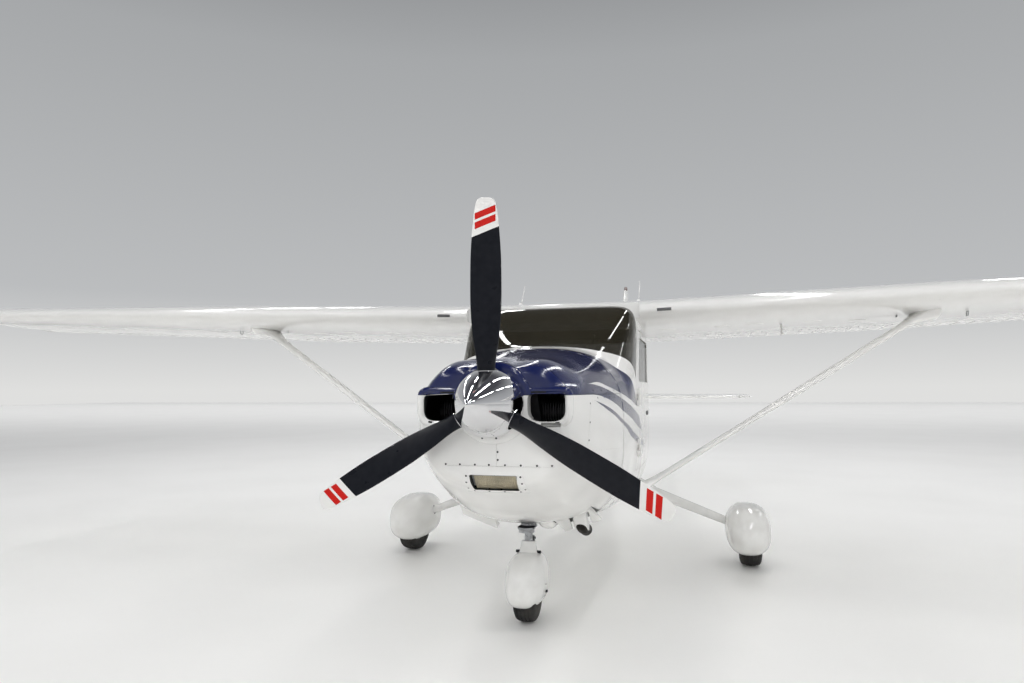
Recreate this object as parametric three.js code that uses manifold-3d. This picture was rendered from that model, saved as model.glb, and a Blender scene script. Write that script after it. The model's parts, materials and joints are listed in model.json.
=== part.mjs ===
// A four-seat, high-wing light aircraft with one engine, wing struts and fixed tricycle gear.
// Units are millimetres. x points to the aircraft's port side, y runs aft from the tip of the
// spinner, and z is up from the floor. The group at the end moves the middle of the length to y = 0.

import * as THREE from "three";
import { mergeVertices } from "three/addons/utils/BufferGeometryUtils.js";
import Module from "manifold-3d";

const wasm = await Module();
wasm.setup();

// Driving dimensions
const LENGTH = 8840;
const HALF_SPAN = 5485;
const HEIGHT = 2930;
const SEAT_GAP = 0.3; // between pieces that touch
const PIN_GAP = 0.65; // at the end of a pin on a leaning axis
const RUN_GAP = 6; // round pieces that move
const degrees = (d) => (d * Math.PI) / 180;

// Propeller
const PROP_Z = 1293;
const PROP_PLANE_Y = 326;
const PROP_RADIUS = 1004;
const BLADE_COUNT = 3;
const SPINNER_BACK_Y = 410;
const SPINNER_RADIUS = 170;
const SHANK_RADIUS = 44;
const SHAFT_RADIUS = 45;

// Fuselage
const COWL_END_Y = 1355;
const COWL_SPLIT_Z = 1330;
const FIREWALL_THICKNESS = 18;
const DOOR_FRONT_Y = 2000;
const DOOR_BACK_Y = 2985;
const SILL_Z = 797;
const EAVE_Z = 1769;
const WINDOW_SILL_Z = 1405;
const FLOOR_Z = 720;
const CABIN_END_Y = 4395;
const ROOF_END_Y = 3640;
const PANE = 8; // thickness of a window pane
const BULKHEAD = 22;

// Wing
const WING_ROOT_X = 620;
const ROOT_LE_Y = 1983;
const ROOT_LE_Z = 1900;
const ROOT_CHORD = 1626;
const TIP_CHORD = 1118;
const TAPER_START_X = 2540;
const DIHEDRAL = degrees(1.9);
const INCIDENCE = degrees(4.3);
const FLAP_FRACTION = 0.7; // of the chord, at the lower surface
const FLAP_OVERHANG = 0.07; // how much further aft the upper skin runs
const FLAP_INNER_X = 634;
const FLAP_OUTER_X = 2545;
const RIB_INNER_X = 2560;
const RIB_OUTER_X = 2575;
const AILERON_INNER_X = 2587;
const AILERON_OUTER_X = 5100;
const AILERON_FRACTION = 0.8;
const AILERON_END_GAP = 11;

// Tail
const TAIL_HALF_SPAN = 1780;
const TAIL_Z = 1236;
const ELEVATOR_HINGE_Y = 8020;
const STABILIZER_TIP_X = 1610;
const RUDDER_GAP = 9;

// Gear
const MAIN_Y = 2907;
const MAIN_WHEEL_X = 1372;
const MAIN_TYRE = { radius: 212, width: 160, rim: 92 };
const NOSE_Y = 1218;
const NOSE_TYRE = { radius: 178, width: 126, rim: 66 };
const NOSE_TILT = degrees(5);
const AXLE_RADIUS = 16;
const WHEEL_SIDES = 24;

// Finishes
const paint = (color, roughness = 0.25, metalness = 0.1) =>
  new THREE.MeshStandardMaterial({ color, roughness, metalness });
const finish = {
  white: paint(0xf1f1ee),
  navy: paint(0x101a4a, 0.12),
  chrome: paint(0xd8d8d8, 0.05, 1),
  black: paint(0x0c0f14, 0.4),
  steel: paint(0x8e9194, 0.35, 1),
  iron: paint(0x4a4c4e, 0.6, 0.8),
  rubber: paint(0x141414, 0.85, 0),
  glass: paint(0x2a2f2b, 0.05, 0),
  trim: paint(0x3a3a3c, 0.7, 0),
  cloth: paint(0x8f8676, 0.9, 0),
  filter: paint(0xb3a183, 0.9, 0),
};

// Solids: a closed geometry as a solid that can be joined and cut, and back again
function solid(geometry) {
  const plain = geometry.clone();
  plain.deleteAttribute("normal");
  plain.deleteAttribute("uv");
  const merged = mergeVertices(plain, 1e-3);
  return new wasm.Manifold(
    new wasm.Mesh({
      numProp: 3,
      vertProperties: merged.attributes.position.array,
      triVerts: new Uint32Array(merged.index.array),
    }),
  );
}

function geometryOf(body) {
  const mesh = body.getMesh();
  return new THREE.BufferGeometry()
    .setAttribute("position", new THREE.BufferAttribute(mesh.vertProperties, 3))
    .setIndex(new THREE.BufferAttribute(mesh.triVerts, 1));
}

const join = (first, ...rest) => rest.reduce((a, b) => a.add(b), first);
const cut = (first, ...rest) => rest.reduce((a, b) => a.subtract(b), first);
const common = (first, ...rest) => rest.reduce((a, b) => a.intersect(b), first);
const point = (x, y, z) => new THREE.Vector3(x, y, z);

// A solid turned, shifted or mirrored by a matrix
function moved(body, matrix) {
  const geometry = geometryOf(body).applyMatrix4(matrix);
  if (matrix.determinant() > 0) return solid(geometry);
  const corners = geometry.index.array;
  for (let i = 0; i < corners.length; i += 3) {
    [corners[i + 1], corners[i + 2]] = [corners[i + 2], corners[i + 1]];
  }
  return solid(geometry);
}
const mirrorX = (body) => moved(body, new THREE.Matrix4().makeScale(-1, 1, 1));
const shifted = (body, x, y, z) => moved(body, new THREE.Matrix4().makeTranslation(x, y, z));

function box(x0, x1, y0, y1, z0, z1) {
  const block = new THREE.BoxGeometry(x1 - x0, y1 - y0, z1 - z0);
  return solid(block.translate((x0 + x1) / 2, (y0 + y1) / 2, (z0 + z1) / 2));
}

// A round bar from point a to point b, with a radius at each
function rod(a, b, radiusA, radiusB = radiusA, sides = 16) {
  const along = b.clone().sub(a);
  const bar = new THREE.CylinderGeometry(radiusB, radiusA, along.length(), sides);
  const turn = new THREE.Quaternion().setFromUnitVectors(point(0, 1, 0), along.normalize());
  const middle = a.clone().add(b).multiplyScalar(0.5);
  return solid(bar.applyQuaternion(turn).translate(middle.x, middle.y, middle.z));
}

function extrude(outline, depth, basis, origin) {
  const shape = new THREE.Shape(outline.map(([u, v]) => new THREE.Vector2(u, v)));
  const prism = new THREE.ExtrudeGeometry(shape, { depth, bevelEnabled: false });
  return solid(prism.applyMatrix4(basis).translate(...origin));
}

// Prisms from an outline seen from the side (y, z), from above (x, y) or from the front (x, z)
function sidePrism(outline, x0, x1) {
  const basis = new THREE.Matrix4().makeBasis(point(0, 1, 0), point(0, 0, 1), point(1, 0, 0));
  return extrude(outline, x1 - x0, basis, [x0, 0, 0]);
}
function planPrism(outline, z0, z1) {
  return extrude(outline, z1 - z0, new THREE.Matrix4(), [0, 0, z0]);
}
function frontPrism(outline, y0, y1) {
  const basis = new THREE.Matrix4().makeBasis(point(1, 0, 0), point(0, 0, 1), point(0, -1, 0));
  return extrude(outline, y1 - y0, basis, [0, y1, 0]);
}

// A skin over rings of points, each ring with as many points, closed by a flat strip at both ends
function loft(rings) {
  const count = rings[0].length;
  const positions = rings.flat().flatMap((p) => [p.x, p.y, p.z]);
  const index = [];
  for (let r = 0; r + 1 < rings.length; r++) {
    for (let i = 0; i < count; i++) {
      const a = r * count + i;
      const b = r * count + ((i + 1) % count);
      index.push(a, b, b + count, a, b + count, a + count);
    }
  }
  const lastRing = (rings.length - 1) * count;
  const closeEnds = (a, b, c) => index.push(a, b, c, lastRing + a, lastRing + c, lastRing + b);
  let low = 0;
  let high = count - 1;
  while (low + 1 < high) {
    closeEnds(low, high, low + 1);
    low += 1;
    if (low + 1 < high) {
      closeEnds(low, high, high - 1);
      high -= 1;
    }
  }
  const skin = new THREE.BufferGeometry()
    .setAttribute("position", new THREE.BufferAttribute(new Float32Array(positions), 3))
    .setIndex(index);
  const body = solid(skin);
  if (body.volume() > 0) return body;
  const turned = [];
  for (let t = 0; t < index.length; t += 3) turned.push(index[t], index[t + 2], index[t + 1]);
  return solid(skin.setIndex(turned));
}

// A closed profile of [radius, distance along the axis], turned about the y axis and then laid
// along x for wheels, or left along y for the spinner
function turned(profile, sides, alongX) {
  const outline = profile.map(([r, d]) => new THREE.Vector2(r, d));
  const lathe = new THREE.LatheGeometry(outline, sides);
  if (alongX) lathe.rotateZ(-Math.PI / 2);
  return solid(lathe);
}

// Fuselage sections
// y, bottom z, z of the widest line, top z, half width, exponent below, exponent above, wall
const SECTIONS = [
  [440, 925, 1210, 1440, 345, 2.4, 2.5, 30],
  [462, 890, 1208, 1468, 385, 2.5, 2.5, 30],
  [520, 850, 1205, 1488, 418, 2.6, 2.5, 30],
  [620, 800, 1195, 1508, 452, 2.6, 2.5, 28],
  [820, 700, 1180, 1538, 498, 2.6, 2.5, 28],
  [1080, 600, 1165, 1572, 535, 2.8, 2.6, 28],
  [1355, 540, 1150, 1604, 560, 3.0, 2.7, 28],
  [1600, 520, 1150, 1634, 580, 3.0, 2.8, 30],
  [1800, 510, 1150, 1778, 593, 3.3, 3.6, 34],
  [2050, 503, 1150, 1938, 604, 3.6, 6.0, 36],
  [2300, 498, 1150, 1984, 611, 4.0, 7.0, 36],
  [2700, 495, 1150, 1992, 615, 4.0, 7.0, 36],
  [3100, 500, 1150, 1952, 610, 4.0, 6.5, 34],
  [3640, 530, 1150, 1845, 574, 3.8, 5.0, 26],
  [4400, 622, 1135, 1606, 474, 3.2, 3.0, 14],
  [5500, 770, 1130, 1520, 350, 2.7, 2.6, 12],
  [7000, 950, 1165, 1425, 205, 2.5, 2.4, 12],
  [8100, 1070, 1200, 1335, 95, 2.4, 2.4, 12],
];
const RING_POINTS = 28;

// The fuselage's own curve between two sections
function sectionAt(y) {
  const last = SECTIONS.length - 1;
  let i = 0;
  while (i < last - 1 && SECTIONS[i + 1][0] < y) i++;
  const t = (y - SECTIONS[i][0]) / (SECTIONS[i + 1][0] - SECTIONS[i][0]);
  return SECTIONS[i].map((v, k) => (k ? v + t * (SECTIONS[i + 1][k] - v) : y));
}

const power = (v, n) => Math.sign(v) * Math.abs(v) ** (2 / n);

function fuselageRing([y, bottom, middle, top, half, below, above], inset) {
  return Array.from({ length: RING_POINTS }, (_, i) => {
    const angle = (2 * Math.PI * i) / RING_POINTS;
    const rises = Math.cos(angle) >= 0;
    const n = rises ? above : below;
    const height = rises ? top - middle - inset : middle - bottom - inset;
    const x = (half - inset) * power(Math.sin(angle), n);
    return point(x, y, middle + height * power(Math.cos(angle), n));
  });
}

// The fuselage's outside, drawn in or out by an even distance
function fuselage(inset = 0, fromY = 440, toY = 8100) {
  const between = SECTIONS.filter(([y]) => y > fromY && y < toY);
  const rows = [sectionAt(fromY), ...between, sectionAt(toY)];
  return loft(rows.map((row) => fuselageRing(row, inset)));
}

// The space inside its walls, drawn in by the wall of each section and an extra distance
function cavity(fromY, toY, extra = 0) {
  const between = SECTIONS.filter(([y]) => y > fromY && y < toY);
  const rows = [sectionAt(fromY), ...between, sectionAt(toY)];
  return loft(rows.map((row) => fuselageRing(row, row[7] + extra)));
}

// Half the fuselage's width at a place on its side
function sideX(y, z) {
  const [, bottom, middle, top, half, below, above] = sectionAt(y);
  const rises = z > middle;
  const n = rises ? above : below;
  const share = Math.abs(z - middle) / (rises ? top - middle : middle - bottom);
  return half * (1 - share ** n) ** (1 / n);
}

const WIDE = 760; // reaches past the fuselage's sides
const across = (outline) => sidePrism(outline, -WIDE, WIDE);
const slab = (y0, y1, z0, z1) => box(-WIDE, WIDE, y0, y1, z0, z1);

const outside = fuselage();
const shell = cut(outside, cavity(470, 8000));

// An outline moved out (or in, if negative) by an even distance
function grow(outline, distance) {
  const area = outline.reduce((sum, [u, v], i) => {
    const [p, q] = outline[(i + 1) % outline.length];
    return sum + u * q - p * v;
  }, 0);
  const side = Math.sign(area) * distance;
  return outline.map(([u, v], i) => {
    const [u0, v0] = outline[(i + outline.length - 1) % outline.length];
    const [u1, v1] = outline[(i + 1) % outline.length];
    const before = new THREE.Vector2(v - v0, u0 - u).normalize();
    const after = new THREE.Vector2(v1 - v, u - u1).normalize();
    const miter = before.clone().add(after).normalize();
    const reach = side / miter.dot(after);
    return [u + miter.x * reach, v + miter.y * reach];
  });
}

// Side outlines (y, z) of what is cut into the fuselage's sides
const DOOR = [
  [DOOR_FRONT_Y, 800],
  [DOOR_FRONT_Y, 1415],
  [2112, 1762],
  [DOOR_BACK_Y, 1762],
  [DOOR_BACK_Y, 1120],
  [2905, 800],
];
const DOOR_WINDOW = [
  [2062, WINDOW_SILL_Z],
  [2163, 1716],
  [2925, 1716],
  [2925, WINDOW_SILL_Z],
];
const REAR_SIDE_WINDOW = [
  [3062, WINDOW_SILL_Z],
  [3062, 1716],
  [3560, 1716],
  [3800, 1500],
  [3740, WINDOW_SILL_Z],
];
const BAGGAGE_DOOR = [
  [3800, 930],
  [3800, 1330],
  [4200, 1330],
  [4200, 970],
];
const WINDSHIELD = [
  [1588, 1670],
  [1588, 1642],
  [1912, 1418],
  [2030, EAVE_Z + 6],
  [2072, 2020],
  [1800, 2020],
];
const REAR_WINDOW = [
  [ROOF_END_Y, 1950],
  [ROOF_END_Y, 1742],
  [4250, 1570],
  [4330, 1660],
];

// A pane that follows the fuselage's side inside an outline, set halfway into the wall
const paneLayer = cut(fuselage(10), fuselage(10 + PANE));
const frontPaneLayer = cut(fuselage(4), fuselage(4 + PANE));
const pane = (outline, x0, x1) => common(paneLayer, sidePrism(grow(outline, -SEAT_GAP), x0, x1));

// Cowl
function inletHole(side) {
  const outline = Array.from({ length: 16 }, (_, i) => {
    const a = (2 * Math.PI * i) / 16;
    return [side * 272 + 86 * power(Math.cos(a), 3.2), 1277 + 72 * power(Math.sin(a), 3.2)];
  });
  return frontPrism(outline, 400, 640);
}
const SCOOP = { half: 118, bottom: 853, top: 937, back: 690, wall: 8 };
const FILTER_FRONT_Y = 615;
const NOSE_SLOT = { half: 62, front: 1140 };

function cowlShell() {
  const whole = common(shell, slab(400, COWL_END_Y, 0, 2000));
  const shaftHole = rod(point(0, 400, PROP_Z), point(0, 560, PROP_Z), 75, 75, 24);
  return cut(whole, shaftHole, inletHole(1), inletHole(-1));
}

function cowlUpper() {
  return common(cowlShell(), slab(400, COWL_END_Y, COWL_SPLIT_Z + SEAT_GAP, 2000));
}

function cowlLower() {
  const { half, bottom, top, back, wall } = SCOOP;
  const skin = common(cowlShell(), slab(400, COWL_END_Y, 0, COWL_SPLIT_Z));
  const duct = common(box(-half - wall, half + wall, 460, back, bottom - wall, top + wall), fuselage(5));
  const scoop = box(-half, half, 400, back + 40, bottom, top);
  const side = COWL_FLAP.width / 2 + RUN_GAP + 1;
  const opening = moved(box(-side, side, -12, 300, -120, 90), cowlFlapPlace);
  const slot = box(-NOSE_SLOT.half, NOSE_SLOT.half, NOSE_SLOT.front, COWL_END_Y + 50, 400, 700);
  return cut(join(skin, duct), scoop, slot, opening, mirrorX(opening));
}

// The pleated filter stands in the scoop's duct
function inductionFilter() {
  const half = SCOOP.half - SEAT_GAP;
  return box(-half, half, FILTER_FRONT_Y, SCOOP.back, SCOOP.bottom + SEAT_GAP, SCOOP.top - SEAT_GAP);
}

// Cowl flaps: plates hinged at their front edge, standing open. The hinge leans with the cowl's
// round bottom, so that each flap is drawn level about its hinge and then placed.
const COWL_FLAP = {
  hinge: [280, 1112, 657],
  lean: degrees(20),
  width: 232,
  length: 232,
  thickness: 6,
  open: degrees(29.5), // below the horizontal; shut it slopes down by half as much
};
const cowlFlapPlace = new THREE.Matrix4()
  .makeTranslation(...COWL_FLAP.hinge)
  .multiply(new THREE.Matrix4().makeRotationY(-COWL_FLAP.lean));
const TAILPIPE = { x: 312, radius: 38, wall: 4 };

function cowlFlap(side) {
  const { width, length, thickness, open } = COWL_FLAP;
  const half = width / 2;
  const plate = box(-half, half, 0, length, -thickness / 2, thickness / 2);
  const cheek = sidePrism(
    [
      [10, 0],
      [length - 8, 0],
      [length - 8, 30],
    ],
    -half,
    4 - half,
  );
  const pinReach = half + RUN_GAP + 1 - SEAT_GAP;
  const pin = rod(point(-pinReach, 0, 0), point(pinReach, 0, 0), 6, 6, 12);
  const standing = moved(join(plate, cheek, pin), new THREE.Matrix4().makeRotationX(-open));
  const flap = moved(standing, cowlFlapPlace);
  if (side < 0) return mirrorX(flap);
  // The tailpipe comes down through the port flap, which has a notch for it
  const reach = TAILPIPE.radius + 20;
  const front = COWL_FLAP.hinge[1] + 55;
  return cut(flap, box(TAILPIPE.x - reach, TAILPIPE.x + reach, front, front + length, 0, 1000));
}

// Exhaust tailpipe, from the engine's underside out below the firewall
function tailpipe() {
  const { x, radius, wall } = TAILPIPE;
  const bends = [point(x, 1150, 960), point(x, 1225, 640), point(x, 1290, 548), point(x, 1470, 495)];
  const bars = bends.slice(1).map((end, i) => rod(bends[i], end, radius, radius, 14));
  const elbows = bends.slice(1, -1).map((p) => solid(new THREE.SphereGeometry(radius, 14, 8).translate(...p)));
  const bore = rod(point(x, 1340, 533), point(x, 1490, 489), radius - wall, radius - wall, 14);
  const aboveEngine = slab(1000, 1300, ENGINE.bottom - SEAT_GAP, 1100);
  return cut(join(...bars, ...elbows), bore, aboveEngine);
}

// Engine: one block with its shaft and the four tubes that hold it on the firewall
const ENGINE = { half: 405, front: 650, back: 1275, bottom: 950, top: 1430 };
const ENGINE_CLEARANCE = 14; // between its corners and the cowl

function engineBlock() {
  const { half, front, back, bottom, top } = ENGINE;
  const room = cavity(500, 1400, ENGINE_CLEARANCE);
  const block = common(box(-half, half, front, back, bottom, top), room);
  const shaft = rod(
    point(0, SPINNER_BACK_Y + SEAT_GAP, PROP_Z),
    point(0, front + 10, PROP_Z),
    SHAFT_RADIUS,
  );
  const mounts = [-250, 250].flatMap((x) =>
    [1040, 1340].map((z) => rod(point(x, back - 5, z), point(x, COWL_END_Y - 0.1, z), 16, 16, 12)),
  );
  return join(block, shaft, ...mounts);
}

const FIREWALL_Y = COWL_END_Y + SEAT_GAP;
const FORWARD_Y = FIREWALL_Y + FIREWALL_THICKNESS + SEAT_GAP;
const firewall = () => common(outside, slab(FIREWALL_Y, FIREWALL_Y + FIREWALL_THICKNESS, 0, 2000));

// Strut and main leg are drawn with an extra distance all round, to cut their own seats
const STRUT = { base: [560, 1946, 655], top: [2530, 2432, 1875], chord: 112, thickness: 40 };

function strut(extra = 0) {
  const [base, top] = [point(...STRUT.base), point(...STRUT.top)];
  const along = top.clone().sub(base).normalize();
  const upward = point(0, 1, 0).cross(along).normalize();
  const aft = along.clone().cross(upward);
  const ends = [base.addScaledVector(along, -extra), top.addScaledVector(along, extra)];
  const rings = ends.map((end) =>
    Array.from({ length: 16 }, (_, i) => {
      const a = (2 * Math.PI * i) / 16;
      const length = (STRUT.chord / 2 + extra * 1.1) * Math.cos(a);
      const height = (STRUT.thickness / 2 + extra * 1.1) * Math.sin(a);
      return end.clone().addScaledVector(upward, height).addScaledVector(aft, length);
    }),
  );
  return loft(rings);
}

const MAIN_LEG = {
  root: { x: 480, z: 603, radius: 46 },
  foot: { x: 1262, z: 308, radius: 31 },
  plate: { inner: 1246, outer: 1268, half: 42, bottom: 172, top: 345 },
  axleEnd: 1445,
};

function mainLeg(extra = 0) {
  const { root, foot, plate, axleEnd } = MAIN_LEG;
  const start = point(root.x - extra, MAIN_Y, root.z + extra);
  const spar = rod(start, point(foot.x, MAIN_Y, foot.z), root.radius + extra, foot.radius + extra);
  const [front, back] = [MAIN_Y - plate.half, MAIN_Y + plate.half];
  const footPlate = box(plate.inner - extra, plate.outer + extra, front, back, plate.bottom - extra, plate.top);
  const axle = rod(
    point(foot.x, MAIN_Y, MAIN_TYRE.radius),
    point(axleEnd + extra, MAIN_Y, MAIN_TYRE.radius),
    AXLE_RADIUS + extra,
  );
  return join(spar, footPlate, axle);
}

// Panels of the cabin
function cabinFloor() {
  const sides = common(shell, slab(FORWARD_Y, CABIN_END_Y, 0, SILL_Z - 3));
  const deck = common(outside, slab(FORWARD_Y, 3640, 0, FLOOR_Z));
  const bodies = [strut(SEAT_GAP), mainLeg(SEAT_GAP)];
  return cut(join(sides, deck), ...bodies, ...bodies.map(mirrorX));
}

const sill = SILL_Z - 3 + SEAT_GAP;

// A hinge that stands on the skin: three knuckles one over another, each with a strap into the wall
// and a thin arm to its strap. The middle one moves with the leaf.
const HINGE = { radius: 9, knuckle: 40, strap: 40, depth: 34, arm: 7 };

function hingeStack(x, y, lowZ, moving) {
  const { radius, knuckle, strap, depth, arm } = HINGE;
  const gap = SEAT_GAP / 2;
  const clear = RUN_GAP / 2 + 1;
  const [far, near] = moving ? [y + strap, y + clear] : [y - strap, y - clear];
  const between = (a, b) => [Math.min(a, b), Math.max(a, b)];
  return [0, 1, 2]
    .filter((k) => (k === 1) === moving)
    .map((k) => {
      const z0 = lowZ + k * knuckle + gap;
      const z1 = lowZ + (k + 1) * knuckle - gap;
      const pin = rod(point(x, y, z0), point(x, y, z1), radius, radius, 10);
      const leaf = box(x - depth, x, ...between(near, far), z0, z1);
      return join(pin, leaf, box(x - arm, x, ...between(y, far), z0, z1));
    });
}

const DOOR_HINGE = { x: 612, y: DOOR_FRONT_Y - RUN_GAP / 2, heights: [900, 1240] };
const BAGGAGE_HINGE = { x: sideX(3800, 1150) + 10, y: 3800 - RUN_GAP / 2, heights: [960, 1180] };

const doorHinges = (moving) =>
  DOOR_HINGE.heights.flatMap((z) => hingeStack(DOOR_HINGE.x, DOOR_HINGE.y, z, moving));
const baggageHinges = (moving) =>
  BAGGAGE_HINGE.heights.flatMap((z) => hingeStack(BAGGAGE_HINGE.x, BAGGAGE_HINGE.y, z, moving));

// Boot cowl, deck and the posts on both sides of the windshield
function forwardFuselage() {
  const outline = [
    [FORWARD_Y, sill],
    [DOOR_FRONT_Y + 400, sill],
    [DOOR_FRONT_Y + 400, EAVE_Z - SEAT_GAP],
    [2030, EAVE_Z - SEAT_GAP],
    [1912, 1418],
    [1588 - SEAT_GAP, 1642],
    [1588 - SEAT_GAP, 1720],
    [FORWARD_Y, 1720],
  ];
  const skin = cut(common(shell, across(outline)), across(grow(DOOR, RUN_GAP)));
  const ahead = common(skin, slab(FORWARD_Y, 2150, 0, EAVE_Z));
  const behindDoor = slab(2150, 3000, 0, 2000);
  const fixed = doorHinges(false);
  return join(cut(ahead, behindDoor), ...fixed, ...fixed.map(mirrorX));
}

function windshield() {
  return common(frontPaneLayer, across(grow(WINDSHIELD, -SEAT_GAP)));
}

const WINDSHIELD_CLEAR = [
  [1500, 1700],
  [2004, 1700],
  [2030, EAVE_Z],
  [2072, 2020],
  [2072, 2100],
  [1500, 2100],
];

const HEADLINING = {
  half: 490,
  low: { reach: [2130, 3560], top: 1800 },
  high: { reach: [2200, 3200], top: 1905 },
};

// Roof: the wing's middle section with the skin round it, and a hollow for the headlining
function cabinRoof() {
  const cap = common(outside, slab(2000, ROOF_END_Y, EAVE_Z, 2100));
  const middle = wingBody(-WING_ROOT_X + SEAT_GAP, WING_ROOT_X - SEAT_GAP);
  const aboveEave = common(middle, slab(1950, ROOF_END_Y, EAVE_Z, 2100));
  const { half, low, high } = HEADLINING;
  const hollow = box(-half, half, ...low.reach, 1700, low.top);
  const frontHollow = box(-half, half, ...high.reach, 1700, high.top);
  const roof = cut(join(cap, aboveEave), hollow, frontHollow, across(WINDSHIELD_CLEAR));
  return join(roof, cut(aboveEave, outside));
}

function aftCabin() {
  const outline = [
    [2900, sill],
    [CABIN_END_Y, sill],
    [CABIN_END_Y, 1950],
    [ROOF_END_Y + SEAT_GAP, 1950],
    [ROOF_END_Y + SEAT_GAP, EAVE_Z - SEAT_GAP],
    [2900, EAVE_Z - SEAT_GAP],
  ];
  const wall = common(outside, slab(CABIN_END_Y - BULKHEAD, CABIN_END_Y, sill, 1700));
  const skin = join(common(shell, across(outline)), common(wall, across(outline)));
  const openings = [
    across(grow(DOOR, RUN_GAP)),
    across(REAR_SIDE_WINDOW),
    across(REAR_WINDOW),
    sidePrism(grow(BAGGAGE_DOOR, RUN_GAP), 300, WIDE),
    slab(2000, 2800, 0, 2000),
  ];
  return join(cut(skin, ...openings), ...baggageHinges(false));
}

function cabinDoor(side) {
  const skin = common(shell, sidePrism(DOOR, 300, WIDE));
  const door = join(cut(skin, sidePrism(DOOR_WINDOW, 300, WIDE)), ...doorHinges(true));
  return side > 0 ? door : mirrorX(door);
}

function baggageDoor() {
  const skin = common(shell, sidePrism(BAGGAGE_DOOR, 300, WIDE));
  return join(skin, ...baggageHinges(true));
}

function rearWindow() {
  return common(frontPaneLayer, across(grow(REAR_WINDOW, -SEAT_GAP)));
}

// Cabin fittings
const PANEL = { front: 1708, back: 1742, bottom: 1040, top: 1520 };
const GLARE_SHIELD = { front: 1700, back: 1812, thickness: 20 };

function instrumentPanel() {
  const inside = cavity(1500, 2000, SEAT_GAP);
  const { front, back, bottom, top } = PANEL;
  const face = common(inside, slab(front, back, bottom, top));
  const { thickness } = GLARE_SHIELD;
  const shelf = common(inside, slab(GLARE_SHIELD.front, GLARE_SHIELD.back, top - thickness, top));
  return join(face, shelf);
}

// Seats: a cushion, a back drawn from the side and a base, each with half its width
const FRONT_SEAT = {
  x: 262,
  cushion: { half: 225, front: 2330, back: 2800, bottom: 930, top: 1050 },
  base: { half: 180, front: 2370, back: 2770 },
  back: {
    half: 215,
    outline: [
      [2720, 1000],
      [2810, 1000],
      [2935, 1530],
      [2860, 1540],
    ],
  },
};
const REAR_SEAT = {
  x: 0,
  cushion: { half: 500, front: 3130, back: 3560, bottom: 900, top: 1030 },
  base: { half: 440, front: 3200, back: 3540 },
  back: {
    half: 480,
    outline: [
      [3500, 990],
      [3590, 990],
      [3680, 1470],
      [3610, 1480],
    ],
  },
};

function seat({ x, cushion, base, back }, side = 1) {
  const middle = side * x;
  const wide = ({ half }) => [middle - half, middle + half];
  const pad = box(...wide(cushion), cushion.front, cushion.back, cushion.bottom, cushion.top);
  const foot = box(...wide(base), base.front, base.back, FLOOR_Z + SEAT_GAP, cushion.bottom + 10);
  return join(pad, sidePrism(back.outline, ...wide(back)), foot);
}

// Wing: a section 12 percent thick with 2 percent camber, highest at 40 percent of the chord
const SHARES = [1, 0.85, 0.68, 0.5, 0.34, 0.2, 0.1, 0.04, 0.01];

function airfoil(thickness, camber) {
  const half = (s) =>
    5 *
    thickness *
    (0.2969 * Math.sqrt(s) - 0.126 * s - 0.3516 * s ** 2 + 0.2843 * s ** 3 - 0.1015 * s ** 4);
  const line = (s) =>
    s < 0.4
      ? (camber / 0.16) * (0.8 * s - s * s)
      : (camber / 0.36) * (0.2 + 0.8 * s - s * s);
  const upper = SHARES.map((s) => [s, line(s) + half(s)]);
  const lower = SHARES.slice(1).reverse().map((s) => [s, line(s) - half(s)]);
  return [...upper, [0, 0], ...lower, [1, -0.0012]];
}

// The leading edge and chord of the wing at a distance from the middle
function wingAt(x) {
  const span = Math.abs(x);
  const t = Math.max(0, (span - TAPER_START_X) / (HALF_SPAN - TAPER_START_X));
  const chord = ROOT_CHORD + t * (TIP_CHORD - ROOT_CHORD);
  const rise = Math.max(0, span - WING_ROOT_X) * Math.tan(DIHEDRAL);
  return { y: ROOT_LE_Y + (ROOT_CHORD - chord) / 4, z: ROOT_LE_Z + rise, chord };
}

// A point of the wing from its share of the chord and height above the chord line
function wingPoint(x, share, height) {
  const { y, z, chord } = wingAt(x);
  const [along, up] = [share * chord, height * chord];
  return point(
    x,
    y + along * Math.cos(INCIDENCE) + up * Math.sin(INCIDENCE),
    z - along * Math.sin(INCIDENCE) + up * Math.cos(INCIDENCE),
  );
}

function wingRing(x, width = 1, thin = 1) {
  const shift = 0.42 * (1 - width);
  return airfoil(0.12 * thin, 0.02).map(([s, h]) => wingPoint(x, shift + s * width, h * width));
}

function wingBody(fromX, toX) {
  const rounding = [
    [5330, 1, 1],
    [5430, 0.94, 0.8],
    [5470, 0.86, 0.55],
    [HALF_SPAN, 0.76, 0.3],
  ];
  const rings = [wingRing(fromX)];
  if (fromX < TAPER_START_X && toX > TAPER_START_X) rings.push(wingRing(TAPER_START_X));
  if (toX < HALF_SPAN) rings.push(wingRing(toX));
  else rounding.forEach(([x, width, thin]) => rings.push(wingRing(x, width, thin)));
  return loft(rings);
}

// A prism along the wing from an outline of [share of chord, height], between two places on the span
function alongWing(outline, fromX, toX) {
  return loft([fromX, toX].map((x) => outline.map(([s, h]) => wingPoint(x, s, h))));
}

const FAR = 0.3; // a height, as a share of the chord, well past the skin
function behindFlapCut(extra) {
  const front = FLAP_FRACTION - extra;
  const slope = FLAP_OVERHANG / 0.09;
  return [
    [front + slope * (0.05 - FAR), -FAR],
    [1.3, -FAR],
    [1.3, FAR],
    [front + slope * (0.05 + FAR), FAR],
  ];
}
const FLAP_CLEARANCE = 8 / ROOT_CHORD;
const FLAP_PIN_SHARE = 0.77;
const flapPin = (x) => wingPoint(x, FLAP_PIN_SHARE, 0.005);

const aileronRadius = (x) => 0.0245 * wingAt(x).chord;
const AILERON_AXIS_HEIGHT = 0.011;
const aileronAxis = (x) => wingPoint(x, AILERON_FRACTION, AILERON_AXIS_HEIGHT);

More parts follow.
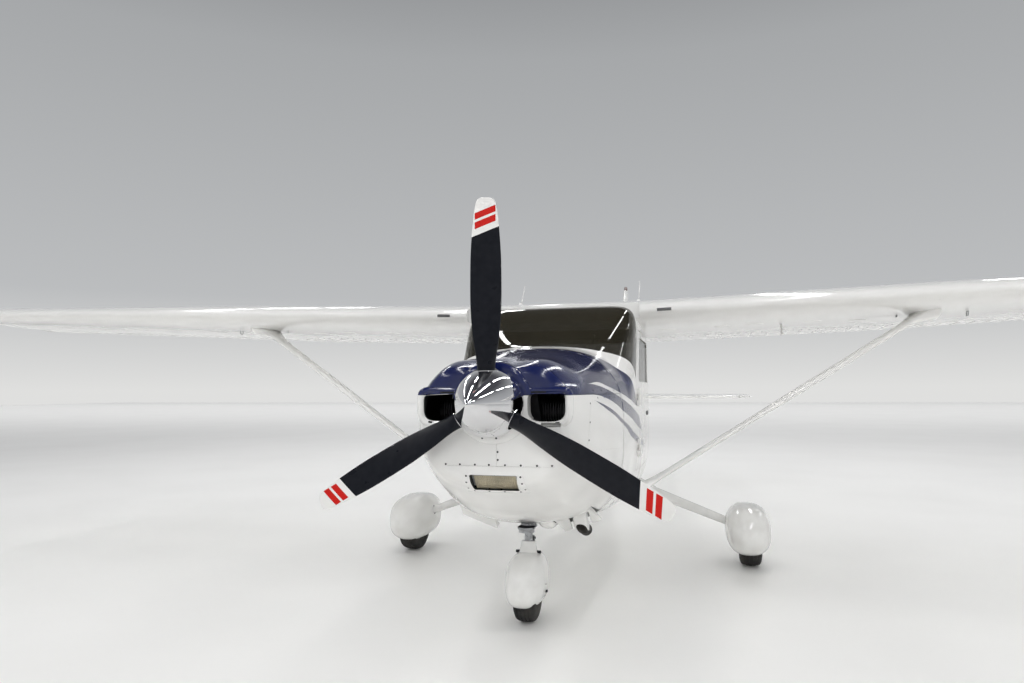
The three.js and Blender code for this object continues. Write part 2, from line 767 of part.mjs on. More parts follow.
const TIE_DOWN = { x: 2790, share: 0.3, z: 1838 };
function wing() {
  // The rib beside the flap stands square to the flap's hinge line, so that the pin slides along it
  const ribFoot = flapPin(RIB_INNER_X).z;
  const flapSpace = loft([
    behindFlapCut(0).map(([s, h]) => wingPoint(FLAP_INNER_X - 40, s, h)),
    behindFlapCut(0).map(([s, h]) => {
      const p = wingPoint(RIB_INNER_X, s, h);
      return p.setX(p.x - (p.z - ribFoot) * Math.tan(DIHEDRAL));
    }),
  ]);
  const [inner, outer] = [AILERON_INNER_X - 12, AILERON_OUTER_X + AILERON_END_GAP];
  const behindHinge = [
    [AILERON_FRACTION, -FAR],
    [1.3, -FAR],
    [1.3, FAR],
    [AILERON_FRACTION, FAR],
  ];
  const aileronSpace = alongWing(behindHinge, inner, outer);
  const cove = rod(
    aileronAxis(inner),
    aileronAxis(outer),
    aileronRadius(inner) + RUN_GAP,
    aileronRadius(outer) + RUN_GAP,
    20,
  );
  const ribEnd = alongWing(
    [
      [0.835, -FAR],
      [1.3, -FAR],
      [1.3, FAR],
      [0.835, FAR],
    ],
    RIB_INNER_X - 20,
    RIB_OUTER_X + 20,
  );
  const { x, y, z } = wingPoint(TIE_DOWN.x, TIE_DOWN.share, -0.03);
  const ring = box(x - 6, x + 6, y - 22, y + 22, TIE_DOWN.z, z);
  const body = join(wingBody(WING_ROOT_X, HALF_SPAN), ring);
  return cut(body, flapSpace, aileronSpace, cove, ribEnd, strut(SEAT_GAP));
}

function aileron() {
  const outline = [
    [AILERON_FRACTION, -FAR],
    [1.3, -FAR],
    [1.3, FAR],
    [AILERON_FRACTION, FAR],
  ];
  const whole = wingBody(WING_ROOT_X, HALF_SPAN);
  const blade = common(whole, alongWing(outline, AILERON_INNER_X, AILERON_OUTER_X));
  const [a, b] = [aileronAxis(AILERON_INNER_X), aileronAxis(AILERON_OUTER_X)];
  const nose = rod(a, b, aileronRadius(AILERON_INNER_X), aileronRadius(AILERON_OUTER_X), 20);
  const ends = box(AILERON_INNER_X, AILERON_OUTER_X, 2500, 4500, 1500, 2500);
  const pin = rod(
    aileronAxis(RIB_OUTER_X + PIN_GAP),
    aileronAxis(AILERON_OUTER_X + AILERON_END_GAP - PIN_GAP),
    8,
    8,
    12,
  );
  return join(common(join(blade, nose), ends), pin);
}

function wingFlap() {
  const whole = wingBody(WING_ROOT_X, HALF_SPAN);
  const blade = common(whole, alongWing(behindFlapCut(-FLAP_CLEARANCE), FLAP_INNER_X, FLAP_OUTER_X));
  const pin = rod(flapPin(FLAP_OUTER_X - 30), flapPin(RIB_INNER_X - PIN_GAP), 9, 9, 12);
  return join(blade, pin);
}

// Tail surfaces, symmetric sections
function tailplaneRing(x, front, back, thickness) {
  const chord = back - front;
  return airfoil(thickness, 0).map(([s, h]) => point(x, front + s * chord, TAIL_Z + h * chord));
}

// x, leading edge y, trailing edge y, thickness as a share of the chord
const TAILPLANE = [
  [0, 7330, 8545, 0.066],
  [1700, 7640, 8420, 0.07],
  [1752, 7672, 8408, 0.05],
  [TAIL_HALF_SPAN, 7730, 8390, 0.02],
];

function tailplane(grown = 0) {
  const rows = TAILPLANE.map(([x, front, back, t]) =>
    tailplaneRing(x, front - grown, back + grown, t + (2 * grown) / (back - front)),
  );
  const mirrored = TAILPLANE.slice(1)
    .reverse()
    .map(([x, front, back, t]) =>
      tailplaneRing(-x, front - grown, back + grown, t + (2 * grown) / (back - front)),
    );
  return loft([...mirrored, ...rows]);
}

const ELEVATOR_NOSE = { root: 28, tip: 20 };
const HORN_GAP = 8; // between the stabilizer's tip and the elevator's horn
const END_RIB = 12; // the stabilizer's last rib, where the hinge pin sits
const ELEVATOR_INNER = 112;

// The elevator's plan on the port side, with the horn ahead of its hinge at the tip
const elevatorPlan = [
  [ELEVATOR_INNER, ELEVATOR_HINGE_Y],
  [ELEVATOR_INNER, ELEVATOR_HINGE_Y + 60],
  [262, 8620],
  [1900, 8620],
  [1900, 7500],
  [STABILIZER_TIP_X + HORN_GAP, 7500],
  [STABILIZER_TIP_X + HORN_GAP, ELEVATOR_HINGE_Y],
];

const elevatorAxis = (x) => point(x, ELEVATOR_HINGE_Y, TAIL_Z);
const elevatorNose = (x) => {
  const t = (Math.abs(x) - ELEVATOR_INNER) / (STABILIZER_TIP_X - ELEVATOR_INNER);
  return ELEVATOR_NOSE.root + t * (ELEVATOR_NOSE.tip - ELEVATOR_NOSE.root);
};

// A tapered bar round the elevator's hinge
function elevatorBar(x0, x1, extra) {
  const [a, b] = [elevatorNose(x0) + extra, elevatorNose(x1) + extra];
  return rod(elevatorAxis(x0), elevatorAxis(x1), a, b, 20);
}

function elevator() {
  const horn = STABILIZER_TIP_X + HORN_GAP;
  const noseEnd = STABILIZER_TIP_X - END_RIB - RUN_GAP;
  const half = common(tailplane(), planPrism(elevatorPlan, 900, 1500));
  const ribSpace = box(noseEnd, horn, ELEVATOR_HINGE_Y - 60, ELEVATOR_HINGE_Y + 34, 1100, 1400);
  const pin = rod(elevatorAxis(STABILIZER_TIP_X + SEAT_GAP), elevatorAxis(horn + 20), 9, 9, 12);
  const port = join(cut(half, ribSpace), elevatorBar(ELEVATOR_INNER, noseEnd, 0), pin);
  const tube = rod(elevatorAxis(-ELEVATOR_INNER - 5), elevatorAxis(ELEVATOR_INNER + 5), 19, 19, 16);
  return join(port, mirrorX(port), tube);
}

function stabilizer() {
  const hinge = ELEVATOR_HINGE_Y;
  const tip = STABILIZER_TIP_X;
  const ahead = common(tailplane(), box(-tip, tip, 7000, hinge, 1000, 1500));
  const cove = elevatorBar(ELEVATOR_INNER - 12, tip - END_RIB, RUN_GAP);
  const middle = box(-ELEVATOR_INNER, ELEVATOR_INNER, hinge - 42, 8700, 1000, 1500);
  const rib = box(tip - END_RIB, tip, hinge - 60, hinge + 14, TAIL_Z - 12, TAIL_Z + 12);
  return join(cut(ahead, cove, mirrorX(cove), middle), rib, mirrorX(rib));
}

// Fin with its rudder: z, leading edge y, trailing edge y, thickness as a share of the chord
const FIN = [
  [1040, 6900, 8500, 0.044],
  [1400, 6990, 8600, 0.048],
  [1560, 7180, 8640, 0.056],
  [2740, 8010, 8835, 0.08],
  [2815, 8078, LENGTH, 0.075],
  [2862, 8160, LENGTH - 8, 0.04],
];
const RUDDER_HINGE = { low: [8138, 1060], high: [8452, 2700] };
const rudderY = (z) => {
  const [[y0, z0], [y1, z1]] = [RUDDER_HINGE.low, RUDDER_HINGE.high];
  return y0 + ((z - z0) * (y1 - y0)) / (z1 - z0);
};
const RUDDER_BOTTOM_Z = 1078;
const RUDDER_TOP_Z = 2712;
const FIN_FOOT_Z = 1300;
const RUDDER_NOSE = { low: 28, high: 22 };

function finBody() {
  return loft(
    FIN.map(([z, front, back, t]) =>
      airfoil(t, 0).map(([s, h]) => point(h * (back - front), front + s * (back - front), z)),
    ),
  );
}

const rudderOutline = (extra) => [
  [rudderY(RUDDER_BOTTOM_Z - extra), RUDDER_BOTTOM_Z - extra],
  [8900, RUDDER_BOTTOM_Z - extra],
  [8900, RUDDER_TOP_Z + extra],
  [rudderY(RUDDER_TOP_Z + extra), RUDDER_TOP_Z + extra],
];
const rudderAxis = (z) => point(0, rudderY(z), z);

const TAIL_LUG_Z = 1052;
function rudder() {
  const blade = common(finBody(), across(rudderOutline(0)));
  const nose = rod(
    rudderAxis(RUDDER_BOTTOM_Z - 40),
    rudderAxis(RUDDER_TOP_Z + 40),
    RUDDER_NOSE.low,
    RUDDER_NOSE.high,
    20,
  );
  const ends = slab(8000, 8700, RUDDER_BOTTOM_Z, RUDDER_TOP_Z);
  const low = rod(rudderAxis(TAIL_LUG_Z + SEAT_GAP + 1.2), rudderAxis(RUDDER_BOTTOM_Z + 20), 8, 8, 12);
  const high = rod(
    rudderAxis(RUDDER_TOP_Z - 20),
    rudderAxis(RUDDER_TOP_Z + RUDDER_GAP - 1.8),
    8,
    8,
    12,
  );
  const clearOfTube = slab(7900, ELEVATOR_HINGE_Y + 60, 1100, 1500);
  return cut(join(blade, common(nose, ends), low, high), clearOfTube);
}

const BEACON = { y: 8300, base: 2845, radius: 30, topRadius: 22 };

// The fin's top carries the beacon
function fin() {
  const upper = common(finBody(), slab(6000, 8900, FIN_FOOT_Z, 2900));
  const cove = rod(
    rudderAxis(RUDDER_BOTTOM_Z - 60),
    rudderAxis(RUDDER_TOP_Z + RUDDER_GAP),
    RUDDER_NOSE.low + RUN_GAP,
    RUDDER_NOSE.high + RUN_GAP,
    20,
  );
  const { y, base, radius, topRadius } = BEACON;
  const beacon = rod(point(0, y, base), point(0, y, HEIGHT), radius, topRadius, 16);
  const space = [across(rudderOutline(RUDDER_GAP)), cove, fuselage(-SEAT_GAP), tailplane(SEAT_GAP)];
  const under = slab(7900, 8900, 1000, 1420);
  return join(cut(upper, ...space, under), beacon);
}

// Tailcone, open at its front, with a lug under the rudder and a ring to tie the tail down
const TAIL_RING = { y: 7900, z: 1000 };

function tailcone() {
  const cone = common(shell, slab(CABIN_END_Y + SEAT_GAP, 8100, 0, 2000));
  const slot = slab(ELEVATOR_HINGE_Y - 28, ELEVATOR_HINGE_Y + 60, TAIL_Z - 30, TAIL_Z + 30);
  const lug = box(-26, 26, 8040, 8180, TAIL_LUG_Z - 22, TAIL_LUG_Z);
  const web = box(-12, 12, 8020, 8098, TAIL_LUG_Z - 10, 1100);
  const ring = box(-6, 6, TAIL_RING.y - 25, TAIL_RING.y + 25, TAIL_RING.z, 1075);
  return cut(join(cone, lug, web, ring), tailplane(SEAT_GAP), slot);
}

// Spinner: a pointed shell over the hub, with holes for the blades' shanks
function spinner() {
  const curve = Array.from({ length: 8 }, (_, i) => {
    const t = i / 7;
    return [SPINNER_RADIUS * Math.sin((Math.PI / 2) * t) ** 0.86, 385 * t];
  });
  const profile = [[0, 0], ...curve.slice(1), [SPINNER_RADIUS, SPINNER_BACK_Y], [0, SPINNER_BACK_Y]];
  const cone = shifted(turned(profile, 28, false), 0, 0, PROP_Z);
  const bore = SHANK_RADIUS + SEAT_GAP;
  const hole = rod(point(0, 0, 40), point(0, 0, 260), bore, bore, 16);
  const holes = bladeAngles.map((angle) => placeBlade(hole, angle));
  return cut(cone, ...holes);
}

const bladeAngles = Array.from({ length: BLADE_COUNT }, (_, i) => degrees(360 / BLADE_COUNT) * i);
const placeBlade = (body, angle) =>
  shifted(moved(body, new THREE.Matrix4().makeRotationY(angle)), 0, PROP_PLANE_Y, PROP_Z);

// Blade sections: radius, chord, thickness, pitch in degrees
const BLADE = [
  [42, 86, 86, 46],
  [172, 86, 80, 46],
  [225, 98, 52, 44],
  [330, 132, 30, 37],
  [500, 156, 20, 29],
  [680, 152, 14, 23.5],
  [850, 128, 10, 20],
  [950, 104, 8, 18],
  [988, 84, 6, 17],
  [PROP_RADIUS, 50, 4, 17],
];

function blade() {
  const rings = BLADE.map(([radius, chord, thickness, pitch]) => {
    const turn = degrees(pitch);
    return Array.from({ length: 14 }, (_, i) => {
      const a = (2 * Math.PI * i) / 14;
      const along = (chord / 2) * Math.cos(a);
      const thick = (thickness / 2) * Math.sin(a);
      const x = along * Math.cos(turn) - thick * Math.sin(turn);
      const y = along * Math.sin(turn) + thick * Math.cos(turn);
      return point(x, y, radius);
    });
  });
  return loft(rings);
}

// Wheels: a tyre round a rim, both turned about x
function tyre({ radius, width, rim }) {
  const half = width / 2;
  const crown = radius - rim;
  const inner = rim + SEAT_GAP * 1.5;
  const profile = [
    [inner, -half * 0.62],
    [rim + crown * 0.5, -half],
    [rim + crown * 0.85, -half * 0.8],
    [radius, -half * 0.25],
    [radius, half * 0.25],
    [rim + crown * 0.85, half * 0.8],
    [rim + crown * 0.5, half],
    [inner, half * 0.62],
    [inner, -half * 0.62],
  ];
  return turned(profile, WHEEL_SIDES, true);
}

function rimBody({ width, rim }) {
  const half = width * 0.31;
  const bore = AXLE_RADIUS + SEAT_GAP * 1.5;
  const profile = [
    [bore, -half],
    [bore + 18, -half],
    [rim * 0.8, -half * 0.35],
    [rim, -half],
    [rim, half],
    [rim * 0.8, half * 0.35],
    [bore + 18, half],
    [bore, half],
    [bore, -half],
  ];
  return turned(profile, WHEEL_SIDES, true);
}

// Main fairing sections: y from the axle, bottom z, top z, half width
const MAIN_FAIRING = [
  [-352, 245, 300, 25],
  [-330, 190, 365, 78],
  [-270, 138, 428, 122],
  [-160, 106, 474, 150],
  [0, 100, 490, 157],
  [170, 106, 470, 146],
  [330, 140, 418, 104],
  [450, 190, 370, 52],
  [505, 235, 335, 12],
];
const FAIRING_X = 1356;

function podRings(rows, n) {
  return rows.map(([y, bottom, top, half]) =>
    Array.from({ length: 16 }, (_, i) => {
      const a = (2 * Math.PI * i) / 16;
      const middle = (bottom + top) / 2;
      const x = half * power(Math.sin(a), n);
      return point(x, y, middle + ((top - bottom) / 2) * power(Math.cos(a), n));
    }),
  );
}

function mainFairing() {
  const pod = shifted(loft(podRings(MAIN_FAIRING, 2.5)), FAIRING_X, MAIN_Y, 0);
  const wellX = MAIN_TYRE.width / 2 + 12;
  const well = rod(
    point(MAIN_WHEEL_X - wellX, MAIN_Y, MAIN_TYRE.radius),
    point(MAIN_WHEEL_X + wellX, MAIN_Y, MAIN_TYRE.radius),
    MAIN_TYRE.radius + 18,
    MAIN_TYRE.radius + 18,
    WHEEL_SIDES,
  );
  return cut(pod, well, mainLeg(SEAT_GAP));
}

// The nose gear stands on its own tilted axis through the wheel's axle, so that it is drawn upright
// about the axle and then leaned back by its group
const NOSE = {
  barrelBottom: 330,
  barrelTop: 760,
  barrelRadius: 34,
  collar: { radius: 46, low: 360, high: 392 },
  pistonRadius: 24,
};
const LEG_BRACKET = { half: 38, front: 1262, bottom: 620, top: 900 };
const TOW_PIN = { reach: 76, radius: 9, z: 219 };

function noseBarrel() {
  const { barrelBottom, barrelTop, barrelRadius, collar } = NOSE;
  const tube = rod(point(0, 0, barrelBottom), point(0, 0, barrelTop), barrelRadius, barrelRadius, 20);
  const band = rod(point(0, 0, collar.low), point(0, 0, collar.high), collar.radius, collar.radius, 20);
  // Its bracket reaches straight back to the firewall, so it is turned out of the leg's lean
  const upright = new THREE.Matrix4()
    .makeRotationX(NOSE_TILT)
    .multiply(new THREE.Matrix4().makeTranslation(0, -NOSE_Y, -NOSE_TYRE.radius));
  const { half, front, bottom, top } = LEG_BRACKET;
  const bracket = moved(box(-half, half, front, COWL_END_Y, bottom, top), upright);
  return join(tube, band, bracket);
}

// The fork seen from the front: straight beside the tyre, then drawn in under the crown
const FORK = {
  half: 92,
  bar: 16,
  foot: -24,
  knee: 140,
  shoulder: { half: 44, z: 208 },
  crown: { half: 38, z: 228 },
  arch: { half: 36, z: 200 },
  halfDepth: 26,
};
const bothSides = (outline) => [...outline, ...outline.map(([x, z]) => [-x, z]).reverse()];
const forkOutline = bothSides([
  [FORK.half, FORK.foot],
  [FORK.half, FORK.knee],
  [FORK.shoulder.half, FORK.shoulder.z],
  [FORK.crown.half, FORK.crown.z],
]);
const tyreArch = bothSides([
  [FORK.half - FORK.bar, FORK.foot - 10],
  [FORK.half - FORK.bar, FORK.knee],
  [FORK.arch.half, FORK.arch.z],
]);

const towPins = (extra) => {
  const { reach, radius, z } = TOW_PIN;
  return rod(point(-reach, 0, z), point(reach, 0, z), radius + extra, radius + extra, 12);
};

function noseFork() {
  const { halfDepth, crown, half } = FORK;
  const frame = cut(frontPrism(forkOutline, -halfDepth, halfDepth), frontPrism(tyreArch, -40, 40));
  const top = crown.z;
  const piston = rod(point(0, 0, top - 10), point(0, 0, NOSE.barrelBottom - SEAT_GAP), NOSE.pistonRadius);
  const axle = rod(point(10 - half, 0, 0), point(half - 10, 0, 0), AXLE_RADIUS);
  const link = sidePrism(
    [
      [-28, top - 12],
      [-86, top + 52],
      [-58, top + 84],
      [-46, top + 74],
      [-64, top + 52],
      [-14, top - 4],
    ],
    -22,
    22,
  );
  return join(frame, piston, axle, link, towPins(0));
}

// y from the axle, bottom z, top z, half width
const NOSE_FAIRING = [
  [-262, 10, 62, 18],
  [-240, -38, 120, 62],
  [-180, -72, 172, 98],
  [-80, -86, 216, 117],
  [40, -86, 226, 117],
  [170, -76, 196, 98],
  [290, -44, 140, 62],
  [360, -8, 98, 14],
];

const NECK = { low: 150, lowRadius: 66, top: 282, topRadius: 44 };

function noseFairing() {
  const pod = loft(podRings(NOSE_FAIRING, 2.4));
  const neck = rod(point(0, 0, NECK.low), point(0, 0, NECK.top), NECK.lowRadius, NECK.topRadius, 20);
  const gap = SEAT_GAP;
  const depth = FORK.halfDepth + gap;
  const wellX = FORK.half + gap;
  const well = rod(point(-wellX, 0, 0), point(wellX, 0, 0), NOSE_TYRE.radius + 16, undefined, WHEEL_SIDES);
  const forkSpace = frontPrism(grow(forkOutline, gap), -depth, depth);
  const pistonSpace = rod(point(0, 0, 200), point(0, 0, 320), NOSE.pistonRadius + gap);
  const linkSpace = box(-22 - gap, 22 + gap, -110, 0, FORK.crown.z - 20, 400);
  return cut(join(pod, neck), well, forkSpace, pistonSpace, linkSpace, towPins(gap));
}

// The aircraft
const aircraft = new THREE.Group();
aircraft.position.y = -LENGTH / 2;

function add(name, body, material, group = aircraft) {
  const mesh = new THREE.Mesh(geometryOf(body), material);
  mesh.name = name;
  group.add(mesh);
  return mesh;
}

add("cowl_upper", cowlUpper(), finish.navy);
add("cowl_lower", cowlLower(), finish.white);
add("induction_filter", inductionFilter(), finish.filter);
add("engine_block", engineBlock(), finish.iron);
add("exhaust_tailpipe", tailpipe(), finish.steel);
add("firewall", firewall(), finish.white);
add("forward_fuselage", forwardFuselage(), finish.white);
add("cabin_floor", cabinFloor(), finish.white);
add("cabin_roof", cabinRoof(), finish.white);
add("aft_cabin", aftCabin(), finish.white);
add("tailcone", tailcone(), finish.white);
add("windshield", windshield(), finish.glass);
add("rear_window", rearWindow(), finish.glass);
add("instrument_panel", instrumentPanel(), finish.trim);
add("seat_rear", seat(REAR_SEAT), finish.cloth);
add("baggage_door", baggageDoor(), finish.white);
add("fin", fin(), finish.white);
add("rudder", rudder(), finish.white);
add("stabilizer", stabilizer(), finish.white);
add("elevator", elevator(), finish.white);

const SIDES = [
  ["port", 1],
  ["starboard", -1],
];
for (const [name, side] of SIDES) {
  const place = (body) => (side > 0 ? body : mirrorX(body));
  const [x0, x1] = side > 0 ? [200, WIDE] : [-WIDE, -200];
  add(`cowl_flap_${name}`, cowlFlap(side), finish.white);
  add(`door_${name}`, cabinDoor(side), finish.white);
  add(`door_window_${name}`, pane(DOOR_WINDOW, x0, x1), finish.glass);
  add(`rear_side_window_${name}`, pane(REAR_SIDE_WINDOW, x0, x1), finish.glass);
  add(`seat_front_${name}`, seat(FRONT_SEAT, side), finish.cloth);
  add(`wing_${name}`, place(wing()), finish.white);
  add(`strut_${name}`, place(strut()), finish.white);
  add(`aileron_${name}`, place(aileron()), finish.white);
  add(`wing_flap_${name}`, place(wingFlap()), finish.white);
  add(`main_leg_${name}`, place(mainLeg()), finish.white);
  add(`main_fairing_${name}`, place(mainFairing()), finish.white);
  const wheel = new THREE.Group();
  wheel.position.set(side * MAIN_WHEEL_X, MAIN_Y, MAIN_TYRE.radius);
  aircraft.add(wheel);
  add(`main_tyre_${name}`, tyre(MAIN_TYRE), finish.rubber, wheel);
  add(`main_rim_${name}`, rimBody(MAIN_TYRE), finish.steel, wheel);
}

const noseGear = new THREE.Group();
noseGear.position.set(0, NOSE_Y, NOSE_TYRE.radius);
noseGear.rotation.x = -NOSE_TILT;
aircraft.add(noseGear);
add("nose_leg_barrel", noseBarrel(), finish.steel, noseGear);
add("nose_fork", noseFork(), finish.steel, noseGear);
add("nose_fairing", noseFairing(), finish.white, noseGear);
const noseWheel = new THREE.Group();
noseWheel.rotation.x = NOSE_TILT;
noseGear.add(noseWheel);
add("nose_tyre", tyre(NOSE_TYRE), finish.rubber, noseWheel);
add("nose_rim", rimBody(NOSE_TYRE), finish.steel, noseWheel);

add("spinner", spinner(), finish.chrome);
bladeAngles.forEach((angle, i) => {
  add(`prop_blade_${i + 1}`, placeBlade(blade(), angle), finish.black);
});

export default aircraft;
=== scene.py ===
"""The looks of a four-seat, high-wing light aircraft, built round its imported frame.

Tables give metres, with the distance aft of the spinner's tip where the row has y, x towards port and z
upwards from the ground.
"""

import json
import math

import bmesh
import bpy
import numpy as np
from mathutils import Matrix, Vector
from mathutils.bvhtree import BVHTree

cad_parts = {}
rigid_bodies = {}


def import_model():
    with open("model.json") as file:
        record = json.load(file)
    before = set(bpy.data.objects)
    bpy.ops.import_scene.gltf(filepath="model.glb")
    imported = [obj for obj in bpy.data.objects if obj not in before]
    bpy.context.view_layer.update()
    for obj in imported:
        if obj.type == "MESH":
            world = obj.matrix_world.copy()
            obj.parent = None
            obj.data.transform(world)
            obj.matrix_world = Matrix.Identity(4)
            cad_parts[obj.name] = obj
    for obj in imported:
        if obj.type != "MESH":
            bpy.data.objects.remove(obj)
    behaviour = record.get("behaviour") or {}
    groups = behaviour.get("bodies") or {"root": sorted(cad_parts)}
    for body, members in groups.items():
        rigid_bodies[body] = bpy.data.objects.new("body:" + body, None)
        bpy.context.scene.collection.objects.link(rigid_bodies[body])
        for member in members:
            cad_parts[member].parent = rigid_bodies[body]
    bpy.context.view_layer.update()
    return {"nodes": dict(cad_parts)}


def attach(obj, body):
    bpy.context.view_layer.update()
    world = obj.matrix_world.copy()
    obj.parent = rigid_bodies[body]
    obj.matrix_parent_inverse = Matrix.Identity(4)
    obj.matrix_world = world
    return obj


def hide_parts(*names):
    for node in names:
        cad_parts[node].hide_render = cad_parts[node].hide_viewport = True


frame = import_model()
SPINNER_TIP_Y = -4.42
SIDES = (("port", 1), ("starboard", -1))
TO_PORT, AFT, UP = (1, 0, 0), (0, 1, 0), (0, 0, 1)


# Meshes
def new_object(name, data):
    piece = bpy.data.objects.new(name, data)
    bpy.context.scene.collection.objects.link(piece)
    return piece


def link(name, points, faces):
    mesh = bpy.data.meshes.new(name)
    mesh.from_pydata([tuple(map(float, p)) for p in points], [], faces)
    return new_object(name, mesh)


def face_outwards(piece):
    shape = bmesh.new()
    shape.from_mesh(piece.data)
    bmesh.ops.remove_doubles(shape, verts=shape.verts, dist=1e-6)
    bmesh.ops.recalc_face_normals(shape, faces=shape.faces)
    shape.to_mesh(piece.data)
    shape.free()
    return piece


def loft(name, rings):
    """A closed body through rings of points, with a flat face over each end."""
    count = len(rings[0])
    faces = []
    for row in range(len(rings) - 1):
        for i in range(count):
            j = (i + 1) % count
            a, b = row * count, (row + 1) * count
            faces.append((a + i, a + j, b + j, b + i))
    faces.append(tuple(range(count)))
    last = (len(rings) - 1) * count
    faces.append(tuple(range(last, last + count)))
    return face_outwards(link(name, np.concatenate(rings), faces))


def hoop(name, rings):
    """A closed ring of closed sections, such as a tyre."""
    count = len(rings[0])
    faces = []
    for row in range(len(rings)):
        a, b = row * count, (row + 1) % len(rings) * count
        faces += [(a + i, a + (i + 1) % count, b + (i + 1) % count, b + i) for i in range(count)]
    return face_outwards(link(name, np.concatenate(rings), faces))


def full_turn(count):
    """Angles evenly spaced round a circle."""
    return np.linspace(0, 2 * math.pi, count, endpoint=False)


def squared(value, power):
    """A sine or cosine that keeps its sign, pushed outwards by a power below 1, as in a squarish section."""
    return np.sign(value) * np.abs(value) ** power


def ring_at(aft, x, z):
    return np.column_stack([x, np.full(len(x), aft), z])


def frame_of(along):
    """Two directions square to one that runs along a bar."""
    along = np.asarray(along, float) / np.linalg.norm(along)
    helper = np.array([0, 0, 1.0]) if abs(along[2]) < 0.9 else np.array([0, 1.0, 0])
    side = np.cross(helper, along)
    side /= np.linalg.norm(side)
    return side, np.cross(along, side)


def tube(name, path, radii, sides, flat=1.0):
    """A round bar along points, with its own radius at each."""
    path = np.asarray(path, float)
    radii = np.broadcast_to(radii, len(path))
    side, up = frame_of(path[-1] - path[0])
    turns = full_turn(sides)
    rings = []
    for i, (at, radius) in enumerate(zip(path, radii)):
        along = path[min(i + 1, len(path) - 1)] - path[max(i - 1, 0)]
        along /= np.linalg.norm(along)
        side = side - along * (side @ along)
        side /= np.linalg.norm(side)
        up = np.cross(along, side)
        ring = at + radius * (np.outer(np.cos(turns), side) + flat * np.outer(np.sin(turns), up))
        rings.append(ring)
    return loft(name, rings)


def turned(name, profile, start, along, sides):
    """A body turned round a line: the profile gives [distance along the line, radius]."""
    start, along = np.asarray(start, float), np.asarray(along, float)
    side, up = frame_of(along)
    turns = full_turn(sides)
    circle = np.outer(np.cos(turns), side) + np.outer(np.sin(turns), up)
    rings = [start + along * at + max(radius, 1e-5) * circle for at, radius in profile]
    return loft(name, rings)


def prism(name, outline, low, high, across):
    """A flat outline made a solid. It gives (aft, z) across x, (x, z) across y and (x, aft) across z."""
    order = {"x": (2, 0, 1), "y": (0, 2, 1), "z": (0, 1, 2)}[across]
    flat = [(u, v) for u, v in outline]
    rings = [np.array([[(u, v, level)[k] for k in order] for u, v in flat]) for level in (low, high)]
    return loft(name, rings)


def plate(name, u0, u1, v0, v1, radius, low, high, across):
    """A flat plate with rounded corners."""
    return prism(name, rounded([(u0, v0), (u1, v0), (u1, v1), (u0, v1)], radius), low, high, across)


def on_side(side, near, far):
    """Two distances from the middle as places on one side, the smaller first."""
    return sorted((side * near, side * far))


def block(name, x0, x1, y0, y1, z0, z1):
    return prism(name, [(x0, y0), (x1, y0), (x1, y1), (x0, y1)], z0, z1, "z")


def rounded(outline, radius, steps=6):
    """An outline with its corners rounded off."""
    points = np.asarray(outline, float)
    result = []
    for i, corner in enumerate(points):
        before, after = points[i - 1] - corner, points[(i + 1) % len(points)] - corner
        a, b = np.linalg.norm(before), np.linalg.norm(after)
        before, after = before / a, after / b
        half = math.acos(np.clip(before @ after, -1, 1)) / 2
        reach = min(radius / math.tan(half), a * 0.45, b * 0.45)
        start, end = corner + before * reach, corner + after * reach
        for t in np.linspace(0, 1, steps):
            result.append((1 - t) ** 2 * start + 2 * t * (1 - t) * corner + t * t * end)
    return result


def grown(outline, distance):
    """An outline moved outwards on every side."""
    points = np.asarray(outline, float)
    area = sum(a[0] * b[1] - b[0] * a[1] for a, b in zip(points, np.roll(points, -1, 0)))
    sign = 1 if area > 0 else -1
    result = []
    for i, corner in enumerate(points):
        into, out = corner - points[i - 1], points[(i + 1) % len(points)] - corner
        into, out = into / np.linalg.norm(into), out / np.linalg.norm(out)
        normals = [sign * np.array([d[1], -d[0]]) for d in (into, out)]
        middle = normals[0] + normals[1]
        result.append(corner + middle * distance / (1 + normals[0] @ normals[1]))
    return result


def carve(piece, how, *tools):
    """Joins, cuts or keeps what is common, and deletes the tools."""
    for tool in tools:
        step = piece.modifiers.new("carve", "BOOLEAN")
        step.solver = "MANIFOLD"
        step.operation = how
        step.object = tool
    settle(piece)
    for tool in set(tools):
        remove(tool)
    return piece


def cut(piece, *tools):
    return carve(piece, "DIFFERENCE", *tools)


def join(piece, *tools):
    return carve(piece, "UNION", *tools)


def keep(piece, *tools):
    return carve(piece, "INTERSECT", *tools)


def settle(piece):
    """Makes the result of a piece's modifiers its plain mesh."""
    state = bpy.context.evaluated_depsgraph_get()
    state.update()
    mesh = bpy.data.meshes.new_from_object(piece.evaluated_get(state))
    piece.modifiers.clear()
    piece.data = mesh
    return piece


def remove(piece):
    mesh = piece.data
    bpy.data.objects.remove(piece)
    if mesh.users == 0:
        bpy.data.meshes.remove(mesh)


def copy_of(piece):
    return new_object("copy", piece.data.copy())


def merge(name, pieces):
    """Several bodies as one object, each still closed on its own."""
    shape = bmesh.new()
    for piece in pieces:
        shape.from_mesh(piece.data)
    mesh = bpy.data.meshes.new(name)
    shape.to_mesh(mesh)
    shape.free()
    for piece in pieces:
        remove(piece)
    return new_object(name, mesh)


def move(piece, matrix):
    piece.data.transform(matrix)
    if matrix.determinant() < 0:
        piece.data.flip_normals()
    return piece


MIRROR = Matrix.Scale(-1, 4, TO_PORT)


def side_copy(piece, side):
    """A copy of a port piece; for the starboard side its mirror image."""
    each = copy_of(piece)
    return each if side > 0 else move(each, MIRROR)


def face_data(piece):
    count = len(piece.data.polygons)
    centres, normals = np.empty(count * 3), np.empty(count * 3)
    piece.data.polygons.foreach_get("center", centres)
    piece.data.polygons.foreach_get("normal", normals)
    return centres.reshape(-1, 3), normals.reshape(-1, 3)


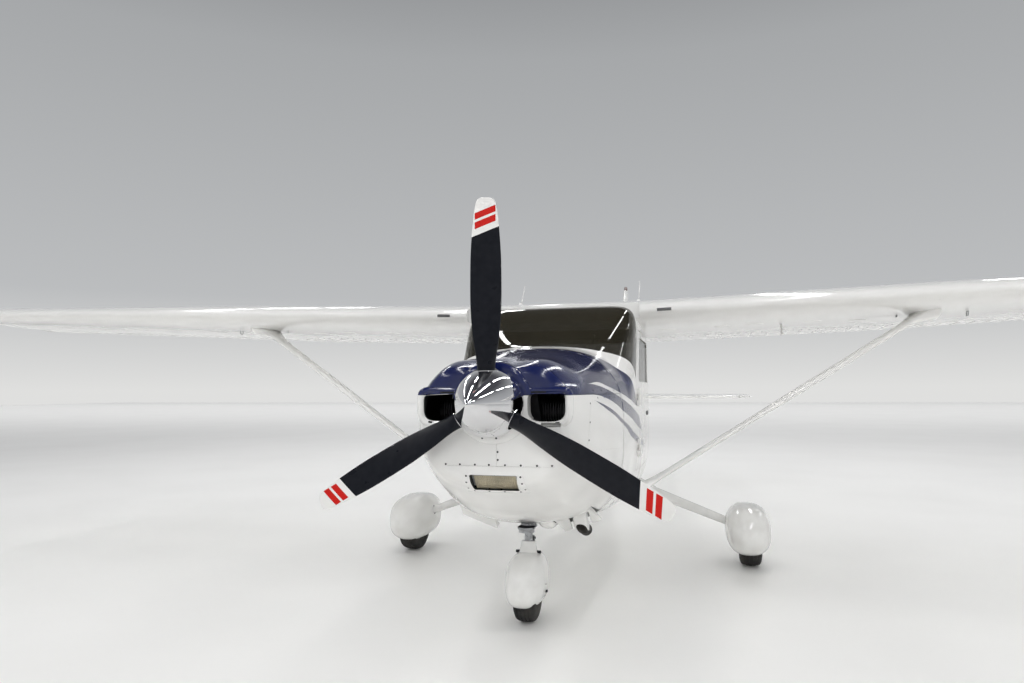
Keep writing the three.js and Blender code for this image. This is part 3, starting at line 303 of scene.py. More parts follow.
def coat(piece, materials, choose=None):
    """Gives a piece its materials; choose(centres, normals) picks one for each face."""
    materials = materials if isinstance(materials, (list, tuple)) else [materials]
    piece.data.materials.clear()
    for each in materials:
        piece.data.materials.append(each)
    picked = np.zeros(len(piece.data.polygons), np.int32)
    if choose is not None:
        picked[:] = choose(*face_data(piece))
    piece.data.polygons.foreach_set("material_index", picked)
    return piece


def fit(piece, name, body, slot, materials, stands_for, sharp, choose=None):
    """The last step of a piece: name, place in the row, smooth shading, materials and body. The slot is not
    used.
    """
    piece.name = name
    piece.data.name = name
    coat(piece, materials, choose)
    piece.data.transform(Matrix.Translation((0, SPINNER_TIP_Y, 0)))
    piece.data.polygons.foreach_set("use_smooth", [True] * len(piece.data.polygons))
    piece.data.set_sharp_from_angle(angle=math.radians(sharp))
    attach(piece, body)
    if stands_for:
        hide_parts(*stands_for)
    return piece


def map_corners(piece, name, place):
    """Gives a piece a map: place(point) says where a corner of a face lies on it."""
    layer = piece.data.uv_layers.new(name=name)
    for loop in piece.data.loops:
        layer.data[loop.index].uv = place(piece.data.vertices[loop.vertex_index].co)


def smooth(stations, values):
    """A curve through a table's rows that never overshoots them."""
    xs, ys = np.asarray(stations, float), np.asarray(values, float)
    if ys.ndim == 1:
        ys = ys[:, None]
    step = np.diff(xs)[:, None]
    slope = np.diff(ys, axis=0) / step
    tangent = np.zeros_like(ys)
    tangent[0], tangent[-1] = slope[0], slope[-1]
    w1, w2 = 2 * step[1:] + step[:-1], step[1:] + 2 * step[:-1]
    same = slope[:-1] * slope[1:] > 0
    safe = np.where(slope == 0, 1, slope)
    mean = (w1 + w2) / np.where(same, w1 / safe[:-1] + w2 / safe[1:], 1)
    tangent[1:-1] = np.where(same, mean, 0)

    def at(x):
        x = min(max(float(x), xs[0]), xs[-1])
        i = min(max(int(np.searchsorted(xs, x, "right")) - 1, 0), len(xs) - 2)
        h = xs[i + 1] - xs[i]
        t = (x - xs[i]) / h
        return (
            (2 * t**3 - 3 * t**2 + 1) * ys[i]
            + (t**3 - 2 * t**2 + t) * h * tangent[i]
            + (3 * t**2 - 2 * t**3) * ys[i + 1]
            + (t**3 - t**2) * h * tangent[i + 1]
        )

    return at


# Node trees
class Net:
    """Adds nodes to a tree. An input may be a number, a colour or another node's output."""

    def __init__(self, tree):
        self.tree = tree

    def add(self, kind, inputs=None, **settings):
        node = self.tree.nodes.new(kind)
        for key, value in settings.items():
            setattr(node, key, value)
        for key, value in (inputs or {}).items():
            self.feed(node.inputs[key], value)
        return node

    def feed(self, socket, value):
        if isinstance(value, bpy.types.NodeSocket):
            self.tree.links.new(value, socket)
        else:
            socket.default_value = value

    def math(self, operation, *values):
        return self.add("ShaderNodeMath", dict(enumerate(values)), operation=operation).outputs[0]

    def times(self, *values):
        return self.math("MULTIPLY", *values)

    def plus(self, *values):
        return self.math("ADD", *values)

    def above(self, *values):
        return self.math("GREATER_THAN", *values)

    def below(self, *values):
        return self.math("LESS_THAN", *values)

    def largest(self, *values):
        return self.math("MAXIMUM", *values)

    def mix(self, share, first, second):
        return self.add("ShaderNodeMix", {0: share, 6: first, 7: second}, data_type="RGBA").outputs[2]

    def between(self, value, low, high):
        """1 where a value lies between two others."""
        return self.times(self.above(value, low), self.below(value, high))


def colour(red, green, blue):
    return (red, green, blue, 1)


def shade_of(base, share):
    return colour(*(share * c for c in base[:3]))


def group(name, inputs, outputs):
    """An empty shader group with its sockets: {name: (kind, default)} in, {name: kind} out."""
    tree = bpy.data.node_groups.new(name, "ShaderNodeTree")
    for label, (kind, default) in inputs.items():
        socket = tree.interface.new_socket(label, in_out="INPUT", socket_type=f"NodeSocket{kind}")
        socket.default_value = default
    for label, kind in outputs.items():
        tree.interface.new_socket(label, in_out="OUTPUT", socket_type=f"NodeSocket{kind}")
    net = Net(tree)
    return tree, net, net.add("NodeGroupInput").outputs, net.add("NodeGroupOutput").inputs


def mottle_group():
    """Slow and fine variation over a surface: a value from Low to High."""
    tree, net, given, result = group(
        "Surface Mottle",
        {"Scale": ("Float", 4), "Low": ("Float", 0), "High": ("Float", 1)},
        {"Value": "Float"},
    )
    place = net.add("ShaderNodeTexCoord").outputs["Object"]
    noise = net.add("ShaderNodeTexNoise", {"Vector": place, "Scale": given["Scale"], "Detail": 6})
    spread = net.add(
        "ShaderNodeMapRange",
        {
            "Value": noise.outputs[0], "From Min": 0.3, "From Max": 0.7, "To Min": given["Low"],
            "To Max": given["High"]
        }
    )
    tree.links.new(spread.outputs[0], result["Value"])
    return tree


def grain_group():
    """Fine relief of a surface, as orange peel, casting skin, crackle or leather."""
    tree, net, given, result = group(
        "Surface Grain",
        {"Scale": ("Float", 300), "Depth": ("Float", 0.1), "Cells": ("Float", 0)},
        {"Normal": "Vector"},
    )
    place = net.add("ShaderNodeTexCoord").outputs["Object"]
    noise = net.add("ShaderNodeTexNoise", {"Vector": place, "Scale": given["Scale"], "Detail": 3})
    cells = net.add("ShaderNodeTexVoronoi", {"Vector": place, "Scale": given["Scale"]})
    height = net.add("ShaderNodeMix", {0: given["Cells"], 2: noise.outputs[0], 3: cells.outputs[0]})
    bump = net.add(
        "ShaderNodeBump", {"Strength": given["Depth"], "Distance": 0.001, "Height": height.outputs[0]}
    )
    tree.links.new(bump.outputs[0], result["Normal"])
    return tree


def grime_group():
    """Dust and soot: a colour that darkens in slow patches, more towards the ground and in streaks aft."""
    tree, net, given, result = group(
        "Grime",
        {
            "Color": ("Color", colour(0.8, 0.8, 0.8)),
            "Grime Color": ("Color", colour(0.2, 0.18, 0.15)),
            "Amount": ("Float", 0.1),
            "Low Z": ("Float", 0.0),
            "High Z": ("Float", 2.0),
        },
        {"Color": "Color", "Mask": "Float"},
    )
    place = net.add("ShaderNodeTexCoord").outputs["Object"]
    streaks = net.add("ShaderNodeMapping", {"Vector": place, "Scale": (5, 0.8, 5)})
    noise = net.add("ShaderNodeTexNoise", {"Vector": streaks.outputs[0], "Scale": 2.2, "Detail": 7})
    height = net.add("ShaderNodeSeparateXYZ", {0: place}).outputs[2]
    low = net.add(
        "ShaderNodeMapRange",
        {
            "Value": height, "From Min": given["Low Z"], "From Max": given["High Z"], "To Min": 1.0,
            "To Max": 0.35
        }
    ).outputs[0]
    patches = net.add(
        "ShaderNodeMapRange", {"Value": noise.outputs[0], "From Min": 0.38, "From Max": 0.75}
    ).outputs[0]
    mask = net.times(net.times(patches, low), given["Amount"])
    tree.links.new(net.mix(mask, given["Color"], given["Grime Color"]), result["Color"])
    tree.links.new(mask, result["Mask"])
    return tree


def seam_group():
    """Thin dark joints between skins, at places along one value: a mask of 1 on the joints."""
    tree, net, given, result = group(
        "Skin Seams",
        {"Along": ("Float", 0), "First": ("Float", 0), "Spacing": ("Float", 1), "Width": ("Float", 0.002)},
        {"Mask": "Float"},
    )
    steps = net.math("DIVIDE", net.math("SUBTRACT", given["Along"], given["First"]), given["Spacing"])
    offset = net.math("SUBTRACT", steps, net.math("ROUND", steps))
    distance = net.times(net.math("ABSOLUTE", offset), given["Spacing"])
    tree.links.new(net.below(distance, given["Width"]), result["Mask"])
    return tree


MOTTLE, GRAIN, GRIME, SEAMS = mottle_group(), grain_group(), grime_group(), seam_group()


class Finish(Net):
    """A material with its Principled shader, and the shared groups placed in it."""

    def __init__(self, name, **constants):
        self.material = bpy.data.materials.new(name)
        self.material.use_nodes = True
        super().__init__(self.material.node_tree)
        self.shader = self.tree.nodes["Principled BSDF"]
        for key, value in constants.items():
            self.set(key.replace("_", " "), value)

    def set(self, key, value):
        self.feed(self.shader.inputs[key], value)

    def patchy(self, first, second, scale):
        """Two base colours in soft patches."""
        self.set("Base Color", self.mix(self.mottled(0, 1, scale), first, second))

    def shared(self, tree, **inputs):
        node = self.add("ShaderNodeGroup", node_tree=tree)
        for key, value in inputs.items():
            self.feed(node.inputs[key.replace("_", " ")], value)
        return node.outputs

    def mottled(self, low, high, scale):
        return self.shared(MOTTLE, Scale=scale, Low=low, High=high)["Value"]

    def grained(self, scale, depth, cells=0.0):
        self.set("Normal", self.shared(GRAIN, Scale=scale, Depth=depth, Cells=cells)["Normal"])

    def place_of(self):
        """x, y and z of the surface in the row."""
        vector = self.add("ShaderNodeTexCoord").outputs["Object"]
        return self.add("ShaderNodeSeparateXYZ", {0: vector}).outputs


# Finishes
WHITE = colour(0.83, 0.825, 0.805)
NAVY = colour(0.006, 0.012, 0.075)
SOOT = colour(0.3, 0.27, 0.22)


def gloss_paint(name, base, rough=(0.10, 0.17), grime_and_shade=0.10):
    finish = Finish(name, Coat_Weight=0.5, Coat_Roughness=0.05, IOR=1.5)
    dirt = finish.shared(GRIME, Color=base, Grime_Color=SOOT, Amount=grime_and_shade)
    finish.set("Base Color", dirt["Color"])
    finish.set("Roughness", finish.mottled(*rough, scale=3))
    finish.grained(420, 0.05)
    return finish


# Livery: how high the edges of the side's bands lie, by the distance aft of the spinner's tip
BANDS = {
    "navy_top": [(0, 2), (1.75, 2), (1.9, 1.5), (2.4, 1.40), (3.4, 1.33), (4.6, 1.27), (6.2, 1.22)],
    "arc_top": [(0, 1.386), (0.74, 1.386), (0.93, 1.396), (1.075, 1.375), (1.284, 1.346), (1.548, 1.308),
                (1.758, 1.268), (2.135, 1.213), (2.395, 1.173), (3.0, 1.12), (4.0, 1.12), (6.2, 1.21)],
    "arc_low": [(0, 1.386), (0.74, 1.386), (0.894, 1.378), (1.04, 1.356), (1.204, 1.329), (1.415, 1.293),
                (1.625, 1.255), (1.886, 1.206), (2.197, 1.149), (3.0, 1.07), (4.0, 1.085), (6.2, 1.205)],
    "second_low": [(0, 1.329), (0.703, 1.329), (0.827, 1.325), (0.968, 1.307), (1.139, 1.276), (1.369, 1.226),
                   (1.671, 1.169), (2.006, 1.098), (2.6, 1.02), (3.4, 0.99), (4.4, 1.03), (6.2, 1.2)],
    "third_top": [(0, 1.302), (0.70, 1.302), (0.791, 1.291), (0.931, 1.266), (1.11, 1.229), (1.355, 1.171),
                  (1.596, 1.119), (1.815, 1.065), (2.5, 0.965), (3.4, 0.93), (4.4, 0.985), (6.2, 1.2)],
    "third_low": [(0, 1.302), (0.70, 1.302), (0.812, 1.278), (0.923, 1.248), (1.061, 1.216), (1.246, 1.171),
                  (1.47, 1.116), (1.664, 1.052), (2.5, 0.93), (3.4, 0.90), (4.4, 0.965), (6.2, 1.195)],
}
BAND_REACH = 6.2
BAND_BASE = 0.7
BAND_HEIGHT = 1.3
# The windshield's lower edge in the side view: the direction square to it, and its distance that way.
# The deck is white along it.
SILL_AFT, SILL_UP = 0.5687, 0.8226
SILL = 1.588 * SILL_AFT + 1.642 * SILL_UP
DECK_BAND = 0.11


def band_edge(finish, aft, name):
    """The height of a band's edge, from a curve drawn through its points."""
    share = finish.math("DIVIDE", aft, BAND_REACH)
    node = finish.add("ShaderNodeFloatCurve", {"Value": share})
    curve = node.mapping.curves[0]
    points = [(x / BAND_REACH, (z - BAND_BASE) / BAND_HEIGHT) for x, z in BANDS[name]]
    curve.points[0].location, curve.points[1].location = points[0], points[-1]
    for point in points[1:-1]:
        curve.points.new(*point)
    for point in curve.points:
        point.handle_type = "AUTO_CLAMPED"
    node.mapping.update()
    return finish.math("MULTIPLY_ADD", node.outputs[0], BAND_HEIGHT, BAND_BASE)


def livery_paint(name):
    """White paint with the navy swoosh, its white arcs and the thin stripe under it."""
    finish = gloss_paint(name, WHITE, grime_and_shade=0.08)
    _, y, z = finish.place_of()
    aft = finish.math("SUBTRACT", y, SPINNER_TIP_Y)
    edge = {key: band_edge(finish, aft, key) for key in BANDS}
    top = finish.between(z, edge["arc_top"], edge["navy_top"])
    second = finish.between(z, edge["second_low"], edge["arc_low"])
    third = finish.between(z, edge["third_low"], edge["third_top"])
    mask = finish.largest(top, finish.largest(second, third))
    line = finish.plus(finish.times(aft, SILL_AFT), finish.times(z, SILL_UP))
    mask = finish.times(mask, finish.below(line, SILL - DECK_BAND))
    mask = finish.times(mask, finish.below(aft, BAND_REACH - 0.01))
    joints = finish.shared(SEAMS, Along=aft, First=4.4, Spacing=1.12, Width=0.0016)["Mask"]
    joints = finish.times(joints, finish.above(aft, 4.3))
    base = finish.mix(finish.times(joints, 0.55), finish.mix(mask, WHITE, NAVY), SOOT)
    dirt = finish.shared(GRIME, Color=base, Grime_Color=SOOT, Amount=0.07)
    finish.set("Base Color", dirt["Color"])
    finish.set("Coat Weight", finish.math("MULTIPLY_ADD", mask, -0.3, 0.5))
    return finish


# Fastener heads and other repeated shapes, by geometry nodes
def geometry_tree(name, sizes):
    """An empty tree with a geometry in and out, and its named inputs: {name: (kind, default)}."""
    tree = bpy.data.node_groups.new(name, "GeometryNodeTree")
    tree.interface.new_socket("Geometry", in_out="INPUT", socket_type="NodeSocketGeometry")
    for label, (kind, default) in sizes.items():
        socket = tree.interface.new_socket(label, in_out="INPUT", socket_type=f"NodeSocket{kind}")
        if default is not None:
            socket.default_value = default
    tree.interface.new_socket("Geometry", in_out="OUTPUT", socket_type="NodeSocketGeometry")
    return tree, Net(tree)


def end_tree(net, instances, finish):
    real = net.add("GeometryNodeRealizeInstances", {"Geometry": instances})
    done = net.add("GeometryNodeSetMaterial", {"Geometry": real.outputs[0], "Material": finish})
    net.add("NodeGroupOutput", {"Geometry": done.outputs[0]})


def heads_tree():
    """A low head with a sloped edge on every point, standing along the point's direction."""
    tree, net = geometry_tree("Fastener Heads", {
        "Radius": ("Float", 0.004), "Height": ("Float", 0.002), "Top Share": ("Float", 0.7),
        "Sides": ("Int", 10), "Finish": ("Material", None),
    })
    given = net.add("NodeGroupInput").outputs
    top = net.times(given["Radius"], given["Top Share"])
    head = net.add(
        "GeometryNodeMeshCone",
        {
            "Vertices": given["Sides"], "Radius Top": top, "Radius Bottom": given["Radius"],
            "Depth": given["Height"]
        }
    )
    direction = net.add("GeometryNodeInputNamedAttribute", {"Name": "direction"}, data_type="FLOAT_VECTOR")
    turn = net.add("FunctionNodeAlignRotationToVector", {"Vector": direction.outputs["Attribute"]}, axis="Z")
    placed = net.add("GeometryNodeInstanceOnPoints", {
        "Points": given["Geometry"], "Instance": head.outputs["Mesh"], "Rotation": turn.outputs[0]})
    end_tree(net, placed.outputs[0], given["Finish"])
    return tree


def row_tree():
    """The given shape again and again along a straight line."""
    tree, net = geometry_tree("Row Of Shapes", {
        "Count": ("Int", 5), "Step": ("Vector", (0.01, 0, 0)), "Finish": ("Material", None)})
    given = net.add("NodeGroupInput").outputs
    line = net.add("GeometryNodeMeshLine", {"Count": given["Count"], "Offset": given["Step"]})
    placed = net.add(
        "GeometryNodeInstanceOnPoints", {"Points": line.outputs[0], "Instance": given["Geometry"]}
    )
    end_tree(net, placed.outputs[0], given["Finish"])
    return tree


HEADS, ROW = heads_tree(), row_tree()


def grow(piece, tree, **sizes):
    """Runs a tree on a piece with its own sizes, and leaves a plain mesh."""
    step = piece.modifiers.new(tree.name, "NODES")
    step.node_group = tree
    for item in tree.interface.items_tree:
        if item.in_out == "INPUT" and item.name.replace(" ", "_") in sizes:
            step[item.identifier] = sizes[item.name.replace(" ", "_")]
    return settle(piece)


def heads(name, body, slot, finish, places, radius, height, sides, top_share=0.7):
    """Fastener heads at places, each a point on the skin and the direction out of it."""
    sunk = 0.0004
    points = [np.asarray(p) - np.asarray(n) * sunk for p, n in places]
    piece = link(name, points, [])
    layer = piece.data.attributes.new("direction", "FLOAT_VECTOR", "POINT")
    layer.data.foreach_set("vector", np.array([n for _, n in places], float).ravel())
    grow(piece, HEADS, Radius=radius, Height=height + sunk, Sides=sides, Top_Share=top_share, Finish=finish)
    return fit(piece, name, body, slot, finish, [], 30)


def surface_place(at, u, v):
    """A point of a surface at(u, v), and the direction square to it, away from the object's middle line."""
    e = 1e-3
    point = np.asarray(at(u, v), float)
    normal = np.cross(np.asarray(at(u + e, v)) - at(u - e, v), np.asarray(at(u, v + e)) - at(u, v - e))
    return point, normal / np.linalg.norm(normal)


def skin_finder(piece, shift=SPINNER_TIP_Y):
    """Looks up where a line first meets a piece: the point in the tables' frame, and the way out."""
    mesh = piece.data
    tree = BVHTree.FromPolygons([v.co for v in mesh.vertices], [tuple(p.vertices) for p in mesh.polygons])
    offset = Vector((0, shift, 0))

    def find(start, direction):
        point, normal, _, _ = tree.ray_cast(Vector(start) + offset, Vector(direction).normalized())
        if point is None:
            return None
        if normal.dot(Vector(direction)) > 0:
            normal = -normal
        return np.array(point - offset), np.array(normal)

    return find


# Finishes of the pieces
banded_white = livery_paint("White Paint With Bands").material
plain_white = gloss_paint("White Paint", WHITE).material
shell_white = gloss_paint("White Moulded Shell", WHITE, grime_and_shade=0.16).material
leg_white = gloss_paint("White Leg Paint", WHITE, grime_and_shade=0.18).material


def dark_inside(name, base, scale=260):
    finish = Finish(name, Roughness=0.75)
    finish.patchy(base, shade_of(base, 0.6), 9)
    finish.grained(scale, 0.3)
    return finish.material


inside_dark = dark_inside("Dark Inside", colour(0.012, 0.013, 0.014))
headliner = dark_inside("Headlining", colour(0.32, 0.30, 0.26), 900)
carpet = dark_inside("Carpet", colour(0.05, 0.048, 0.045), 1400)


# Fuselage: aft, bottom z, widest z, top z, half width, how square it is below and above, wall
SECTIONS = np.array([
    (0.440, 0.925, 1.210, 1.440, 0.345, 2.4, 2.5, 0.030),
    (0.448, 0.903, 1.209, 1.457, 0.368, 2.45, 2.5, 0.030),
    (0.462, 0.886, 1.208, 1.468, 0.387, 2.5, 2.5, 0.030),
    (0.520, 0.850, 1.205, 1.486, 0.418, 2.6, 2.5, 0.030),
    (0.620, 0.800, 1.195, 1.508, 0.452, 2.6, 2.5, 0.028),
    (0.820, 0.700, 1.180, 1.538, 0.498, 2.6, 2.5, 0.028),
    (1.080, 0.600, 1.165, 1.572, 0.535, 2.8, 2.6, 0.028),
    (1.355, 0.540, 1.150, 1.604, 0.560, 3.0, 2.7, 0.028),
    (1.600, 0.520, 1.150, 1.634, 0.580, 3.0, 2.8, 0.030),
    (1.800, 0.510, 1.150, 1.778, 0.593, 3.3, 5.6, 0.034),
    (2.050, 0.503, 1.150, 1.938, 0.604, 3.6, 12.0, 0.036),
    (2.300, 0.498, 1.150, 1.984, 0.611, 4.0, 12.0, 0.036),
    (2.700, 0.495, 1.150, 1.992, 0.615, 4.0, 11.0, 0.036),
    (3.100, 0.500, 1.150, 1.952, 0.610, 4.0, 7.5, 0.034),
    (3.640, 0.530, 1.150, 1.845, 0.574, 3.8, 5.0, 0.026),
    (4.400, 0.622, 1.135, 1.606, 0.474, 3.2, 3.0, 0.014),
    (5.500, 0.770, 1.130, 1.520, 0.350, 2.7, 2.6, 0.012),
    (7.000, 0.950, 1.165, 1.425, 0.205, 2.5, 2.4, 0.012),
    (8.100, 1.070, 1.200, 1.335, 0.095, 2.4, 2.4, 0.012),
])
section_at = smooth(SECTIONS[:, 0], SECTIONS[:, 1:])
AROUND = 144
TURN = full_turn(AROUND)
INLET_X, INLET_Z = 0.272, 1.277
PROP_Z = 1.293


def skin_ring(aft, inset, brows):
    """Points round the fuselage at one place, drawn in by inset; brows rise over the cowl's two inlets."""
    bottom, middle, top, half, below, above, _ = section_at(aft)
    s, c = np.sin(TURN), np.cos(TURN)
    power = 2 / np.where(c >= 0, above, below)
    height = np.where(c >= 0, top - middle, middle - bottom) - inset
    x = (half - inset) * squared(s, power)
    z = middle + height * squared(c, power)
    if brows:
        over = np.exp(-(((np.abs(x) - INLET_X + 0.01) / 0.115) ** 2))
        dip = 0.45 * np.exp(-((x / 0.10) ** 2))
        along = math.exp(-(((aft - 0.53) / 0.24) ** 2))
        z = z + brows * (over - dip) * along * np.clip(c, 0, 1)
    return ring_at(aft, x, z)


def stations(low, high, spacing):
    return np.linspace(low, high, max(2, 1 + round((high - low) / spacing)))


def skin_body(name, low, high, spacing, inset=0.0, brows=0.0):
    return loft(name, [skin_ring(a, inset, brows) for a in stations(low, high, spacing)])


def shell(name, low, high, spacing, wall, brows=0.0, closed_front=False):
    """The fuselage's skin between two places, hollow."""
    outer = skin_body(name, low, high, spacing, 0.0, brows)
    start = low + wall if closed_front else low - 0.05
    start = max(start, SECTIONS[0, 0] + (wall if closed_front else 0))
    inner = skin_body("hollow", start, high + 0.05, spacing * 1.6, wall)
    return cut(outer, inner)


def outside_share(centres):
    """How far out each face lies, as a share of the skin's own distance from the middle."""
    result = np.empty(len(centres))
    for i, (x, aft, z) in enumerate(centres):
        bottom, middle, top, half, below, above, _ = section_at(aft)
        height, n = (top - middle, above) if z >= middle else (middle - bottom, below)
        result[i] = (abs(x / half) ** n + abs((z - middle) / height) ** n) ** (1 / n)
    return result


def inner_faces(wall):
    """Faces that look into the fuselage get the second material."""

    def choose(centres, normals):
        middle = np.array([section_at(aft)[1] for aft in centres[:, 1]])
        outwards = centres[:, [0, 2]] - np.column_stack([np.zeros(len(centres)), middle])
        looks = (outwards * normals[:, [0, 2]]).sum(1)
        deep = outside_share(centres) < 1 - wall
        return (deep & ((looks < -0.02) | (normals[:, 1] > 0.5))).astype(int)

    return choose


WIDE = 0.9
DOOR = [(2.0, 0.8), (2.0, 1.415), (2.112, 1.762), (2.985, 1.762), (2.985, 1.12), (2.905, 0.8)]
DOOR_WINDOW = [(2.062, 1.405), (2.163, 1.716), (2.925, 1.716), (2.925, 1.405)]
REAR_SIDE_WINDOW = [(3.062, 1.405), (3.062, 1.716), (3.56, 1.716), (3.8, 1.5), (3.74, 1.405)]
BAGGAGE_DOOR = [(3.8, 0.93), (3.8, 1.33), (4.2, 1.33), (4.2, 0.97)]
WINDSHIELD = [(1.588, 1.67), (1.588, 1.642), (1.912, 1.418), (2.03, 1.775), (2.072, 2.02), (1.8, 2.02)]
REAR_WINDOW = [(3.64, 1.95), (3.64, 1.742), (4.25, 1.57), (4.33, 1.66)]
DOOR_GAP = 0.005
COWL_SPLIT = 1.33
COWL_END = 1.355
CABIN_START = 1.3737
CABIN_END = 4.395
BELLY_TOP = 0.7965


def inlet_outline(side, extra=0.0):
    """An inlet: nearly square above, under the upper cowl's edge, and well rounded below."""
    outline = []
    for a in full_turn(56):
        power = 2 / (6.5 if math.sin(a) > 0 else 3.4)
        height = 0.060 if math.sin(a) > 0 else 0.076
        x = (0.092 + extra) * squared(math.cos(a), power)
        z = (height + extra) * squared(math.sin(a), power)
        outline.append((side * INLET_X + x, INLET_Z + z))
    return outline


def inlet_lip(side):
    """The rounded rim of an inlet."""
    radius = 0.021
    path = inlet_outline(side, radius - 0.004)
    turns = full_turn(14)
    rings = []
    for i, (x, z) in enumerate(path):
        before, after = path[i - 1], path[(i + 1) % len(path)]
        along = np.array([after[0] - before[0], after[1] - before[1]])
        along /= np.linalg.norm(along)
        out = radius * np.cos(turns)
        depth = 0.4600 + 0.026 * np.sin(turns)
        rings.append(np.column_stack([x + along[1] * out, depth, z - along[0] * out]))
    return hoop("lip", rings)


SCOOP = {"half": 0.118, "bottom": 0.853, "top": 0.937, "back": 0.69}


def whole_cowl():
    cowl = shell("cowl", 0.44, COWL_END, 0.016, 0.028, brows=0.036, closed_front=True)
    boss = turned(
        "boss",
        [(0.0, 0.0), (0.0, 0.172), (0.004, 0.192), (0.012, 0.203), (0.03, 0.209), (0.16, 0.212), (0.16, 0.0)],
        (0, 0.424, PROP_Z), AFT, 96,
    )
    boss_hole = turned("hole", [(0, 0.075), (0.5, 0.075)], (0, 0.38, PROP_Z), AFT, 48)
    behind = block("behind", -0.26, 0.26, 0.50, 0.7, 1.05, 1.5)
    cut(boss, behind)
    join(cowl, boss, inlet_lip(1), inlet_lip(-1))
    holes = [prism("inlet", inlet_outline(side), 0.38, 0.64, "y") for side in (1, -1)]
    return cut(cowl, boss_hole, *holes)


def cowl_flap_place(side):
    """Where a cowl flap's hinge lies, and how it leans with the cowl's round bottom."""
    place = Matrix.Translation((0.280, 1.112, 0.657)) @ Matrix.Rotation(math.radians(-20), 4, "Y")
    return Matrix.Scale(side, 4, TO_PORT) @ place


def leg_bulge():
    """The rounded block beside the nose leg, at the lower cowl's rear edge."""
    rows = [(1.10, 0.026, 0.640), (1.125, 0.044, 0.585), (1.16, 0.052, 0.553), (1.21, 0.055, 0.541),
            (1.30, 0.055, 0.537), (1.335, 0.050, 0.543), (1.350, 0.038, 0.560)]
    turns = full_turn(40)
    s, c = np.sin(turns), np.cos(turns)
    rings = []
    for aft, half, low in rows:
        middle, tall = (low + 0.70) / 2, (0.70 - low) / 2
        x = 0.128 + half * squared(s, 0.7)
        rings.append(ring_at(aft, x, middle + tall * squared(c, 0.7)))
    return loft("bulge", rings)


def stripe(points, width):
    """A thin band of even width along points in the plane."""
    points = np.asarray(points, float)
    sides = []
    for i in range(len(points)):
        along = points[min(i + 1, len(points) - 1)] - points[max(i - 1, 0)]
        along /= np.linalg.norm(along)
        sides.append(np.array([-along[1], along[0]]) * width / 2)
    return [*(points + sides), *(points - sides)[::-1]]


GROOVE = {"width": 0.0022, "depth": 0.0025}
SIDE_SEAM = [(0.690, 1.302), (0.650, 1.252), (0.626, 1.177), (0.622, 1.050)]
LOWER_SEAM = [(0.622, 1.064), (0.87, 1.043), (1.19, 1.012), (1.345, 0.995)]


def cowl_grooves():
    """Shallow grooves in the lower cowl, where its panels meet."""
    layer = skin_body("layer", 0.43, COWL_END + 0.01, 0.02, -0.003)
    cut(layer, skin_body("kept", 0.44 + GROOVE["depth"], COWL_END + 0.05, 0.02, GROOVE["depth"]))
    half = GROOVE["width"] / 2
    tools = [
        block("front seam", 0.0205 - half, 0.0205 + half, 0.42, 0.47, 0.981, 1.090),
        block("chin seam", -0.262, 0.310, 0.42, 0.50, 0.981 - half, 0.981 + half),
    ]
    for seam in (SIDE_SEAM, LOWER_SEAM):
        for side in (1, -1):
            tools.append(across("seam", stripe(seam, GROOVE["width"]), 0.0, *on_side(side, 0.3, WIDE)))
    grooves = [keep(copy_of(layer), tool) for tool in tools]
    remove(layer)
    return grooves


def scoop_mouth():
    half, low, high = SCOOP["half"], SCOOP["bottom"], SCOOP["top"]
    outline = [(-half, low), (half, low), (half + 0.004, high), (-half - 0.004, high)]
    return prism("mouth", rounded(outline, 0.008), 0.38, 0.74, "y")


def make_cowl():
    cowl = whole_cowl()
    upper = keep(copy_of(cowl), block("half", -WIDE, WIDE, 0.3, COWL_END, COWL_SPLIT + 0.0012, 2))
    lower = keep(cowl, block("half", -WIDE, WIDE, 0.3, COWL_END, 0, COWL_SPLIT - 0.0012))
    half, low, high, back = SCOOP["half"], SCOOP["bottom"], SCOOP["top"], SCOOP["back"]
    duct = block("duct", -half - 0.008, half + 0.008, 0.47, back, low - 0.008, high + 0.008)
    keep(duct, skin_body("inside", 0.44, 1.0, 0.03, 0.004))
    slot = block("slot", -0.062, 0.062, 1.14, COWL_END + 0.05, 0.4, 0.7)
    bulge = leg_bulge()
    openings = []
    for side in (1, -1):
        opening = block("opening", -0.123, 0.123, -0.012, 0.3, -0.12, 0.09)
        openings.append(move(opening, cowl_flap_place(side)))
    join(lower, duct)
    cut(lower, *cowl_grooves())
    join(lower, bulge)
    cut(lower, scoop_mouth(), slot, *openings)
    # The oval slot in the port inlet's lower lip
    cut(lower, plate("oval", 0.243, 0.345, 1.176, 1.196, 0.010, 0.40, 0.475, "y"))
    fit(upper, "cowl_upper_skin", "airframe", "navy_paint", [banded_white, inside_dark],
        ["cowl_upper"], 30, choose=inner_faces(0.03))
    fit(lower, "cowl_lower_skin", "airframe", "white_paint", [banded_white, inside_dark],
        ["cowl_lower"], 30, choose=inner_faces(0.03))


def across(name, outline, radius=0.0, x0=-WIDE, x1=WIDE):
    return prism(name, rounded(outline, radius) if radius else outline, x0, x1, "x")


STRUT_BASE, STRUT_TOP = np.array([0.560, 1.946, 0.655]), np.array([2.530, 2.432, 1.875])


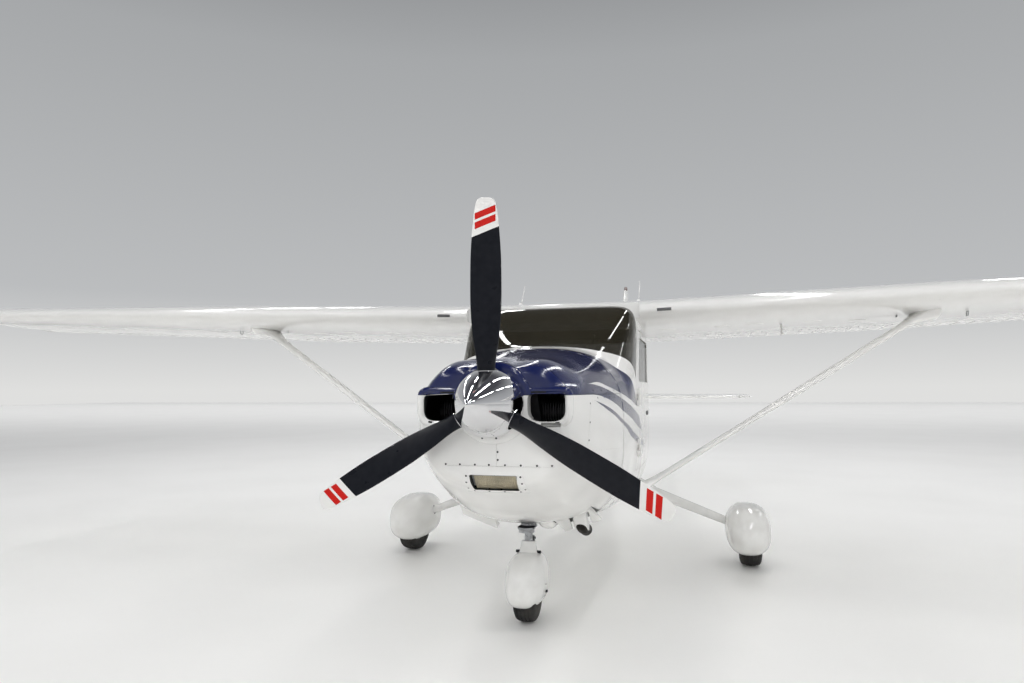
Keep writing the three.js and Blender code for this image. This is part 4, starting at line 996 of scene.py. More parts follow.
def make_cabin():
    skin = shell("cabin_skin", CABIN_START, CABIN_END, 0.03, 0.026)
    cut(
        skin,
        across("door", grown(DOOR, DOOR_GAP), 0.045),
        across("window", REAR_SIDE_WINDOW, 0.05),
        across("window", WINDSHIELD, 0.02),
        across("window", REAR_WINDOW, 0.04),
        across("hatch", grown(BAGGAGE_DOOR, DOOR_GAP), 0.035, 0.2, WIDE),
        block("belly", -WIDE, WIDE, CABIN_START - 0.1, CABIN_END + 0.1, 0, BELLY_TOP + 0.0005),
        block("roof", -WIDE, WIDE, 1.9995, 3.6405, 1.7665, 2.3),
    )
    wall = skin_body("wall", CABIN_END - 0.02, CABIN_END, 0.02, 0.013)
    join(skin, wall)
    fit(skin, "cabin_skin", "airframe", "white_paint", [banded_white, headliner],
        ["forward_fuselage", "aft_cabin"], 28, choose=inner_faces(0.02))

    for name, side in SIDES:
        door = shell("door", 1.95, 3.05, 0.03, 0.03)
        reach = on_side(side, 0.2, WIDE)
        keep(door, across("door", DOOR, 0.04, *reach))
        cut(door, across("window", DOOR_WINDOW, 0.05))
        fit(door, f"door_{name}_skin", f"cabin_door_{name}", "white_paint", [banded_white, headliner],
            [f"door_{name}"], 28, choose=inner_faces(0.02))
    hatch = shell("hatch", 3.7, 4.3, 0.03, 0.02)
    keep(hatch, across("hatch", BAGGAGE_DOOR, 0.03, 0.2, WIDE))
    fit(hatch, "baggage_door_skin", "baggage_hatch", "white_paint", [banded_white, headliner],
        ["baggage_door"], 28, choose=inner_faces(0.02))

    tail = shell("tailcone_skin", CABIN_END + 0.0005, 8.1, 0.06, 0.010)
    join(tail, *tail_fittings())
    cut(tail, block("rod slot", -1, 1, 7.992, 8.080, 1.206, 1.266))
    fit(tail, "tailcone_skin", "airframe", "white_paint", [banded_white, inside_dark],
        ["tailcone"], 30, choose=inner_faces(0.06))


def tail_fittings():
    """The ring that ties the tail down, and the lug that carries the rudder."""
    low = np.linspace(0, -math.pi, 14)
    ring = tube(
        "ring",
        [
            (0, 7.876, 1.075),
            *[(0, 7.900 + 0.021 * -math.cos(a), 1.0225 + 0.018 * math.sin(a)) for a in low], (0, 7.924, 1.075)
        ],
        0.0045, 12
    )
    lug = plate("lug", -0.026, 0.026, 8.04, 8.18, 0.012, 1.030, 1.052, "z")
    web = block("web", -0.012, 0.012, 8.02, 8.098, 1.042, 1.1)
    return ring, lug, web


def pane(name, outline, radius, body, slot, finish, stands_for, inset, low, high, x0=-WIDE, x1=WIDE):
    layer = skin_body(name, low, high, 0.025, inset)
    cut(layer, skin_body("hollow", low - 0.05, high + 0.05, 0.04, inset + 0.006))
    keep(layer, across("window", outline, radius, x0, x1))
    return fit(layer, name, body, slot, finish, stands_for, 35)


# Propeller
PROP_CENTRE = np.array([0.0, 0.326, PROP_Z])
BLADE_ROWS = np.array([
    (0.060, 0.086, 0.084, 46.0),
    (0.150, 0.088, 0.082, 46.0),
    (0.182, 0.096, 0.068, 45.5),
    (0.225, 0.112, 0.050, 44.0),
    (0.330, 0.140, 0.029, 37.0),
    (0.500, 0.156, 0.020, 29.0),
    (0.680, 0.152, 0.0145, 23.5),
    (0.850, 0.132, 0.0105, 20.0),
    (0.940, 0.112, 0.0085, 18.2),
    (0.985, 0.092, 0.007, 17.4),
    (0.9985, 0.072, 0.005, 17.0),
    (1.0040, 0.040, 0.0025, 17.0),
])
SPINNER_RADIUS = 0.170
SPINNER_LENGTH = 0.385
SPINNER_STEPS = 48


def blade_section(along, thick):
    """A blade's section: round at the root, and with a sharper trailing edge where it is thin."""
    turns = full_turn(48)
    roundness = min(1.0, thick / along)
    u = np.cos(turns)
    full = np.sin(turns)
    # Thin sections are fullest ahead of the middle, and nearly flat on their rear face
    belly = np.where(full > 0, 0.32 + 0.68 * roundness, 1.0)
    lean = (1 - roundness) * 0.22 * (1 - u**2)
    return (u - lean) * along / 2, full * belly * thick / 2


def make_blade(name, turn_degrees):
    at = smooth(BLADE_ROWS[:, 0], BLADE_ROWS[:, 1:])
    radii = np.concatenate([
        np.linspace(0.06, 0.25, 14), np.linspace(0.27, 0.96, 44),
        [0.972, 0.982, 0.99, 0.9955, 0.999, 1.002, 1.004]
    ])
    rings, along_blade = [], []
    for radius in radii:
        chord, thick, pitch = at(radius)
        u, v = blade_section(chord, thick)
        turn = math.radians(pitch)
        x = u * math.cos(turn) - v * math.sin(turn)
        y = u * math.sin(turn) + v * math.cos(turn)
        rings.append(np.column_stack([x, y, np.full(len(u), radius)]))
        along_blade += list(zip(np.full(len(u), radius), u / 0.16 + 0.5))
    blade = loft(name, rings)
    values = {}
    for point, value in zip(np.concatenate(rings), along_blade):
        values[tuple(np.round(point, 5))] = value
    map_corners(blade, "Blade", lambda point: values.get(tuple(np.round(point, 5)), (point.z, 0.5)))
    turn = Matrix.Rotation(math.radians(turn_degrees), 4, "Y")
    return move(blade, Matrix.Translation(PROP_CENTRE) @ turn)


BLADE_SLANT = 0.070


def blade_finish():
    """Satin black, a white tip with a slanted edge, and two slanted red bars on it."""
    finish = Finish("Blade Paint", Coat_Weight=0.05, Coat_Roughness=0.15, Specular_IOR_Level=0.13)
    place = finish.add("ShaderNodeUVMap", uv_map="Blade").outputs[0]
    radius, chord, _ = finish.add("ShaderNodeSeparateXYZ", {0: place}).outputs
    slanted = finish.math("SUBTRACT", radius, finish.times(chord, BLADE_SLANT))
    tip = finish.above(slanted, 0.835 - BLADE_SLANT / 2)
    first = finish.between(slanted, 0.868 - BLADE_SLANT / 2, 0.902 - BLADE_SLANT / 2)
    second = finish.between(slanted, 0.915 - BLADE_SLANT / 2, 0.948 - BLADE_SLANT / 2)
    inside = finish.between(chord, 0.16, 0.80)
    bars = finish.times(finish.largest(first, second), inside)
    worn = finish.mottled(0, 1, 30)
    black = finish.mix(worn, colour(0.0045, 0.0055, 0.009), colour(0.009, 0.010, 0.014))
    painted = finish.mix(tip, black, colour(0.80, 0.79, 0.77))
    painted = finish.mix(bars, painted, colour(0.56, 0.012, 0.008))
    # Stone wear along the leading edge
    edge = finish.above(chord, finish.math("MULTIPLY_ADD", worn, 0.12, 0.90))
    edge = finish.times(edge, finish.above(radius, 0.45))
    wear = finish.times(edge, finish.mottled(-0.6, 0.8, 60))
    finish.set("Base Color", finish.mix(wear, painted, colour(0.35, 0.35, 0.36)))
    finish.set("Roughness", finish.mottled(0.26, 0.38, 12))
    finish.grained(700, 0.06)
    return finish.material


def chrome_finish():
    finish = Finish("Polished Metal", Metallic=1.0)
    finish.patchy(colour(0.80, 0.80, 0.81), colour(0.72, 0.72, 0.74), 3)
    finish.set("Roughness", finish.mottled(0.03, 0.07, 14))
    return finish.material


def spinner_profile():
    profile = []
    for i in range(SPINNER_STEPS + 1):
        t = (i / SPINNER_STEPS) ** 1.3
        profile.append((SPINNER_LENGTH * t, SPINNER_RADIUS * math.sin(math.pi / 2 * t) ** 0.86))
    return [
        *profile, (0.4055, SPINNER_RADIUS), (0.409, SPINNER_RADIUS - 0.002), (0.4095, SPINNER_RADIUS - 0.006)
    ]


def make_propeller():
    chrome = chrome_finish()
    paint = blade_finish()
    cone = turned("cone", spinner_profile(), (0, 0, PROP_Z), AFT, 128)
    turns = (0, 120, 240)
    holes, cuffs = [], []
    for turn in turns:
        spin = Matrix.Translation(PROP_CENTRE) @ Matrix.Rotation(math.radians(turn), 4, "Y")
        lean = spin @ Matrix.Rotation(math.radians(46), 4, "Z")
        hole = tube("hole", [(0, 0, 0.04), (0, 0, 0.3)], 0.056, 48, 0.92)
        holes.append(move(hole, lean))
        rim = tube("rim", [(0, 0, 0.05), (0, 0, 0.3)], 0.0605, 48, 0.92)
        cut(rim, tube("rim", [(0, 0, 0.04), (0, 0, 0.32)], 0.056, 48, 0.92))
        cuffs.append(move(rim, lean))
    raised = [(a, r + 0.0015) for a, r in spinner_profile()]
    outer = turned("raised", raised, (0, -0.001, PROP_Z), AFT, 96)
    hollow = turned(
        "hollow", [(a + 0.002, max(r - 0.010, 0)) for a, r in spinner_profile()[4:]], (0, 0, PROP_Z), AFT, 64
    )
    rims = []
    for rim in cuffs:
        keep(rim, copy_of(outer))
        rims.append(cut(rim, copy_of(hollow)))
    remove(outer)
    remove(hollow)
    cut(cone, *holes)
    cut(
        cone,
        turned("seam", [(0, 0.1685), (0, 0.2), (0.0012, 0.2), (0.0012, 0.1685)], (0, 0.3865, PROP_Z), AFT, 96)
    )
    fit(cone, "spinner_shell", "propeller", "polished_spinner", chrome, ["spinner"], 28)
    fit(merge("rims", rims), "spinner_blade_rims", "propeller", "polished_spinner", chrome, [], 40)
    for i, turn in enumerate(turns):
        blade = make_blade("blade", turn)
        fit(blade, f"propeller_blade_{i + 1}", "propeller", "blade_paint", paint, [f"prop_blade_{i + 1}"], 40)


# Wings
ROOT_X, HALF_SPAN, TAPER_X = 0.620, 5.485, 2.540
ROOT_CHORD, TIP_CHORD = 1.626, 1.118
DIHEDRAL, INCIDENCE = math.radians(1.9), math.radians(4.3)
FLAP_X = (0.634, 2.545)
RIB_X = (2.560, 2.575)
AILERON_X = (2.587, 5.100)
# The aileron's hinge line and the radius of the nose about it, as shares of the chord
AILERON_HINGE, AILERON_NOSE = (0.8, 0.011), 0.0245
WING_START_Y, ROOT_Z = 1.983, 1.900


def airfoil(share, thickness, camber=0.02):
    """Heights of the upper and lower skins, as shares of the chord."""
    s = np.asarray(share, float)
    half = 5 * thickness * (0.2969 * np.sqrt(s) - 0.126 * s - 0.3516 * s**2 + 0.2843 * s**3 - 0.1015 * s**4)
    line = np.where(s < 0.4, camber / 0.16 * (0.8 * s - s * s), camber / 0.36 * (0.2 + 0.8 * s - s * s))
    return line + half, line - half


def chord_at(x):
    return ROOT_CHORD + max(0.0, (abs(x) - TAPER_X) / (HALF_SPAN - TAPER_X)) * (TIP_CHORD - ROOT_CHORD)


def wing_point(x, share, height):
    chord = chord_at(x)
    rise = max(0.0, abs(x) - ROOT_X) * math.tan(DIHEDRAL)
    along, up = share * chord, height * chord
    return (
        x,
        WING_START_Y + (ROOT_CHORD - chord) / 4 + along * math.cos(INCIDENCE) + up * math.sin(INCIDENCE),
        ROOT_Z + rise - along * math.sin(INCIDENCE) + up * math.cos(INCIDENCE),
    )


FRONT_SHARES = (1 - np.cos(np.linspace(0, math.pi, 41))) / 2
EDGE = 0.0012


def section_loop(upper, lower, last):
    """A section's outline, from the trailing edge over the top and back below; last is its lowest edge."""
    loop = [(s, u) for s, u in zip(FRONT_SHARES[::-1], upper[::-1])]
    loop += [(s, v) for s, v in zip(FRONT_SHARES[1:-1], lower[1:-1])]
    return [*loop, (1.0, last)]


def wing_ring(x, width=1.0, thin=1.0, droop=0.0):
    upper, lower = airfoil(FRONT_SHARES, 0.12 * thin)
    shift = 0.42 * (1 - width)
    loop = section_loop(upper, lower, float(lower[-1]) - EDGE)
    return np.array([wing_point(x, shift + s * width, h * width - droop) for s, h in loop])


def wing_body(name, low, high):
    xs = [x for x in [0.62, 0.9, 1.3, 1.8, 2.3, 2.54, 2.9, 3.4, 3.9, 4.4, 4.9, 5.2] if low < x < high]
    rings = [wing_ring(low)] + [wing_ring(x) for x in xs]
    if high < HALF_SPAN:
        return loft(name, rings + [wing_ring(high)])
    for t in np.linspace(0, 1, 9)[1:]:
        width = 1 - 0.24 * t**2.2
        thin = math.sqrt(max(1 - (0.96 * t) ** 2, 0))
        rings.append(
            wing_ring(5.33 + (HALF_SPAN - 5.33) * math.sin(math.pi / 2 * t), width, thin, 0.012 * t * t)
        )
    return loft(name, rings)


def along_wing(name, outline, low, high):
    return loft(name, [np.array([wing_point(x, s, h) for s, h in outline]) for x in (low, high)])


def bead(x, pitch, first):
    """How high a pressed bead stands at this place on the span: 0 between beads, 1 on their crests."""
    t = ((x - first) / pitch) % 1.0
    return max(0.0, 1 - abs(t - 0.5) / 0.11)


def control_surface(name, spans, outline, pitch, depth):
    """A hinged surface with pressed beads: outline(x) gives its section and how much each point may rise."""
    low, high = spans
    margin = 0.05
    xs = sorted({low, high, *np.arange(low + 0.012, high - 0.01, pitch / 12)})
    rings = []
    for x in xs:
        raised = bead(x, pitch, low) if low + margin < x < high - margin else 0.0
        rings.append(outline(x, raised * depth))
    return loft(name, rings)


def faded(share, first, aft_fade=0.04, front_fade=0.02):
    """1 over a surface's middle, and less towards its trailing edge and its front."""
    return np.clip((1 - share) / aft_fade, 0, 1) * np.clip((share - first) / front_fade, 0, 1)


def flap_ring(x, rise):
    """The flap's section: its nose slopes up and aft under the wing's upper skin."""
    gap = 0.008 / ROOT_CHORD
    start_up, start_low = 0.77 + gap, 0.712 + gap
    up = np.linspace(1.0, start_up, 12)
    low = np.linspace(start_low, 1.0, 14)
    upper, _ = airfoil(up, 0.12)
    _, lower = airfoil(low, 0.12)
    lift = rise * faded(up, start_up)
    drop = rise * faded(low, start_low)
    loop = list(zip(up, upper + lift)) + [(0.752 + gap, 0.016), (0.722 + gap, -0.012)]
    loop += list(zip(low, lower - drop - 0.0006 * (low == 1.0)))
    return np.array([wing_point(x, s, h) for s, h in loop])


def aileron_ring(x, rise):
    up = np.linspace(1.0, 0.806, 12)
    upper, _ = airfoil(up, 0.12)
    _, lower = airfoil(up[::-1], 0.12)
    lift = rise * faded(up, up[-1])
    arc = [(AILERON_HINGE[0] + AILERON_NOSE * math.cos(a), AILERON_HINGE[1] + AILERON_NOSE * math.sin(a))
           for a in np.linspace(math.radians(100), math.radians(262), 9)]
    loop = list(zip(up, upper + lift)) + arc + list(
        zip(up[::-1], lower - lift[::-1] - 0.0006 * (up[::-1] == 1.0))
    )
    return np.array([wing_point(x, s, h) for s, h in loop])


STRUT_CHORD, STRUT_THICK = 0.112, 0.040


def strut_axes(sense):
    """Directions of the port strut: up along it (or down, for sense -1), and the two square to that."""
    along = (STRUT_TOP - STRUT_BASE) / np.linalg.norm(STRUT_TOP - STRUT_BASE) * sense
    upward = np.cross((0, 1, 0), along)
    upward /= np.linalg.norm(upward)
    return along, upward, np.cross(along, upward)


def strut_body(name, extra=0.0, low=0.0, high=1.0):
    _, upward, aft = strut_axes(1)
    turns = full_turn(40)
    rings = []
    u = np.cos(turns)
    v = np.sin(turns) * (1 - 0.25 * u) * 0.97
    for t in np.linspace(low, high, 13):
        stout = 1 + 0.2 * min(max((t - 0.4) / 0.15, 0), 1)
        centre = STRUT_BASE + (STRUT_TOP - STRUT_BASE) * t
        wide, tall = u * (stout * STRUT_CHORD / 2 + extra), v * (stout * STRUT_THICK / 2 + extra)
        rings.append(centre + np.outer(wide, aft) + np.outer(tall, upward))
    return loft(name, rings)


def cuff(end, outwards, reach, wide, slim):
    """A fairing round a strut's end, widening towards the skin that it stands on."""
    along, upward, aft = strut_axes(outwards)
    turns = full_turn(40)
    rings = []
    for t in np.linspace(0, 1, 9):
        flare = (1 - t) ** 2.2
        chord = slim[0] + (wide[0] - slim[0]) * flare
        thick = slim[1] + (wide[1] - slim[1]) * flare
        centre = end + along * reach * t
        rings.append(
            centre + np.outer(np.cos(turns) * chord / 2, aft) + np.outer(np.sin(turns) * thick / 2, upward)
        )
    return loft("cuff", rings)


def make_wings():
    wing = wing_body("wing", ROOT_X, HALF_SPAN)
    slope = 0.07 / 0.09
    far = 0.3
    flap_space = along_wing(
        "flap space",
        [(0.7 + slope * (0.05 - far), -far), (1.3, -far), (1.3, far), (0.7 + slope * (0.05 + far), far)],
        0.5, RIB_X[0])
    behind = [(0.8, -far), (1.3, -far), (1.3, far), (0.8, far)]
    ends = (AILERON_X[0] - 0.012, AILERON_X[1] + 0.011)
    aileron_space = along_wing("aileron space", behind, *ends)
    radii = [AILERON_NOSE * chord_at(x) + 0.006 for x in ends]
    cove = tube("cove", [wing_point(x, *AILERON_HINGE) for x in ends], radii, 32)
    rib_end = along_wing(
        "rib end", [(0.835, -far), (1.3, -far), (1.3, far), (0.835, far)], RIB_X[0] - 0.02, RIB_X[1] + 0.02
    )
    cut(wing, flap_space, aileron_space, cove, rib_end)
    flap = control_surface("flap", FLAP_X, flap_ring, 0.127, 0.0024)
    aileron = control_surface("aileron", AILERON_X, aileron_ring, 0.118, 0.0024)
    strut = strut_body("strut")
    join(strut, cuff(STRUT_BASE + (STRUT_TOP - STRUT_BASE) * 0.018, 1, 0.20, (0.20, 0.10), (0.1125, 0.0405)),
         cuff(STRUT_TOP, -1, 0.24, (0.36, 0.15), (0.135, 0.0490)))
    for name, side in SIDES:
        for piece, label, body, node in (
            (wing, f"wing_{name}_skin", "airframe", f"wing_{name}"),
            (flap, f"wing_flap_{name}_skin", f"wing_flap_{name}", f"wing_flap_{name}"),
            (aileron, f"aileron_{name}_skin", f"aileron_{name}", f"aileron_{name}"),
            (strut, f"strut_{name}_skin", "airframe", f"strut_{name}"),
        ):
            each = side_copy(piece, side)
            fit(each, label, body, "white_paint", plain_white, [node], 30)
    for piece in (wing, flap, aileron, strut):
        remove(piece)
    # The wing's middle over the cabin, with the skin round it
    middle = loft("middle", [wing_ring(x) for x in np.linspace(-0.6195, 0.6195, 5)])
    keep(middle, block("above", -1, 1, 1.9, 3.64, 1.769, 2.2))
    roof = skin_body("roof", 2.0, 3.64, 0.03)
    keep(roof, block("above", -1, 1, 1.9, 3.64, 1.7685, 2.2))
    hollow = skin_body("hollow", 2.1, 3.60, 0.05, 0.045)
    keep(hollow, block("lower", -1, 1, 2.0, 3.61, 1.6, 1.93))
    join(roof, middle)
    cut(roof, hollow, across("window", grown(WINDSHIELD, 0.001), 0.02))
    fit(roof, "cabin_roof_skin", "airframe", "white_paint", [plain_white, headliner], ["cabin_roof"], 30,
        choose=inner_faces(0.03))


# Tail
TAIL_Z = 1.236
TAIL_ROWS = np.array([
    (0, 7.33, 8.545, 0.066), (1.7, 7.64, 8.42, 0.07), (1.752, 7.672, 8.408, 0.05), (1.78, 7.73, 8.39, 0.02)
])
TAIL_ROWS_BOTH = np.concatenate([TAIL_ROWS[:0:-1] * (-1, 1, 1, 1), TAIL_ROWS])
FIN_ROWS = np.array([
    (1.04, 6.90, 8.50, 0.044), (1.40, 6.99, 8.60, 0.048), (1.56, 7.18, 8.64, 0.056),
    (2.74, 8.01, 8.835, 0.08), (2.815, 8.078, 8.84, 0.075), (2.862, 8.16, 8.832, 0.04)
])
ELEVATOR_Y, ELEVATOR_IN, STABILIZER_TIP = 8.020, 0.112, 1.610
TAIL_PITCH, TAIL_BEAD, TAIL_STEP = 0.125, 0.002, 0.0105


def table_row(rows, at):
    return [np.interp(at, rows[:, 0], rows[:, k]) for k in range(1, rows.shape[1])]


def surface_ring(rows, at, upright):
    front, back, thickness = table_row(rows, at)
    upper, lower = airfoil(FRONT_SHARES, thickness, 1e-9)
    chord = back - front
    loop = section_loop(upper, lower, -EDGE)
    if upright:
        return np.array([(h * chord, front + s * chord, at) for s, h in loop])
    return np.array([(at, front + s * chord, TAIL_Z + h * chord) for s, h in loop])


def hinged_ring(rows, at, hinge, nose, rise, upright):
    """The section behind a hinge line, with a round nose about it."""
    front, back, thickness = table_row(rows, at)
    chord = back - front
    first = min((hinge - front) / chord + 0.004, 0.97)
    shares = np.linspace(1.0, first, 16)
    half, _ = airfoil(shares, thickness, 1e-9)
    half = half + rise / chord * faded(shares, first, 0.03, 0.04)
    half[0] = max(half[0], EDGE)
    arc = [
        (hinge + nose * math.cos(a), nose * math.sin(a))
        for a in np.linspace(math.radians(96), math.radians(264), 9)
    ]
    loop = [(front + s * chord, h * chord) for s, h in zip(shares, half)] + arc
    loop += [(front + s * chord, -h * chord) for s, h in zip(shares[::-1], half[::-1])]
    if upright:
        return np.array([(h, y, at) for y, h in loop])
    return np.array([(at, y, TAIL_Z + h) for y, h in loop])


def rudder_line(z):
    return 8.138 + (z - 1.06) * (8.452 - 8.138) / (2.7 - 1.06)


def make_tail():
    spans = [*np.linspace(-1.7, 1.7, 9)]
    ends = [-1.78, -1.752]
    whole = loft(
        "tailplane",
        [surface_ring(TAIL_ROWS_BOTH, x, False) for x in [*ends, *spans, *[-e for e in ends[::-1]]]]
    )
    horns = copy_of(whole)
    stabilizer = keep(whole, block("ahead", -STABILIZER_TIP, STABILIZER_TIP, 7, ELEVATOR_Y, 1, 1.5))
    coves = []
    for side in (1, -1):
        line = [
            (side * (ELEVATOR_IN - 0.012), ELEVATOR_Y, TAIL_Z),
            (side * (STABILIZER_TIP - 0.012), ELEVATOR_Y, TAIL_Z)
        ]
        coves.append(tube("cove", line, [0.034, 0.026], 24))
    middle = block("middle", -ELEVATOR_IN, ELEVATOR_IN, ELEVATOR_Y - 0.042, 8.7, 1, 1.5)
    cut(stabilizer, *coves, middle)
    fit(stabilizer, "stabilizer_skin", "airframe", "white_paint", plain_white, ["stabilizer"], 30)
    halves = []
    for side in (1, -1):
        xs = sorted({ELEVATOR_IN, *np.arange(0.125, 1.585, TAIL_STEP), 1.592})
        rings = []
        for x in xs:
            raised = bead(x, TAIL_PITCH, 0.3) if 0.34 < x < 1.52 else 0
            nose = 0.028 + (x - ELEVATOR_IN) / (STABILIZER_TIP - ELEVATOR_IN) * -0.008
            ring = hinged_ring(TAIL_ROWS_BOTH, x, ELEVATOR_Y, nose, raised * TAIL_BEAD, False)
            # The inner corner is cut away beside the rudder
            limit = ELEVATOR_Y + 0.06 + max(0.0, (x - ELEVATOR_IN)) / 0.158 * 0.54
            ring[:, 1] = np.minimum(ring[:, 1], limit)
            ring[:, 0] *= side
            rings.append(ring)
        blade = loft("blade", rings)
        horn = keep(
            copy_of(horns), block("tip", *on_side(side, STABILIZER_TIP + 0.008, 1.9), 7.4, 8.7, 1, 1.5)
        )
        cut(horn, block("rib", *on_side(side, 1.5, STABILIZER_TIP + 0.0081), 7.9, 8.7, 1, 1.5))
        bridge = loft(
            "bridge",
            [
                hinged_ring(TAIL_ROWS_BOTH, x, ELEVATOR_Y + 0.036, 0.016, 0, False) * (side, 1, 1)
                for x in (1.586, 1.70)
            ]
        )
        halves.append(join(blade, bridge, horn))
    rod = tube("rod", [(-0.117, ELEVATOR_Y, TAIL_Z), (0.117, ELEVATOR_Y, TAIL_Z)], 0.019, 24)
    elevator = join(halves[0], rod, halves[1])
    remove(horns)
    fit(elevator, "elevator_skin", "elevator", "white_paint", plain_white, ["elevator"], 30)

    zs = [1.04, 1.2, 1.4, 1.56, *np.linspace(1.7, 2.74, 8), 2.78, 2.815, 2.84, 2.855, 2.862]
    fin = loft("fin", [surface_ring(FIN_ROWS, z, True) for z in zs])
    low, high = 1.078, 2.712
    gap = 0.009
    space = [
        (rudder_line(low - gap), low - gap), (8.95, low - gap), (8.95, high + gap),
        (rudder_line(high + gap), high + gap)
    ]
    cove = tube("cove", [(0, rudder_line(z), z) for z in (low - 0.06, high + gap)], [0.034, 0.0355], 24)
    cut(
        fin, across("space", space), cove, block("under", -1, 1, 6, 7.6, 1.0, 1.30),
        block("under", -1, 1, 7.6, 8.9, 1, 1.25)
    )
    beacon_base = turned("base", [(0, 0.034), (0.008, 0.033), (0.012, 0.027)], (0, 8.3, 2.855), UP, 40)
    join(fin, beacon_base)
    fit(fin, "fin_skin", "airframe", "white_paint", banded_white, ["fin"], 30)
    zs = sorted({low, *np.arange(low + 0.012, high - 0.006, TAIL_STEP), high})
    rings = []
    for z in zs:
        nose = 0.028 - (z - low) / (high - low) * 0.006
        raised = bead(z, TAIL_PITCH, low) if low + 0.1 < z < high - 0.08 else 0
        rings.append(hinged_ring(FIN_ROWS, z, rudder_line(z), nose, raised * TAIL_BEAD, True))
    rudder = loft("rudder", rings)
    cut(rudder, block("clear", -1, 1, 7.9, ELEVATOR_Y + 0.06, 1.1, 1.5))
    fit(rudder, "rudder_skin", "rudder", "white_paint", plain_white, ["rudder"], 30)


# Landing gear
MAIN_Y, MAIN_RADIUS = 2.907, 0.212
MAIN_WHEEL = np.array([1.372, MAIN_Y, MAIN_RADIUS])
NOSE_AXLE = np.array([0.0, 1.218, 0.178])
NOSE_LEAN = math.radians(-5)
FAIRING_X = 1.356
# From the axle: aft, bottom z, top z, half width
MAIN_POD = np.array([
    (-0.352, 0.245, 0.300, 0.025), (-0.330, 0.185, 0.355, 0.086), (-0.270, 0.134, 0.414, 0.132),
    (-0.160, 0.106, 0.456, 0.160), (0.0, 0.100, 0.468, 0.167), (0.170, 0.106, 0.454, 0.154),
    (0.330, 0.140, 0.410, 0.108), (0.450, 0.190, 0.366, 0.054), (0.505, 0.235, 0.335, 0.012),
])
NOSE_POD = np.array([
    (-0.262, 0.010, 0.062, 0.018), (-0.240, -0.038, 0.120, 0.060), (-0.180, -0.072, 0.172, 0.094),
    (-0.080, -0.086, 0.216, 0.111), (0.040, -0.086, 0.226, 0.111), (0.170, -0.076, 0.196, 0.095),
    (0.290, -0.044, 0.140, 0.060), (0.360, -0.008, 0.098, 0.014),
])
TOW_PIN = {"reach": 0.076, "radius": 0.009, "z": 0.219}


def pod(name, rows, power):
    """A wheel fairing's shape, with its blunt ends rounded off."""
    at = smooth(rows[:, 0], rows[:, 1:])
    low, high = rows[0, 0], rows[-1, 0]
    reach = 0.012
    ends = reach * (1 - np.cos(np.linspace(0, math.pi / 2, 6)))
    along = np.concatenate([low + ends, np.linspace(low + reach, high - reach, 46)[1:-1], high - ends[::-1]])
    turns = full_turn(56)
    s, c = np.sin(turns), np.cos(turns)
    rings = []
    for y in along:
        bottom, top, half = at(y)
        near = min(y - low, high - y, reach) / reach
        share = math.sqrt(max(1 - (1 - near) ** 2, 0.0004))
        middle, tall = (bottom + top) / 2, (top - bottom) / 2
        x = half * share * squared(s, 2 / power)
        z = middle + tall * share * squared(c, 2 / power)
        rings.append(ring_at(y, x, z))
    return loft(name, rings)


def wheel_ring(name, section, centre):
    """A ring about the x axis; its section gives [x, radius]."""
    rings = []
    for turn in full_turn(96):
        c, s = math.cos(turn), math.sin(turn)
        rings.append(np.array([(x, radius * c, radius * s) for x, radius in section]) + centre)
    return hoop(name, rings)


def tyre_section(radius, width, rim):
    """Half of it is drawn and mirrored: bead, bulging wall, shoulder, and a crown with four grooves."""
    half, wall = width / 2, radius - rim
    walls = [
        (0.60, 0.012), (0.74, 0.05), (0.90, 0.22), (0.985, 0.42), (1.0, 0.52), (0.985, 0.64), (0.93, 0.78)
    ]
    walls += [(0.84, 0.885), (0.80, 0.905)]
    side = [(half * x, rim + wall * r) for x, r in walls]
    crown = []
    for x in np.linspace(0.74, 0, 38):
        drop = 0.075 * (x / 0.74) ** 2.4
        groove = 0.035 if any(abs(x - g) < 0.021 for g in (0.52, 0.18)) else 0
        crown.append((half * x, rim + wall * (1 - drop - groove)))
    halfway = side + crown
    return halfway + [(-x, r) for x, r in halfway[::-1][1:]]


def rim_section(width, rim):
    half, bore = width * 0.31, 0.0165
    outer = [
        (half, rim - 0.0006), (half, rim - 0.008), (half * 0.93, rim - 0.012), (half * 0.86, rim - 0.018)
    ]
    outer += [
        (half * 0.55, rim * 0.80), (half * 0.30, rim * 0.62), (half * 0.34, bore + 0.022),
        (half, bore + 0.016)
    ]
    outer += [(half, bore)]
    flat = [(-half, bore)] + [(-x, r) for x, r in outer[::-1][1:]]
    return outer + flat


def rubber_finish():
    finish = Finish("Tyre Rubber", Specular_IOR_Level=0.3)
    dirt = finish.shared(
        GRIME, Color=colour(0.018, 0.018, 0.019), Grime_Color=colour(0.11, 0.10, 0.085), Amount=0.55,
        High_Z=0.35
    )
    finish.set("Base Color", dirt["Color"])
    finish.set("Roughness", finish.mottled(0.62, 0.86, 16))
    finish.grained(520, 0.35)
    return finish.material


def metal_finish(name, base, low, high, scale, grain=0.0, metallic=1.0):
    finish = Finish(name, Metallic=metallic)
    finish.patchy(base, shade_of(base, 0.72), scale)
    finish.set("Roughness", finish.mottled(low, high, scale * 1.7))
    if grain:
        finish.grained(900, grain)
    return finish.material


rubber = rubber_finish()
alloy = metal_finish("Wheel Alloy", colour(0.62, 0.62, 0.61), 0.28, 0.45, 12, 0.1)
steel = metal_finish("Bare Steel", colour(0.46, 0.47, 0.48), 0.24, 0.42, 24, 0.08)
dark_steel = metal_finish("Blackened Fastener Steel", colour(0.045, 0.045, 0.05), 0.35, 0.55, 40)
soot_steel = metal_finish("Sooty Exhaust Steel", colour(0.035, 0.031, 0.028), 0.5, 0.8, 18, 0.3)


